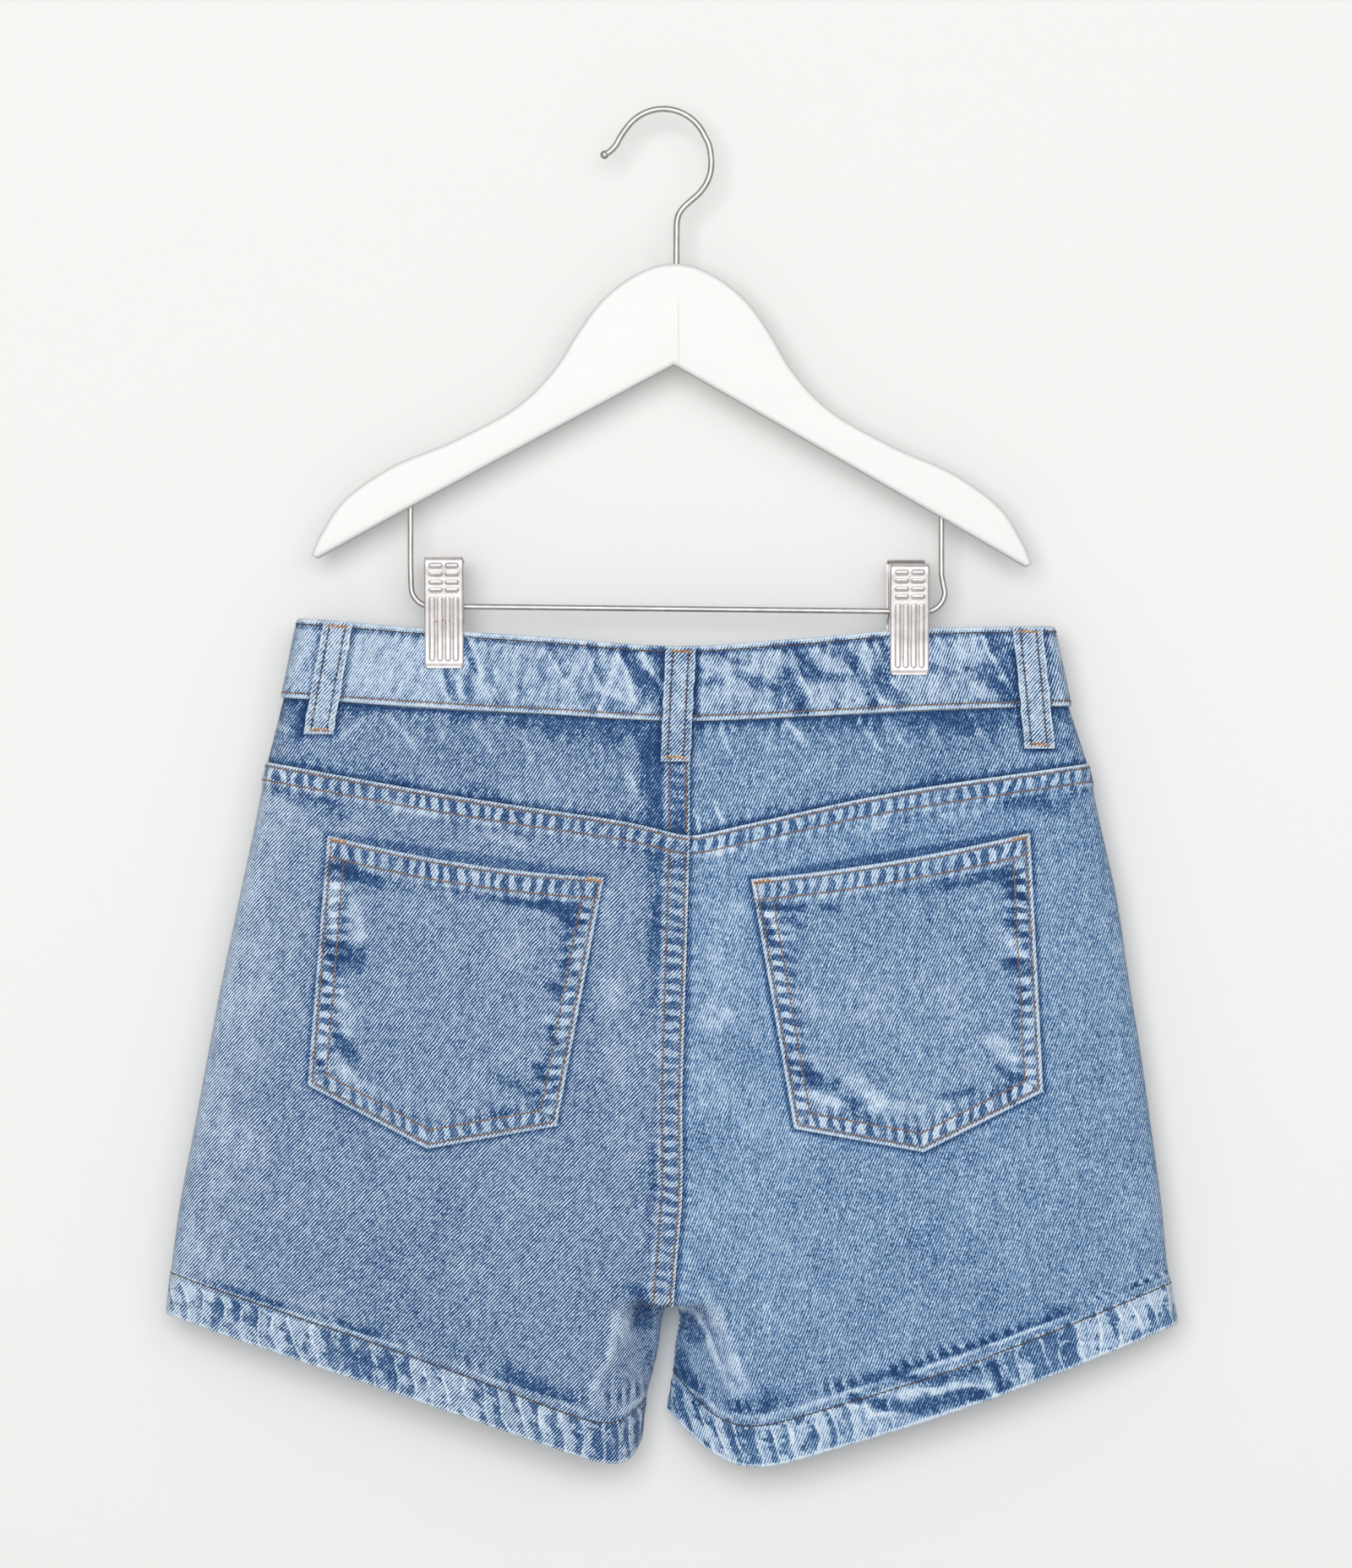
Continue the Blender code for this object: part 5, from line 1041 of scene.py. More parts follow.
class Cloth:
    """A closed sheet of cloth made from a grid of outer points and the inner points behind them."""

    def __init__(self, name, outer, inner, shade, weave, angle, seam, rim=9.0, near=9.0):
        self.outer, self.normal = outer, across_grid(outer)
        flip = np.sum(self.normal * (outer - inner)) < 0
        if flip:
            self.normal = -self.normal
        count = shade.size
        front = np.arange(count).reshape(shade.shape)
        face = np.stack([front[:-1, :-1], front[1:, :-1], front[1:, 1:], front[:-1, 1:]], axis=-1).reshape(-1, 4)
        border = np.concatenate([front[0, :-1], front[:-1, -1], front[-1, :0:-1], front[:0:-1, 0]])
        after = np.roll(border, -1)
        edges = np.stack([border, after, after + count, border + count], axis=-1)
        quads = np.concatenate([face, (face + count)[:, ::-1], edges])
        if not flip:
            quads = quads[:, ::-1]
        vertices = np.concatenate([outer.reshape(-1, 3), inner.reshape(-1, 3)]) * MM
        mesh = bpy.data.meshes.new(name)
        mesh.from_pydata(vertices.tolist(), [], quads.tolist())
        mesh.validate()
        mesh.shade_smooth()
        self.keep(mesh, "inside", np.repeat([0.0, 1.0], count))
        self.keep(mesh, "shade", np.tile(shade.ravel(), 2))
        lie = math.radians(angle)
        for label, parts in (("weave", (*weave, lie)), ("seam", seam[:3]), ("folds", (rim, near, seam[3]))):
            rows = np.stack([np.broadcast_to(part, shade.shape) for part in parts], axis=-1).reshape(-1, 3)
            self.keep(mesh, label, np.concatenate([rows, rows]))
        self.thing = linked(name, mesh)

    @staticmethod
    def keep(mesh, name, values):
        """Keeps one number, or a row of three, at each point for the materials to read."""
        kind, field = ("FLOAT", "value") if values.ndim == 1 else ("FLOAT_VECTOR", "vector")
        mesh.attributes.new(name, kind, "POINT").data.foreach_set(field, values.astype(np.float32).ravel())

    def line(self, axis, distance, span=(0.0, 1.0)):
        """Points and normals along a line that keeps its distance from the first row (axis 0) or column (axis 1),
        or, with a negative distance, from the last one."""
        grid = self.outer if axis == 0 else self.outer.transpose(1, 0, 2)
        normal = self.normal if axis == 0 else self.normal.transpose(1, 0, 2)
        if distance < 0:
            grid, normal = grid[::-1], normal[::-1]
        step = np.linalg.norm(np.diff(grid, axis=0), axis=2)
        gone = np.concatenate([np.zeros((1, grid.shape[1])), np.cumsum(step, axis=0)])
        first, last = (int(share * (grid.shape[1] - 1)) for share in span)
        points, normals = (
            np.array([along_run(rows[:, k], gone[:, k], [abs(distance)])[0] for k in range(first, last + 1)])
            for rows in (grid, normal)
        )
        return points, unit(normals)


def linear(colour):
    """An sRGB colour in 0 to 255 as the linear values that a shader takes."""
    c = np.array(colour) / 255
    return tuple(float(v) for v in np.where(c <= 0.04045, c / 12.92, ((c + 0.055) / 1.055) ** 2.4))


def denim_finish(name):
    """Washed twill: slanted ribs of blue warp with pale weft between them. Dark and bleached places have crisp,
    ragged edges, seams pucker into blocks, and hems rope into patches with pale veins."""
    finish = Finish(name, Roughness=0.9, Sheen_Weight=0.06, Sheen_Roughness=0.6)
    finish.shader.inputs["Specular IOR Level"].default_value = 0.14
    x, z, angle = finish.split(finish.attribute("weave", "Vector"))
    run, away, puckers = finish.split(finish.attribute("seam", "Vector"))
    rim, near, roping = finish.split(finish.attribute("folds", "Vector"))
    shade, inside = finish.attribute("shade"), finish.attribute("inside")
    across = z * angle.cosine() - x * angle.sine()
    along = x * angle.cosine() + z * angle.sine()
    wander = finish.cloud(x * 0.11, z * 0.11, 0.0)
    rib = ((across / TWILL_PITCH + wander * 1.1) * (2 * math.pi)).cosine()
    pips = finish.cloud(along * 0.75, across * 0.9, 3.0, 1.0, 0.6) - 0.5
    slub = finish.cloud(x * 0.8, z * 0.05, 7.0, 1.0, 0.6) - 0.5
    fuzz = finish.cloud(x * 1.05, z * 1.05, 11.0, 0.0) - 0.5
    ragged = finish.cloud(x * 0.6, z * 0.6, 15.0, 3.0, 0.65) - 0.5
    uneven = finish.cloud(run * 0.33, away * 0.10, 19.0, 2.0, 0.6)
    bars = ((run + uneven * 2.6) * math.pi).cosine().between(-0.4, 0.4) * 2 - 1
    waver = finish.cloud(run * 0.13, away * 0.05, 23.0, 1.0)
    broken = finish.cloud(run * 0.5, away * 0.20, 29.0, 2.0, 0.6)
    phase = (run * 0.34 + waver * 1.8) * (2 * math.pi)
    vein = phase.cosine().between(0.74, 0.97) * broken.between(0.42, 0.52)
    drift = finish.cloud(run * 0.13, away * 0.05, 35.0, 1.0) - 0.5
    patch = ((phase + 1.7).cosine() * 0.55 + broken * 5.5 + ragged * 2.4 + drift * 5.0).between(2.45, 3.15)
    mottle = finish.cloud(x * 0.34, z * 0.3, 27.0, 3.0, 0.7) - 0.5
    frayed = ragged * 0.34 + fuzz * 0.20
    wash = (shade - BASE) * (ragged * 1.6 + 1)
    dark, pale = (wash + frayed).between(0.05, 0.25), (frayed - wash).between(0.06, 0.25)
    lip = 1 - (rim + ragged * 1.2).between(0.7, 1.8)
    # Painted shadow: a dark line on the cloth beside an edge that lies over it, together with the unfaded cloth
    # there.
    shadow_beside_fold = 1 - (near + ragged * 2.0).between(0.6, 2.8)
    seamed = bars * puckers * (waver * 0.60 - 0.01) + roping * (patch * 0.56 - vein * 0.55 - 0.16)
    steep = (angle * 2).sine() ** 2
    plain = (wash * 0.62 + dark * 0.22 - pale * 0.22) * (steep * 0.5 + 0.8) + seamed * (steep * 0.45 + 0.80)
    plain = plain + mottle * (steep * 0.85 + 0.45) + ragged * 0.5 + steep * 0.20 + TONE
    plain = plain + shadow_beside_fold * 0.34 - lip * 0.50
    coarse = steep * 0.35 + 0.70
    tone = plain + rib * (steep * 0.54 + 0.10) + (pips * -0.9 + slub * 0.28 + fuzz * 0.6) * coarse
    reverse = 0.17 + (shade - BASE) * 0.35 + rib * 0.12 + pips * 0.3
    tone = tone + (reverse - tone) * inside
    finish.shows(Base_Color=finish.ramp(tone.clamped(), [(place, linear(c)) for place, c in INDIGO]))
    finish.bump(rib * 0.35 + pips * 0.6 - seamed * 3.0, 0.28, 0.5)
    return finish


def thread_finish(name, colour):
    """Twisted polyester thread with a slight gloss, faded here and there by the wash."""
    finish = Finish(name, Roughness=0.55)
    spot = finish.place()
    faded = finish.noise(spot, 0.12, 3.0, 0.6)
    twist = finish.noise(spot, 2.0, 1.0, 0.5)
    dark, pale = [c * 0.72 for c in colour], [c + (224 - c) * 0.25 for c in colour]
    stops = [(0.32, linear(dark)), (0.48, linear(colour)), (0.72, linear(pale))]
    finish.shows(Base_Color=finish.ramp(faded * 0.75 + twist * 0.25, stops))
    finish.bump(twist, 0.05, 0.5)
    return finish


threads = {name: thread_finish(f"thread_{name}", colour) for name, colour in THREADS.items()}
denim = denim_finish("washed_denim")


def sew(name, lines, colour="tan", pitch=STITCH, width=THREAD_WIDTH):
    """Rows of lock stitch along lines of points and normals: each stitch a short bead that dips in at both ends."""
    sides = STITCH_SIDES
    vertices, faces = [], []
    for points, normals in lines:
        gone = run_of(points)
        count = max(int(gone[-1] / pitch), 1)
        centres = (np.arange(count) + 0.5) * gone[-1] / count
        place = along_run(points, gone, centres)
        out = unit(along_run(normals, gone, centres))
        ahead = along_run(points, gone, centres + 0.6) - along_run(points, gone, centres - 0.6)
        ahead = unit(ahead - out * np.sum(ahead * out, axis=1, keepdims=True))
        beside = np.cross(ahead, out)
        ahead = unit(ahead + beside * 0.05)
        for p, n, a, b in zip(place, out, ahead, beside):
            base = len(vertices)
            for along, size in STITCH_RINGS:
                middle = p + a * along * pitch + n * (0.12 + (size - 1) * STITCH_DIP)
                for k in range(sides):
                    turn = 2 * math.pi * k / sides + math.pi / 2
                    ring = b * math.cos(turn) * width / 2 + n * math.sin(turn) * width * 0.42
                    vertices.append(middle + ring * max(size, 0.3))
            last = base + (len(STITCH_RINGS) - 1) * sides
            for row in range(base, last, sides):
                for k in range(sides):
                    m = (k + 1) % sides
                    faces.append((row + k, row + m, row + sides + m, row + sides + k))
            faces.append(tuple(range(base + sides - 1, base - 1, -1)))
            faces.append(tuple(range(last, last + sides)))
    mesh = bpy.data.meshes.new(name)
    mesh.from_pydata((np.array(vertices) * MM).tolist(), [], faces)
    work = bmesh.new()
    work.from_mesh(mesh)
    bmesh.ops.recalc_face_normals(work, faces=work.faces)
    work.to_mesh(mesh)
    work.free()
    mesh.shade_smooth()
    fit(linked(name, mesh), threads[colour], "denim")


def spaced(spans):
    """Fractions along an edge, from rows of (end fraction, step)."""
    places, last = [0.0], 0.0
    for end, step in spans:
        count = max(int(round((end - last) / step)), 1)
        places += list(last + (end - last) * np.arange(1, count + 1) / count)
        last = end
    return np.array(places)


def leg_panel(name, sections, angle, marks, felled_seam, top_at, seed, rows, columns):
    """One leg panel with its relief and its shade."""
    side, facing = np.sign(sections[0].mid[0]), np.sign(sections[0].mid[1])
    v, u = spaced(rows), spaced(columns)
    top = top_at(u) if top_at else None
    grid = leg_points(sections, v, u, top)
    normal = across_grid(grid)
    if np.sum(normal[:, :, 1]) * facing < 0:
        normal = -normal
    normal[v == 0, :, 2] = 0
    normal[v < FORK, 0, 0] = 0
    normal[v > FORK, 0] = (-side, 0, 0)
    normal[v == FORK, 0] = (-side, 0, -1)
    normal[:, -1] = (side, 0, 0)
    normal = unit(normal)
    x, z = grid[:, :, 0], grid[:, :, 2]
    from_seam = np.abs(x - x[:, :1])
    width = run_across(grid)
    middle = len(u) // 2
    weave_x = x[:, middle : middle + 1] + side * (width - width[:, middle : middle + 1])
    to_side = width[:, -1:] - width
    down = v[:, None] * LEG_LENGTH + 0 * x
    below = (v[:, None] - HEM_LINE) / (1 - HEM_LINE) * HEM_DEPTH + 0 * x
    below = np.where(below < 0, (v[:, None] - HEM_LINE) * LEG_LENGTH, below)
    edge = HEM_DEPTH - below
    trunk = (v < FORK - 0.05)[:, None]

    turned = smoothstep(HEM_LINE - 0.004, HEM_LINE + 0.004, v)[:, None]
    raised = HEM_LIFT * turned + 0 * x
    shade = BASE + worn(weave_x, z, seed)
    lift, mark_shade = marked(x, z, marks, seed + 30)
    shade = shade + mark_shade
    hem_lift, hem_shade, hem = hemmed(weave_x, below, edge, -0.14 if side < 0 else -0.3, seed + 40)
    if name == "back_leg_right":
        hem = (*hem[:3], hem[3] * (1 - 0.85 * hump(x - 114, 30.0)))
    lift, shade, seams = lift + hem_lift, shade + hem_shade, [hem]
    if top_at is None:
        raised = np.maximum(raised, SEAM_LIFT * doubled(YOKE_SEAM_WIDTH, down))
        seam_lift, seam_shade, top_seam = felled(weave_x, down, YOKE_ROWS, seed + 50, 0.1)
        lift, shade = lift + seam_lift, shade + seam_shade
        seams.append(top_seam)
    else:
        # Darker just under the band's edge: unfaded cloth with painted shade, as on the yoke.
        shade = shade + 0.16 * hump(down, 4) * (1 + grain(weave_x / 4, down / 3, seed + 55))
    clear = trunk * (smoothstep(2, 8, down) if top_at is None else 1.0)
    if felled_seam:
        raised = np.maximum(raised, trunk * SEAM_LIFT * doubled(CENTRE_SEAM_WIDTH, from_seam))
        seam_lift, seam_shade, centre = felled(z, from_seam, CENTRE_ROWS, seed + 60, -0.15)
        lift, shade = lift + seam_lift * clear, shade + seam_shade * clear
        seams.append((*centre[:2], 0.75 * centre[2] * clear, centre[3]))
    else:
        seams.append((z / PUCKER, from_seam, 0.25 * hump(from_seam - 2.5, 3.5) * clear, 0 * x))
    rounded = hump(to_side, 2.2) * roped(z, to_side, 6.5, 0.2, seed + 70)
    shade = shade - 0.16 * rounded - 0.10 * hump(to_side, 5.0) - 0.18 * (side < 0) * hump(to_side, 34.0)
    lift = lift * smoothstep(0, 3, to_side)

    wall = DENIM + HEM_EXTRA * turned
    grid[v <= FORK, 0, 0] += side * SEAM_GAP / 2
    grid[v >= FORK, 0, 1] += facing * SEAM_GAP / 2
    grid[:, -1, 1] += facing * SEAM_GAP / 2
    if top_at is None:
        grid[0, :, 2] -= SEAM_GAP / 2
    rolled = 0.3 * (v == 1)[:, None] + 0.25 * (v == 0)[:, None]
    outer = grid + normal * (raised + lift * smoothstep(0, 0.5, edge) - rolled)[:, :, None]
    inner = grid - normal * (wall - 0.5 * lift - 0.3 * (v == 1)[:, None])[:, :, None]
    # near is the distance from a pocket or a lapped seam lying over this cloth, beside which the shader paints a
    # shadow line.
    rim, near = edge, np.full_like(x, 9.0)
    if top_at is None:
        rim = np.minimum(rim, down)
        near = np.minimum(near, beside(x, z, *(pocket_outline(pocket) for pocket in POCKETS)))
        if felled_seam:
            rim = np.where(trunk, np.minimum(rim, from_seam), rim)
        else:
            near = np.where(trunk, np.minimum(near, from_seam), near)
    return Cloth(name, outer, inner, shade, (weave_x, z), angle, strongest(*seams), rim, near.clip(0, 9))


# Rows and columns as (fraction of the length, step), finest along seams and the hem.
BACK_ROWS = [(0.085, 0.0030), (0.70, 0.0060), (FORK, 0.0050), (0.90, 0.0054), (HEM_LINE, 0.0030), (1.0, 0.0030)]
BACK_COLUMNS = [(0.10, 0.0036), (0.90, 0.0075), (1.0, 0.0080)]
FRONT_ROWS = [(0.05, 0.0050), (FORK, 0.0078), (0.90, 0.0080), (HEM_LINE, 0.0045), (1.0, 0.0040)]
FRONT_COLUMNS = [(0.10, 0.0070), (0.90, 0.0100), (1.0, 0.0100)]
TRUNK_END = 0.745  # where the centre seam's stitches end, as a fraction of the rows


def mirrored(marks, seed):
    """The same kind of marks for a side that was lying the other way, each moved and faded a little."""
    chance = np.random.RandomState(seed)
    made = []
    for m in marks:
        dx, dz, keep = chance.uniform(-9, 9), chance.uniform(-7, 7), chance.uniform(0.5, 1.0)
        made.append(m._replace(x0=-m.x0 + dx, x1=-m.x1 + dx, z0=m.z0 + dz, z1=m.z1 + dz, lift=m.lift * keep,
                               shade=m.shade * keep))
    return made


panels = {}
for label, side, back, front, angle, marks, seed in (
    ("left", -1, BACK_LEFT, FRONT_LEFT, 46, LEG_MARKS_LEFT, 100),
    ("right", 1, BACK_RIGHT, FRONT_RIGHT, 69, LEG_MARKS_RIGHT + HEM_FOLD_MARKS, 200),
):
    name = f"back_leg_{label}"
    panels["back", label] = leg_panel(name, back, angle, marks, side < 0, None, seed, BACK_ROWS, BACK_COLUMNS)
    name = f"front_leg_{label}"
    soft = mirrored([m for m in (LEG_MARKS_RIGHT if side < 0 else LEG_MARKS_LEFT) if m.z0 > -480], seed + 9)
    panels["front", label] = leg_panel(name, front, 180 - angle, soft, False, panel_top(front, side, 1), seed + 20,
                                       FRONT_ROWS, FRONT_COLUMNS)
for (face, label), panel in panels.items():
    fit(panel.thing, denim, "denim", f"{face}_panel_{label}")

for label in ("left", "right"):
    sew(f"yoke_seam_thread_{label}", [panels["back", label].line(0, row, (0.02, 0.995)) for row in YOKE_ROWS])
    for face in ("back", "front"):
        sew(f"hem_thread_{face}_{label}", [panels[face, label].line(0, -HEM_DEPTH, (0.005, 0.998))], "brown")
sew("centre_seam_thread", [panels["back", "left"].line(1, row, (0.05, TRUNK_END)) for row in CENTRE_ROWS])

# ---------------------------------------------------------------- shorts: yokes
# Two shaped bands of the same denim between the waistband and the back panels. The left one is felled over the
# right one at the centre, and both carry drag lines where the elastic in the waistband gathers them.

YOKE_MARKS_LEFT = [Mark(*row) for row in (
    (-161.5, -268, -166, -275.5, 3, -0.2, 0.24), (-10, -287.5, -8, -312, 4.6, -0.5, 0.24),
    (-12, -281, -6, -284.5, 4, -0.2, 0.16), (-136, -267.5, -146, -277, 1.1, 0.2, -0.3),
    (-123, -269, -114, -282, 1.1, 0.2, -0.26), (-104, -271, -100, -281, 0.9, 0.2, -0.26),
    (-87.5, -272, -79, -284, 1.2, 0.2, -0.24), (-66, -275, -62, -287, 1, 0.1, -0.24),
    (-174.5, -271, -168, -275, 1.5, 0.1, -0.3), (-20, -289.5, -17, -302.5, 1.6, 0.2, -0.22),
    (-87.5, -298.5, -73, -306, 3, 0, 0.12),
)]
YOKE_MARKS_RIGHT = [Mark(*row) for row in (
    (117.5, -267, 132.5, -273, 3.4, 0, 0.14), (158.5, -281.5, 174.5, -280, 3, 0, 0.16),
    (22, -270, 25, -283, 1, 0.1, -0.26), (50.5, -269.5, 58, -278.5, 1.2, 0.2, -0.28),
    (66, -271, 75, -284, 1, 0.2, -0.24), (84, -269.5, 91.5, -283, 1.1, 0.2, -0.26),
    (96.5, -269, 102, -281, 1.1, 0.2, -0.24), (113, -268, 118.5, -282, 1.1, 0.2, -0.2),
    (132.5, -267.5, 141.5, -282.5, 1.2, 0.2, -0.22), (166, -269, 170.5, -281.5, 1.2, 0.2, -0.24),
    (10, -310, 12, -318.5, 1, 0, -0.36), (19, -306, 23, -315, 1.1, 0, -0.24),
)]
# How far below the waistband the cloth is darker: unfaded cloth, with painted shade under the band's edge.
Dark = namedtuple("Dark", "x reach")
YOKE_DARK = [Dark(*row) for row in (
    (-176, 11), (-150, 5), (-110, 4), (-85, 4.5), (-65, 8), (-45, 12), (-20, 15), (-1, 17), (4, 6), (30, 4), (50, 5),
    (64, 9), (80, 10), (105, 13), (130, 9), (150, 12), (176, 15),
)]


def yoke(name, sections, side, angle, marks, seed):
    u = spaced([(0.10, 0.0040), (0.90, 0.0068), (1.0, 0.0080)])
    share = spaced([(0.10, 0.0150), (0.85, 0.0250), (1.0, 0.0150)])
    bottom = leg_points(sections, np.zeros(1), u)[0]
    top = panel_top(sections, side, -1)(u)
    grid = top[None] + (bottom - top)[None] * share[:, None, None]
    ease = smoothstep(0, 1, share) * 0.6 + 0.4 * share
    grid[:, :, 1] = top[None, :, 1] + (bottom[:, 1] - top[:, 1])[None] * ease[:, None]
    normal = across_grid(grid) * -side
    normal[[0, -1], :, 2] = 0
    normal[:, 0, 0] = 0
    normal[:, -1] = (side, 0, 0)
    normal = unit(normal)
    x, z = grid[:, :, 0], grid[:, :, 2]
    from_seam = np.abs(x - x[:, :1])
    width = run_across(grid)
    weave_x = x[:, :1] + side * width
    height = np.linalg.norm(bottom - top, axis=1)[None]
    down, up = share[:, None] * height, (1 - share[:, None]) * height
    to_side = width[:, -1:] - width

    shade = BASE + 0.01 + worn(weave_x, z, seed)
    lift, mark_shade = marked(x, z, marks, seed + 30)
    shade = shade + mark_shade
    drag = roped(weave_x, down, 7.5, 0.55 * np.sign(grain(weave_x / 24, 0, seed + 8)), seed + 10) * hump(down, 13)
    lift = lift + 0.22 * drag
    reach = np.interp(x, [row.x for row in YOKE_DARK], [row.reach for row in YOKE_DARK])
    # Darker below the band: unfaded cloth with painted shade under its edge. Just above the back panel's folded edge,
    # which lies over the yoke, a painted shadow.
    shade = shade - 0.06 * drag + 0.21 * fingers(down, reach, weave_x - 0.2 * down, seed + 12)
    shade = shade + 0.12 * fingers(up, 4.5, weave_x, seed + 14)
    lift = lift - 0.15 * hump(up, 1.3)
    seams = [((weave_x + 0.15 * down) / PUCKER, down, 0.3 * hump(down - 3, 4.5), 0 * x),
             ((weave_x - 0.15 * up) / PUCKER + 50, up, 0.35 * hump(up - 2.0, 3.0), 0 * x)]
    # near is the distance from the edges lying over the yoke (the panel's fold, the band and the loops), beside which
    # the shader paints a shadow line.
    rim, near = np.full_like(x, 9.0), np.minimum(np.minimum(up, 0.6 + down), beside(x, z, *loop_shapes(-1)))
    raised = np.zeros_like(x)
    if side < 0:
        raised = SEAM_LIFT * doubled(CENTRE_SEAM_WIDTH, from_seam)
        seam_lift, seam_shade, centre = felled(z, from_seam, CENTRE_ROWS, seed + 60, -0.15)
        lift, shade = lift + seam_lift, shade + seam_shade + 0.12 * (from_seam < 10)
        seams.append((*centre[:2], 0.4 * centre[2], centre[3]))
        rim = from_seam
        near = np.maximum(near, 4 - from_seam)
    else:
        near = np.minimum(near, from_seam)
    shade = shade - 0.10 * hump(to_side, 4) - 0.12 * hump(to_side, 2) * roped(z, to_side, 6, 0.2, seed + 70)
    grid[:, 0, 0] += side * SEAM_GAP / 2
    grid[:, -1, 1] -= SEAM_GAP / 2
    grid[-1, :, 2] += SEAM_GAP / 2
    lift = lift * smoothstep(0, 3, to_side)
    outer = grid + normal * (raised + lift)[:, :, None]
    inner = grid - normal * (DENIM - 0.5 * lift)[:, :, None]
    piece = Cloth(name, outer, inner, shade, (weave_x, z), angle, strongest(*seams), rim, near.clip(0, 9))
    fit(piece.thing, denim, "denim", name.replace("yoke", "back_yoke"))
    return piece


yokes = {
    "left": yoke("yoke_left", BACK_LEFT, -1, 55, YOKE_MARKS_LEFT, 300),
    "right": yoke("yoke_right", BACK_RIGHT, 1, 66, YOKE_MARKS_RIGHT, 340),
}
sew("centre_seam_thread_yoke", [yokes["left"].line(1, row, (0.02, 0.99)) for row in CENTRE_ROWS])

# ---------------------------------------------------------------- shorts: waistband
# One straight strip folded over woven elastic and stitched along both edges, so its back is drawn into sharp
# upright creases that the wash has bleached on their ridges. The ends overlap at the centre front.

BAND_WALL = 3.0
OVERLAP_UNDER = -18.0
OVERLAP_OVER = 14.0
OVERLAP_STEP = 3.4
OVERLAP_RISE = (-48.0, -26.0)
BAND_FINENESS = 0.9  # columns of the mesh to a millimetre of its back, about
GRIPPED_ABOVE_Z = -252.0
BAND_STITCH_TOP = 3.1
BAND_STITCH_FOOT = 2.9
BAND_MARKS = [Mark(*row) for row in (
    (-89, -232, -85.5, -246.5, 1.1, 0.5, -0.42), (-85.5, -246.5, -82, -260, 1, 0.4, -0.36),
    (-85.5, -245.5, -76, -261.5, 0.9, 0.3, -0.25), (-39, -236, -31.5, -256, 1.1, 0.5, -0.42),
    (-24.5, -242.5, -31.5, -264.5, 1.1, 0.4, -0.34), (-24.5, -238, -16, -261.5, 1.1, 0.6, -0.46),
    (-13.5, -239, -9, -248.5, 1, 0.5, -0.42), (-9, -248.5, -3, -257.5, 1, 0.4, -0.36),
    (-9, -248.5, -15.5, -261.5, 1, 0.4, -0.34), (-53.5, -241, -46, -254, 1, 0.3, -0.26),
    (-102.5, -247, -99.5, -258.5, 1, 0.3, -0.34), (-95, -249.5, -93, -258.5, 0.9, 0.2, -0.3),
    (-91, -236, -86.5, -247, 2, -0.3, 0.34), (-101, -248, -96.5, -258.5, 2.2, -0.3, 0.36),
    (-90.5, -250, -88, -260, 1.8, -0.2, 0.3), (-81.5, -249.5, -76.5, -261, 1.9, -0.2, 0.3),
    (-52.5, -238, -46.5, -249, 2, -0.2, 0.26), (-36.5, -237.5, -32, -251, 2.6, -0.3, 0.36),
    (-37.5, -259, -34.5, -266, 2.4, -0.1, 0.28), (-29.5, -261.5, -19, -266, 3, -0.3, 0.38),
    (-23, -236, -14, -251, 3.4, -0.5, 0.5), (-9.5, -252.5, -2.5, -266, 4.2, -0.5, 0.52),
    (-7, -236.5, -3, -248.5, 3.6, -0.4, 0.48), (-12.5, -250, -14, -263, 2.4, -0.3, 0.4),
    (11, -239.5, 11, -267.5, 1.6, -0.2, 0.42), (21, -240.5, 27.5, -244, 1.4, 0, 0.36),
    (27.5, -243.5, 33.5, -244, 1.3, 0, 0.3), (12.5, -252.5, 22, -252.5, 1.6, 0, 0.38),
    (29, -249, 37.5, -254, 2.2, -0.2, 0.42), (39, -251.5, 46.5, -256.5, 1.8, -0.1, 0.36),
    (45, -256, 47.5, -263, 1.6, -0.1, 0.26), (45.5, -236.5, 49, -238.5, 1.4, 0, 0.3),
    (53.5, -238, 61.5, -249.5, 3.6, -0.6, 0.54), (50, -250, 58, -266, 3.6, -0.6, 0.54),
    (66, -249.5, 76, -251, 1.5, 0, 0.38), (77, -249, 80.5, -250.5, 1.2, 0, 0.26),
    (67, -236.5, 71.5, -240, 1.8, -0.1, 0.38), (74.5, -236.5, 79.5, -244.5, 2.6, -0.3, 0.46),
    (80.5, -244, 88, -252.5, 2.6, -0.3, 0.48), (86.5, -253, 90.5, -263, 2.8, -0.3, 0.5),
    (90, -235, 97, -247.5, 3.2, -0.5, 0.54), (91.5, -249.5, 101.5, -261.5, 3.8, -0.6, 0.56),
    (115.5, -246.5, 126.5, -248.5, 1.5, 0, 0.38), (131, -247, 135.5, -247.5, 1.3, 0, 0.34),
    (126, -257, 126.5, -261.5, 1.4, 0, 0.28), (142, -234, 154.5, -248, 4.6, -0.4, 0.54),
    (141, -248.5, 154.5, -260, 5, -0.5, 0.56), (71, -260, 73, -263, 1.4, 0, 0.24),
    (51, -237.5, 57.5, -251, 0.9, 0.4, -0.3), (57.5, -251, 62.5, -262.5, 0.9, 0.4, -0.34),
    (48, -248.5, 52.5, -263.5, 1, 0.2, -0.2), (87, -246, 92.5, -261, 0.9, 0.4, -0.42),
    (89.5, -236, 98, -251.5, 1, 0.5, -0.4), (98, -251.5, 103, -261, 1, 0.4, -0.36),
    (137.5, -232.5, 146.5, -250.5, 1.1, 0.5, -0.42), (146.5, -250.5, 152.5, -259, 1, 0.4, -0.4),
    (136.5, -258.5, 141, -247, 1, 0.2, -0.28), (79, -248, 88, -243.5, 1, 0.2, -0.2),
)]
ring = band_ring(5000)
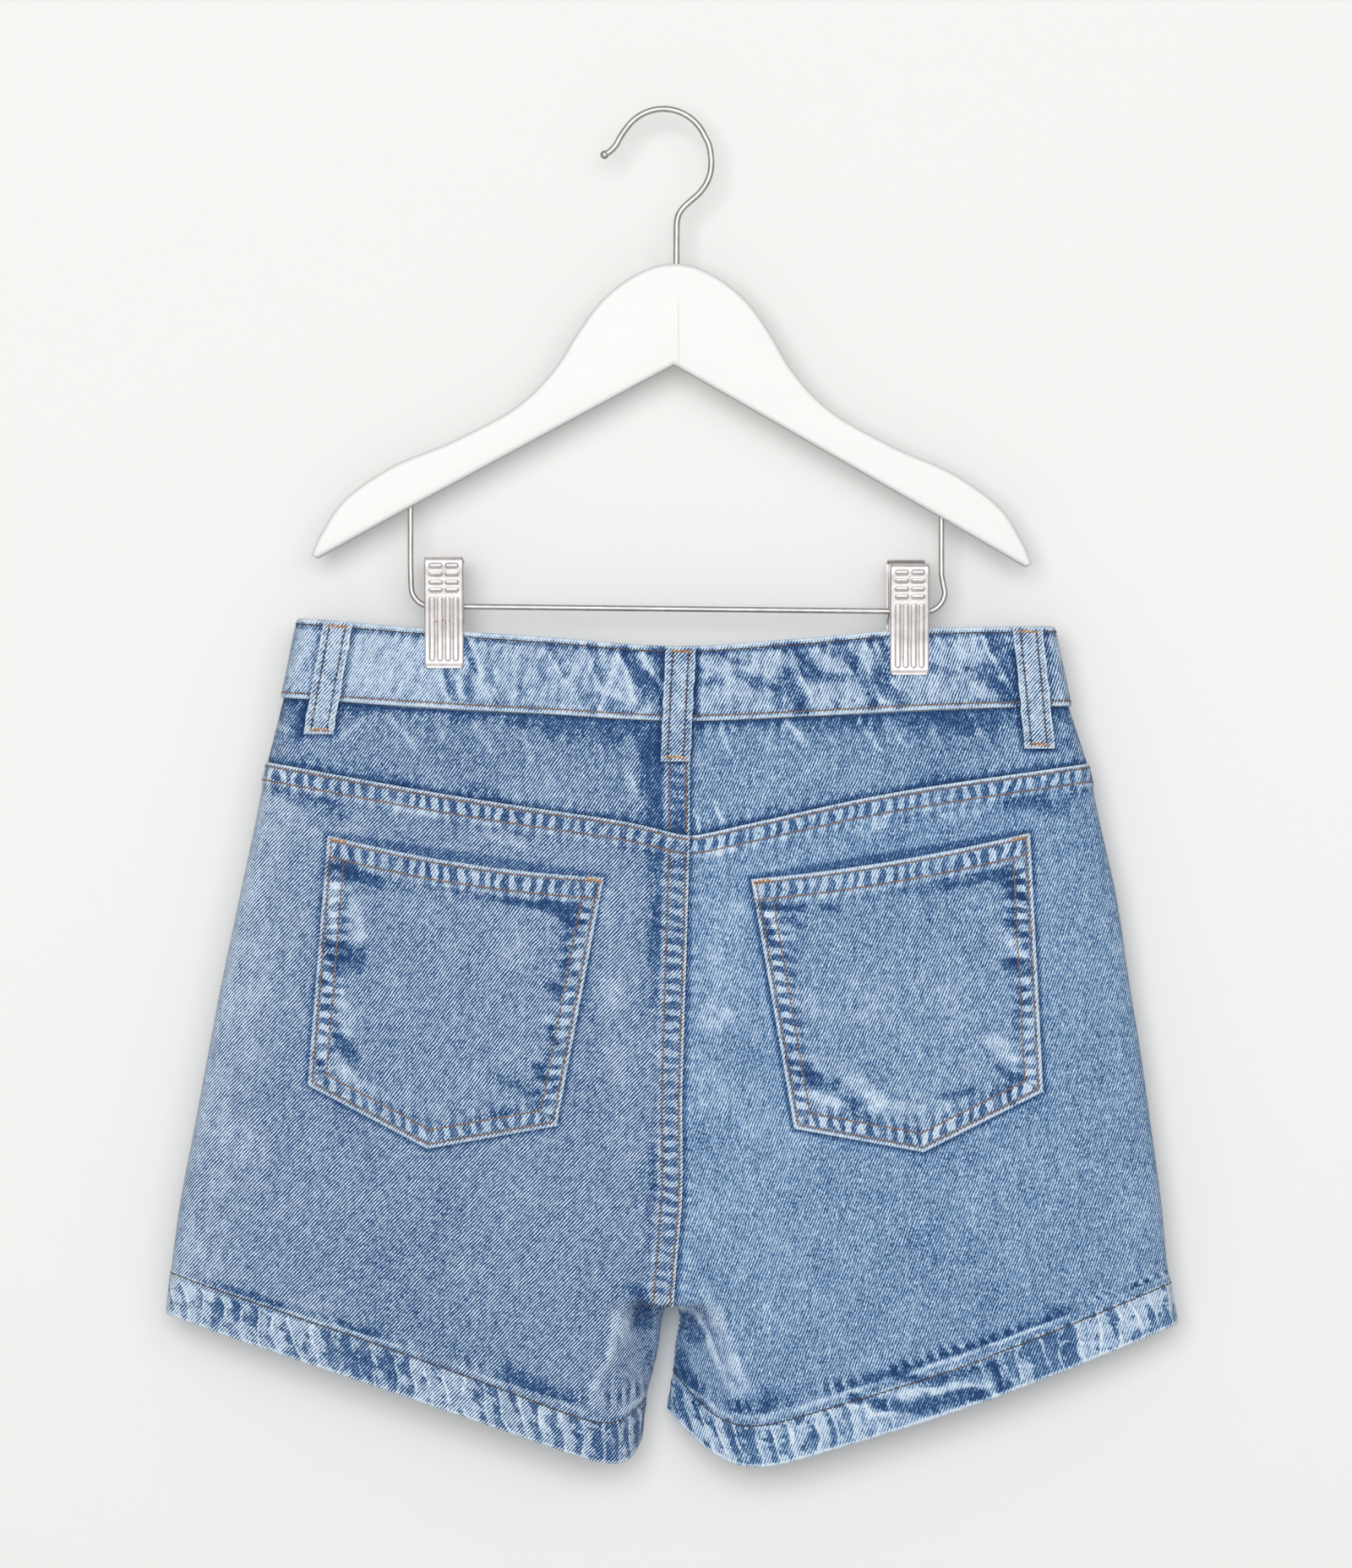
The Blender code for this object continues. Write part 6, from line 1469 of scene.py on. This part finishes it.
buttoned = (np.arange(len(ring)) < len(ring) / 2) & (ring[:, 1] > 0)
ring[:, 1] += OVERLAP_STEP * smoothstep(*OVERLAP_RISE, ring[:, 0]) * buttoned
line = np.concatenate([[[OVERLAP_OVER, ring[0, 1]]], ring, [[OVERLAP_UNDER, ring[-1, 1]]]])
gone = run_of(line)
density = np.interp(gone, gone, np.where(line[:, 1] < 0, 1 / 0.78, 1 / 1.7))
places = np.concatenate([[0], np.cumsum(np.diff(gone) * (density[1:] + density[:-1]) / 2)])
places = np.interp(np.linspace(0, places[-1], int(places[-1] * BAND_FINENESS)), places, gone)
line = along_run(line, gone, places)
tangent = unit(np.gradient(line, axis=0))
outward = np.stack([-tangent[:, 1], tangent[:, 0]], axis=1)
outward *= np.sign(np.sum(outward * (line - [2.0, 0.0])))
band_top = band_z(line[:, 0], line[:, 1], "top")
band_foot = band_z(line[:, 0], line[:, 1], "bottom")
level = spaced([(0.06, 0.012), (0.94, 0.021), (1.0, 0.012)])[:, None]
height = band_top - band_foot
down, up = level * height, (1 - level) * height
x = line[None, :, 0] * (BAND_TAPER + (1 - BAND_TAPER) * level)
z = band_top - down
middle = np.stack([x, np.broadcast_to(line[:, 1], x.shape), z], axis=-1)
weave_x = np.broadcast_to(places, x.shape)
hidden = mirrored(BAND_MARKS[:34] + BAND_MARKS[-8:], 411)
rear = (line[:, 1] < 0)[None]
rear_lift, rear_shade = marked(x, z, BAND_MARKS, 400)
fore_lift, fore_shade = marked(x, z, hidden, 405)
lift = np.where(rear, rear_lift, fore_lift * 0.6)
toward_right = np.tanh(weave_x / 60)  # the band is paler on the left
shade = BASE - 0.075 - 0.13 * toward_right + worn(weave_x * 1.3, z * 1.3, 420) * 1.4
shade = shade + np.where(rear, rear_shade, fore_shade * 0.8) * (1.2 - 0.2 * toward_right)
drawn = roped(weave_x, down, 9.5, 0.3, 450) * smoothstep(3, 7, down) * smoothstep(3, 7, up)
lift = lift + 0.16 * drawn
shade = shade - 0.08 * drawn
gathers = 0.6 * hump(down - 5.0, 2.4) + 0.5 * hump(up - 5.0, 2.4)
rows = hump(down - BAND_STITCH_TOP, 0.6) + hump(up - BAND_STITCH_FOOT, 0.6)
lift = lift - 0.30 * rows
# Darker along the stitch rows and at the foot's edge, and a painted shade line in the groove just under the top
# stitches.
shade = shade + 0.10 * rows + 0.15 * hump(up, 0.5) + 0.30 * hump(down - BAND_STITCH_TOP - 0.5, 0.9)
# near is the distance from the belt loops lying over the band, beside which the shader paints a shadow line.
near = np.where(rear, beside(x, z, *loop_shapes(-1)), beside(x, z, *loop_shapes(1))).clip(0, 9)
half_wall = BAND_WALL / 2
rim = np.minimum(down, up)
rounded = half_wall * np.sqrt(np.clip(1 - (1 - np.clip(rim / half_wall, 0, 1)) ** 2, 0, 1)).clip(0.25, 1)
push = np.concatenate([outward, np.zeros((len(line), 1))], axis=1)[None]
pinched = np.minimum(np.abs(x - CLIPS[0].x), np.abs(x - CLIPS[1].x)) < PLATE_WIDTH / 2 + 1
lift = np.where(pinched & (z > GRIPPED_ABOVE_Z), np.minimum(lift, 0.0), lift)
band = Cloth("band", middle + push * (rounded + lift)[:, :, None], middle - push * (rounded - lift * 0.3)[:, :, None],
             shade, (weave_x, z), 61, ((weave_x + 0.25 * down) / PUCKER, down, 0.6 * gathers, 0.16), rim, near)
fit(band.thing, denim, "denim", "waistband")
sew("band_thread_top", [band.line(0, BAND_STITCH_TOP, (0.004, 0.996))], "brown")
sew("band_thread_foot", [band.line(0, -BAND_STITCH_FOOT, (0.004, 0.996))], "tan")

# ---------------------------------------------------------------- shorts: back pockets
# Five-cornered patch pockets. The mouth is hemmed with two rows of stitches, the other edges are turned in and
# top-stitched twice, and a short bar tack in orange thread holds each end of the mouth.

LAY_GAP = 0.55
POCKET_HEM_DEPTH = 10.0
MOUTH_ROWS = (1.9, 9.3)
EDGE_ROWS = (2.0, 8.0)
POCKET_GRID = (118, 114)
POCKET_TACK = 7.4
POCKET_HEM_EXTRA = 0.8
POCKET_EDGE_EXTRA = 0.5
POCKET_MARKS_LEFT = [Mark(*row) for row in (
    (-153, -334.5, -143, -336, 3.6, 0, 0.42), (-143, -336, -130, -341, 2.6, 0, 0.38),
    (-78.5, -348.5, -58, -351, 1.3, 0, 0.26), (-56, -350, -47.5, -355.5, 2.8, 0, 0.4),
    (-48, -354.5, -40.5, -360, 2.8, 0, 0.36), (-154.5, -366, -150, -377, 2.4, 0, 0.3),
    (-148.5, -370.5, -137, -373, 3.4, 0, 0.3), (-147, -374.5, -138.5, -379, 3.4, 0, 0.26),
    (-155.5, -384.5, -152.5, -386.5, 1.6, 0, 0.32), (-146.5, -410, -140.5, -418.5, 2.8, 0, 0.4),
    (-157.5, -418, -154, -422.5, 1.8, 0, 0.26), (-55, -385, -49.5, -389.5, 2.2, 0, 0.28),
    (-46, -377, -42, -383.5, 2, 0, 0.3), (-75, -427.5, -61, -433, 2.8, 0, 0.24),
    (-59.5, -422.5, -53.5, -430.5, 2, 0, 0.26), (-52.5, -405.5, -50.5, -414, 1.6, 0, 0.28),
    (-146.5, -342.5, -138.5, -363.5, 4.4, 0, -0.22), (-148, -387.5, -142, -405.5, 3.6, 0, -0.2),
    (-150, -422.5, -140, -429, 2.8, 0, -0.34), (-136, -431.5, -126.5, -436.5, 2.8, 0, -0.3),
    (-151, -342, -148.5, -362, 1.6, 0, -0.26),
)]
POCKET_MARKS_RIGHT = [Mark(*row) for row in (
    (36.5, -351, 50.5, -352.5, 1.9, 0, 0.42), (50.5, -351.5, 58, -352.5, 1.7, 0, 0.4),
    (66, -352, 72.5, -352.5, 1.4, 0, 0.3), (40, -356, 42.5, -363.5, 1.7, 0, 0.36),
    (42, -363.5, 46.5, -369.5, 1.7, 0, 0.3), (52, -357, 57, -360, 1.6, 0, 0.26),
    (121, -343.5, 140, -339.5, 1.3, 0, 0.26), (142, -339, 152.5, -339.5, 2.6, 0, 0.38),
    (149.5, -344, 155.5, -349.5, 2.6, 0, 0.34), (147.5, -377, 157, -378.5, 2.8, 0, 0.4),
    (149.5, -358.5, 155.5, -365, 2.2, 0, 0.26), (154, -386.5, 156, -395.5, 1.8, 0, 0.24),
    (44.5, -392, 47.5, -396.5, 1.8, 0, 0.24), (58, -424.5, 64.5, -427, 2.4, 0, 0.4),
    (63, -427.5, 72, -430, 2.4, 0, 0.34), (51, -420, 55.5, -428.5, 2, 0, 0.3),
    (143.5, -422.5, 153, -427.5, 2.2, 0, 0.36), (147.5, -432, 151.5, -439, 1.8, 0, 0.26),
    (121, -435, 132.5, -433.5, 2, 0, 0.26), (76.5, -436.5, 81, -439, 1.8, 0, 0.24),
    (43.5, -353, 49.5, -369.5, 2.2, 0, -0.24), (149.5, -366, 154, -374, 2.6, 0, -0.26),
    (87.5, -439, 110, -441, 2, 0, -0.24), (58, -433.5, 72.5, -438, 2.2, 0, -0.3),
    (80, -429, 91.5, -436.5, 3, 0, -0.2), (140, -410.5, 153, -418, 3, 0, -0.22),
)]


def search_tree(*things):
    """A search tree over the outside of some pieces."""
    vertices, faces = [], []
    for thing in things:
        base = len(vertices)
        co = np.empty(len(thing.data.vertices) * 3, np.float32)
        thing.data.vertices.foreach_get("co", co)
        vertices += co.reshape(-1, 3).tolist()
        faces += [[base + i for i in face.vertices] for face in thing.data.polygons]
    return BVHTree.FromPolygons(vertices, faces)


def outside(tree, x, z, facing):
    """Where the outside lies at x and z, and the way that it faces there."""
    hit, normal = tree.ray_cast(Vector((x * MM, facing * 0.2, z * MM)), Vector((0, -facing, 0)))[:2]
    return (hit.y / MM, normal) if hit else (0.0, Vector((0, facing, 0)))


def rests(tree, x, z, facing):
    """Where the outside lies at each point of a grid."""
    return np.array([[outside(tree, a, b, facing)[0] for a, b in zip(*row)] for row in zip(x, z)])


def laid_on(tree, corners, facing, lift=0.0):
    """A straight-edged line laid on the outside: its points and normals."""
    corners = np.asarray(corners, float)
    gone = run_of(corners)
    steps = np.linspace(0, gone[-1], max(int(gone[-1] / 0.8), 2))
    line, normals = [], []
    for x, z in zip(np.interp(steps, gone, corners[:, 0]), np.interp(steps, gone, corners[:, 1])):
        y, normal = outside(tree, x, z, facing)
        line.append((x, y + facing * lift, z))
        normals.append(Vector(normal) + Vector((0, facing, 0)))
    return np.array(line), unit(np.array(normals))


def relaxed(ys, rounds):
    """The same surface with its small steps smoothed away, held at its border."""
    ys = ys.copy()
    for _ in range(rounds):
        ys[1:-1, 1:-1] = (ys[1:-1, 1:-1] * 2 + ys[:-2, 1:-1] + ys[2:, 1:-1] + ys[1:-1, :-2] + ys[1:-1, 2:]) / 6
    return ys


def mouth_line(pocket, share):
    """Points of the pocket's sagging mouth, at shares of its length."""
    line = np.array(pocket.top_left) + np.subtract(pocket.top_right, pocket.top_left) * share[:, None]
    line[:, 1] -= pocket.mouth_sag * 4 * share * (1 - share)
    return line


def patch_pocket(pocket, tree, angle, marks, seed):
    s, t = (np.linspace(0, 1, count) for count in POCKET_GRID)
    width = pocket.bottom_right[0] - pocket.bottom_left[0]
    point_share = (pocket.point[0] - pocket.bottom_left[0]) / width
    s = np.sort(np.append(s, point_share))
    mouth = mouth_line(pocket, s)
    foot = along_run(np.array([pocket.bottom_left, pocket.point, pocket.bottom_right]), [0, point_share, 1], s)
    flat = mouth[None] + (foot - mouth)[None] * t[:, None, None]
    x, z = flat[:, :, 0], flat[:, :, 1]
    depth = t[:, None] * (mouth[:, 1] - foot[:, 1])[None]
    corners = pocket_outline(pocket)
    edges = [from_line(x, z, a, b) for a, b in zip(corners, corners[1:])]
    edge = np.min(edges, axis=0)
    nearest = np.argmin(edges, axis=0)
    along = np.choose(nearest, [z, x + 200, x + 400, z + 600])
    ys = rests(tree, x[::2, ::2], z[::2, ::2], -1)
    rows, columns = np.arange(0, len(t), 2), np.arange(0, len(s), 2)
    ys = np.minimum(relaxed(ys, 6), ys + 0.25)
    full = np.array([np.interp(np.arange(len(s)), columns, row) for row in ys])
    base = np.array([np.interp(np.arange(len(t)), rows, full[:, k]) for k in range(len(s))]).T - LAY_GAP

    shade = BASE - 0.04 + worn(x, z, seed)
    lift, mark_shade = marked(x, z, marks, seed + 5)
    shade = shade + mark_shade
    hem_lift, hem_shade, mouth_seam = felled(x, depth, MOUTH_ROWS, seed + 10, 0.1)
    inside_hem = smoothstep(0, 3, edge)
    puckers = (smoothstep(2.1, 2.8, edge) * (1 - smoothstep(7.4, 8.0, edge))
               + 0.5 * smoothstep(8.0, 8.6, edge) * (1 - smoothstep(8.6, 17, edge))) * smoothstep(9, 12, depth)
    side_seam = ((along + 0.05 * edge) / PUCKER, edge, puckers, 0 * x)
    mouth_seam = (*mouth_seam[:2], mouth_seam[2] * inside_hem, mouth_seam[3])
    clear = smoothstep(9, 13, depth)
    rows_here = (hump(edge - EDGE_ROWS[0], 0.55) + hump(edge - EDGE_ROWS[1], 0.55)) * smoothstep(8, 11, depth)
    cloud = grain(x / 8, z / 8, seed + 22) * hump(edge - 11, 7)
    pale_edge = hump(edge - 4.5, 3.0) * (0.4 + 0.6 * grain(along / 6, 0, seed + 23))
    lift = lift + hem_lift * inside_hem - 0.30 * rows_here + 0.10 * hump(edge, 1.1)
    shade = (shade + hem_shade * inside_hem + 0.06 * rows_here + 0.10 * cloud - 0.08 * pale_edge * clear
             + 0.14 * fingers(edge - 8.6, 4.0, along, seed + 24) * clear)
    wall = (DENIM + POCKET_HEM_EXTRA * (1 - smoothstep(POCKET_HEM_DEPTH - 1, POCKET_HEM_DEPTH + 1, depth))
            + POCKET_EDGE_EXTRA * (1 - smoothstep(8.0, 11.0, edge)))
    rim = np.minimum(edge, np.minimum(depth, 3.0))
    roll = 0.55 * (1 - smoothstep(0.0, 1.2, rim))
    outer = np.stack([x, base - wall - lift + roll, z], axis=-1)
    inner = np.stack([x, base, z], axis=-1)
    piece = Cloth(f"{pocket.name}_patch", outer, inner, shade, (x, z), angle, strongest(mouth_seam, side_seam),
                  np.minimum(edge, depth))
    fit(piece.thing, denim, "denim", pocket.name)
    under = "back_leg_left" if x.mean() < 0 else "back_leg_right"
    return piece


def pocket_stitching(pocket, piece):
    """Two rows round the sides and foot, two along the mouth, and a bar tack at each end of the mouth."""
    tree = search_tree(piece.thing)
    ring = [np.array(corner) for corner in pocket_outline(pocket)]
    rows = []
    for inset, start in zip(EDGE_ROWS, (1.2, 9.5)):
        ways = [unit(b - a) for a, b in zip(ring, ring[1:])]
        shifted = [(a + np.array([-w[1], w[0]]) * inset, w) for a, w in zip(ring, ways)]
        path = [shifted[0][0] + ways[0] * start]
        for (a, w), (b, q) in zip(shifted, shifted[1:]):
            cross = w[0] * q[1] - w[1] * q[0]
            path.append(a + w * ((b[0] - a[0]) * q[1] - (b[1] - a[1]) * q[0]) / cross)
        last, way = shifted[-1]
        path.append(ring[-1] + np.array([-way[1], way[0]]) * inset - way * start)
        rows.append(laid_on(tree, path, -1))
    sew(f"{pocket.name}_thread", rows)
    mouth = mouth_line(pocket, np.linspace(0.015, 0.985, 40))
    sew(f"{pocket.name}_mouth_thread", [laid_on(tree, mouth - [0, depth], -1) for depth in MOUTH_ROWS])
    tacks = []
    for corner, inward in ((pocket.top_left, 1), (pocket.top_right, -1)):
        way = unit(np.array(pocket.top_right) - pocket.top_left)
        start = np.array(corner) + way * inward * 0.9 + np.array([0, -1.4])
        for k in range(3):
            low = np.array([0, -0.45 * k])
            tacks.append(laid_on(tree, [start + low, start + low + way * inward * POCKET_TACK], -1, -0.15))
    sew(f"{pocket.name}_bar_tacks", tacks, "orange", 1.5, 0.75)


body_tree = search_tree(*(p.thing for p in list(panels.values()) + list(yokes.values()) + [band]))
for pocket, angle, marks, seed in zip(POCKETS, (52, 65), (POCKET_MARKS_LEFT, POCKET_MARKS_RIGHT), (500, 540)):
    pocket_stitching(pocket, patch_pocket(pocket, body_tree, angle, marks, seed))

# ---------------------------------------------------------------- shorts: fly and waist button
# The fly is a folded flap with a rounded foot, stitched in the shape of a J. A pressed nickel button with a
# raised rim fastens the overlapped ends of the band above it.

FLY_WIDTH = 32.0
FLY_LENGTH = 104.0
FLY_EDGE_X = 4.0
FLY_CURVE = 0.22
FLY_FOOT = 0.93
FLY_WALL = 1.68
FLY_ROWS = (1.9, 6.3)
FLY_GRID = (84, 30)
BUTTON_SHANK = 3.6
Step = namedtuple("Step", "radius rise")
BUTTON_STEPS = [
    Step(BUTTON_SHANK, 0.8), Step(7.9, 0.0), Step(8.5, 0.7), Step(8.1, 1.3), Step(7.5, 0.3), Step(6.9, 0.1),
    Step(6.1, -0.5), Step(5.1, 0.1), Step(2.5, 0.15),
]

fly_top = loop_z(FLY_EDGE_X - FLY_WIDTH / 2, 1, "bottom") - 1.0
t, s = (np.linspace(0, 1, count) for count in FLY_GRID)
foot = np.maximum(0.0, t - 1 + FLY_CURVE) / FLY_CURVE
flap_width = FLY_WIDTH * np.sqrt(1 - (foot * FLY_FOOT) ** 2)
x = FLY_EDGE_X - flap_width[:, None] * s[None]
z = fly_top - FLY_LENGTH * t[:, None] + 0 * x
y = relaxed(rests(body_tree, x, z, 1), 4) + LAY_GAP
edge = FLY_EDGE_X - x
lift, mark_shade, flap_seam = felled(z, edge, FLY_ROWS, 600, 0.3)
shade = BASE + worn(x, z, 605) + mark_shade
from_curve = (1 - s[None]) * flap_width[:, None]
curve_row = hump(from_curve - 4.0, 0.6) * (t[:, None] < 0.98)
lift = lift - 0.3 * curve_row
flap = Cloth("fly", np.stack([x, y + FLY_WALL + lift, z], axis=-1), np.stack([x, y, z], axis=-1), shade, (x, z), 120,
             flap_seam, np.minimum(edge, from_curve))
fit(flap.thing, denim, "denim", "fly_flap")
fly_tree = search_tree(flap.thing)
j_line = [(FLY_EDGE_X - w + 4.0, h) for w, h in zip(flap_width, fly_top - FLY_LENGTH * t) if w > 9]
edge_row = [(FLY_EDGE_X - FLY_ROWS[0], z) for z in (fly_top - 1, fly_top - FLY_LENGTH + 8)]
sew("fly_thread", [laid_on(fly_tree, row, 1) for row in ([(a, b + 2.5) for a, b in j_line], edge_row)])

button_x = (OVERLAP_OVER + OVERLAP_UNDER) / 2
button_z = (loop_z(button_x, 1, "top") + loop_z(button_x, 1, "bottom")) / 2
button_y = outside(body_tree, button_x, button_z, 1)[0] + SEAM_GAP
button_centre = [MM * at for at in (button_x, button_y, button_z)]
deselect()
bpy.ops.mesh.primitive_circle_add(vertices=64, radius=BUTTON_SHANK * MM, fill_type="NGON", location=button_centre,
                                  rotation=(math.radians(-90), 0, 0))
button = bpy.context.object
button.name = "pressed_button"
bpy.ops.object.mode_set(mode="EDIT")
bpy.ops.mesh.select_all(action="SELECT")
last = BUTTON_SHANK
for radius, rise in BUTTON_STEPS:
    bpy.ops.mesh.extrude_region_move(TRANSFORM_OT_translate={"value": (0, rise * MM, 0)})
    share = radius / last
    bpy.ops.transform.resize(value=(share, 1, share), center_override=(button_centre[0], 0, button_centre[2]))
    last = radius
bpy.ops.object.mode_set(mode="OBJECT")
button = settle(button)
bpy.ops.object.shade_smooth_by_angle(angle=math.radians(50))
fit(button, pressed, "steel", "waist_button")

# ---------------------------------------------------------------- shorts: belt loops
# Five strips folded in three, with two rows of brown stitches and pale, cord-like edges. Each is tacked in
# orange thread to the band's top edge and to the cloth below the band, and bows away between the tacks.

LOOP_WALL = 1.6
LOOP_BOW = 2.2
LOOP_ROWS = 3.1  # of stitches, from each edge
LOOP_GRID = (92, 27)
LOOP_TACK = 9.2


def belt_loop(loop, tree, seed):
    top_z, bottom_z = loop_ends(loop)
    t, s = np.linspace(0, 1, LOOP_GRID[0]), np.linspace(-0.5, 0.5, LOOP_GRID[1])
    wavy = 0.3 * grain((t[:, None] * 46 + 9 * (s > 0)) / 3.2, 0, seed + 6) * np.abs(2 * s)[None] ** 3
    x = loop.x_top + (loop.x_bottom - loop.x_top) * t[:, None] + s[None] * (LOOP_WIDTH + 2 * wavy)
    z = top_z + (bottom_z - top_z) * t[:, None] + 0 * x
    ends = []
    for middle, height in ((loop.x_top, top_z - 3), (loop.x_bottom, bottom_z)):
        ys = np.array([outside(tree, middle + a * LOOP_WIDTH, height, loop.side)[0] for a in s]) * loop.side
        ends.append(loop.side * np.max([np.roll(ys, k) for k in (-1, 0, 1)], axis=0))
    start, stop = ends
    base = start[None] + (stop - start)[None] * t[:, None]
    bow = 1.5 * LAY_GAP + LOOP_BOW * np.sin(math.pi * t) ** 0.6
    base = base + loop.side * bow[:, None]
    edge = (0.5 - np.abs(s))[None] * LOOP_WIDTH + 0 * x
    end = np.minimum(t, 1 - t)[:, None] * (top_z - bottom_z)
    ridge = hump(edge - 1.4, 1.2)
    row = hump(edge - LOOP_ROWS, 0.6)
    lift = 0.22 * ridge - 0.28 * row
    paler = 0.12 if loop.name.endswith("middle") else 0.28
    shade = BASE - paler + worn(x, z, seed + 1) * 1.5 + 0.16 * row + 0.10 * hump(end - 4.5, 2.5)
    puckers = 0.5 * hump(edge - 1.2, 1.2) + 0.35 * hump(edge - 4.4, 1.0)
    seam = (z * 1.3 / PUCKER + 40 * (s > 0)[None], edge, puckers, 0)
    roll = 0.5 * (1 - smoothstep(0.0, 1.3, edge)) + 0.4 * (1 - smoothstep(0, 1.0, end))
    outer = np.stack([x, base + loop.side * (LOOP_WALL + lift - roll), z], axis=-1)
    inner = np.stack([x, base, z], axis=-1)
    piece = Cloth(f"{loop.name}_strip", outer, inner, shade, (x, z), 50, seam, 1.7 * np.minimum(edge, end))
    fit(piece.thing, denim, "pale_denim", loop.name)
    (top_z - bottom_z) * MM
    own = search_tree(piece.thing)
    head, tail = np.array([loop.x_top, top_z]), np.array([loop.x_bottom, bottom_z])
    way = unit(tail - head)
    rows = [laid_on(own, [head + [a, 0] + way * 2.2, tail + [a, 0] - way * 2.2], loop.side)
            for a in (LOOP_ROWS - LOOP_WIDTH / 2, LOOP_WIDTH / 2 - LOOP_ROWS)]
    sew(f"{loop.name}_thread", rows, "brown")
    tacks = []
    for middle in (head + way * 2.0, tail - way * 2.2):
        for k in range(2):
            at = middle + way * 0.5 * k
            ends = [at + [-LOOP_TACK / 2, 0.2], at + [LOOP_TACK / 2, -0.2]]
            tacks.append(laid_on(own, ends, loop.side, 0.12 * loop.side))
    sew(f"{loop.name}_tacks", tacks, "orange", 1.6, 0.8)


for seed, loop in enumerate(LOOPS):
    belt_loop(loop, body_tree, 700 + 10 * seed)
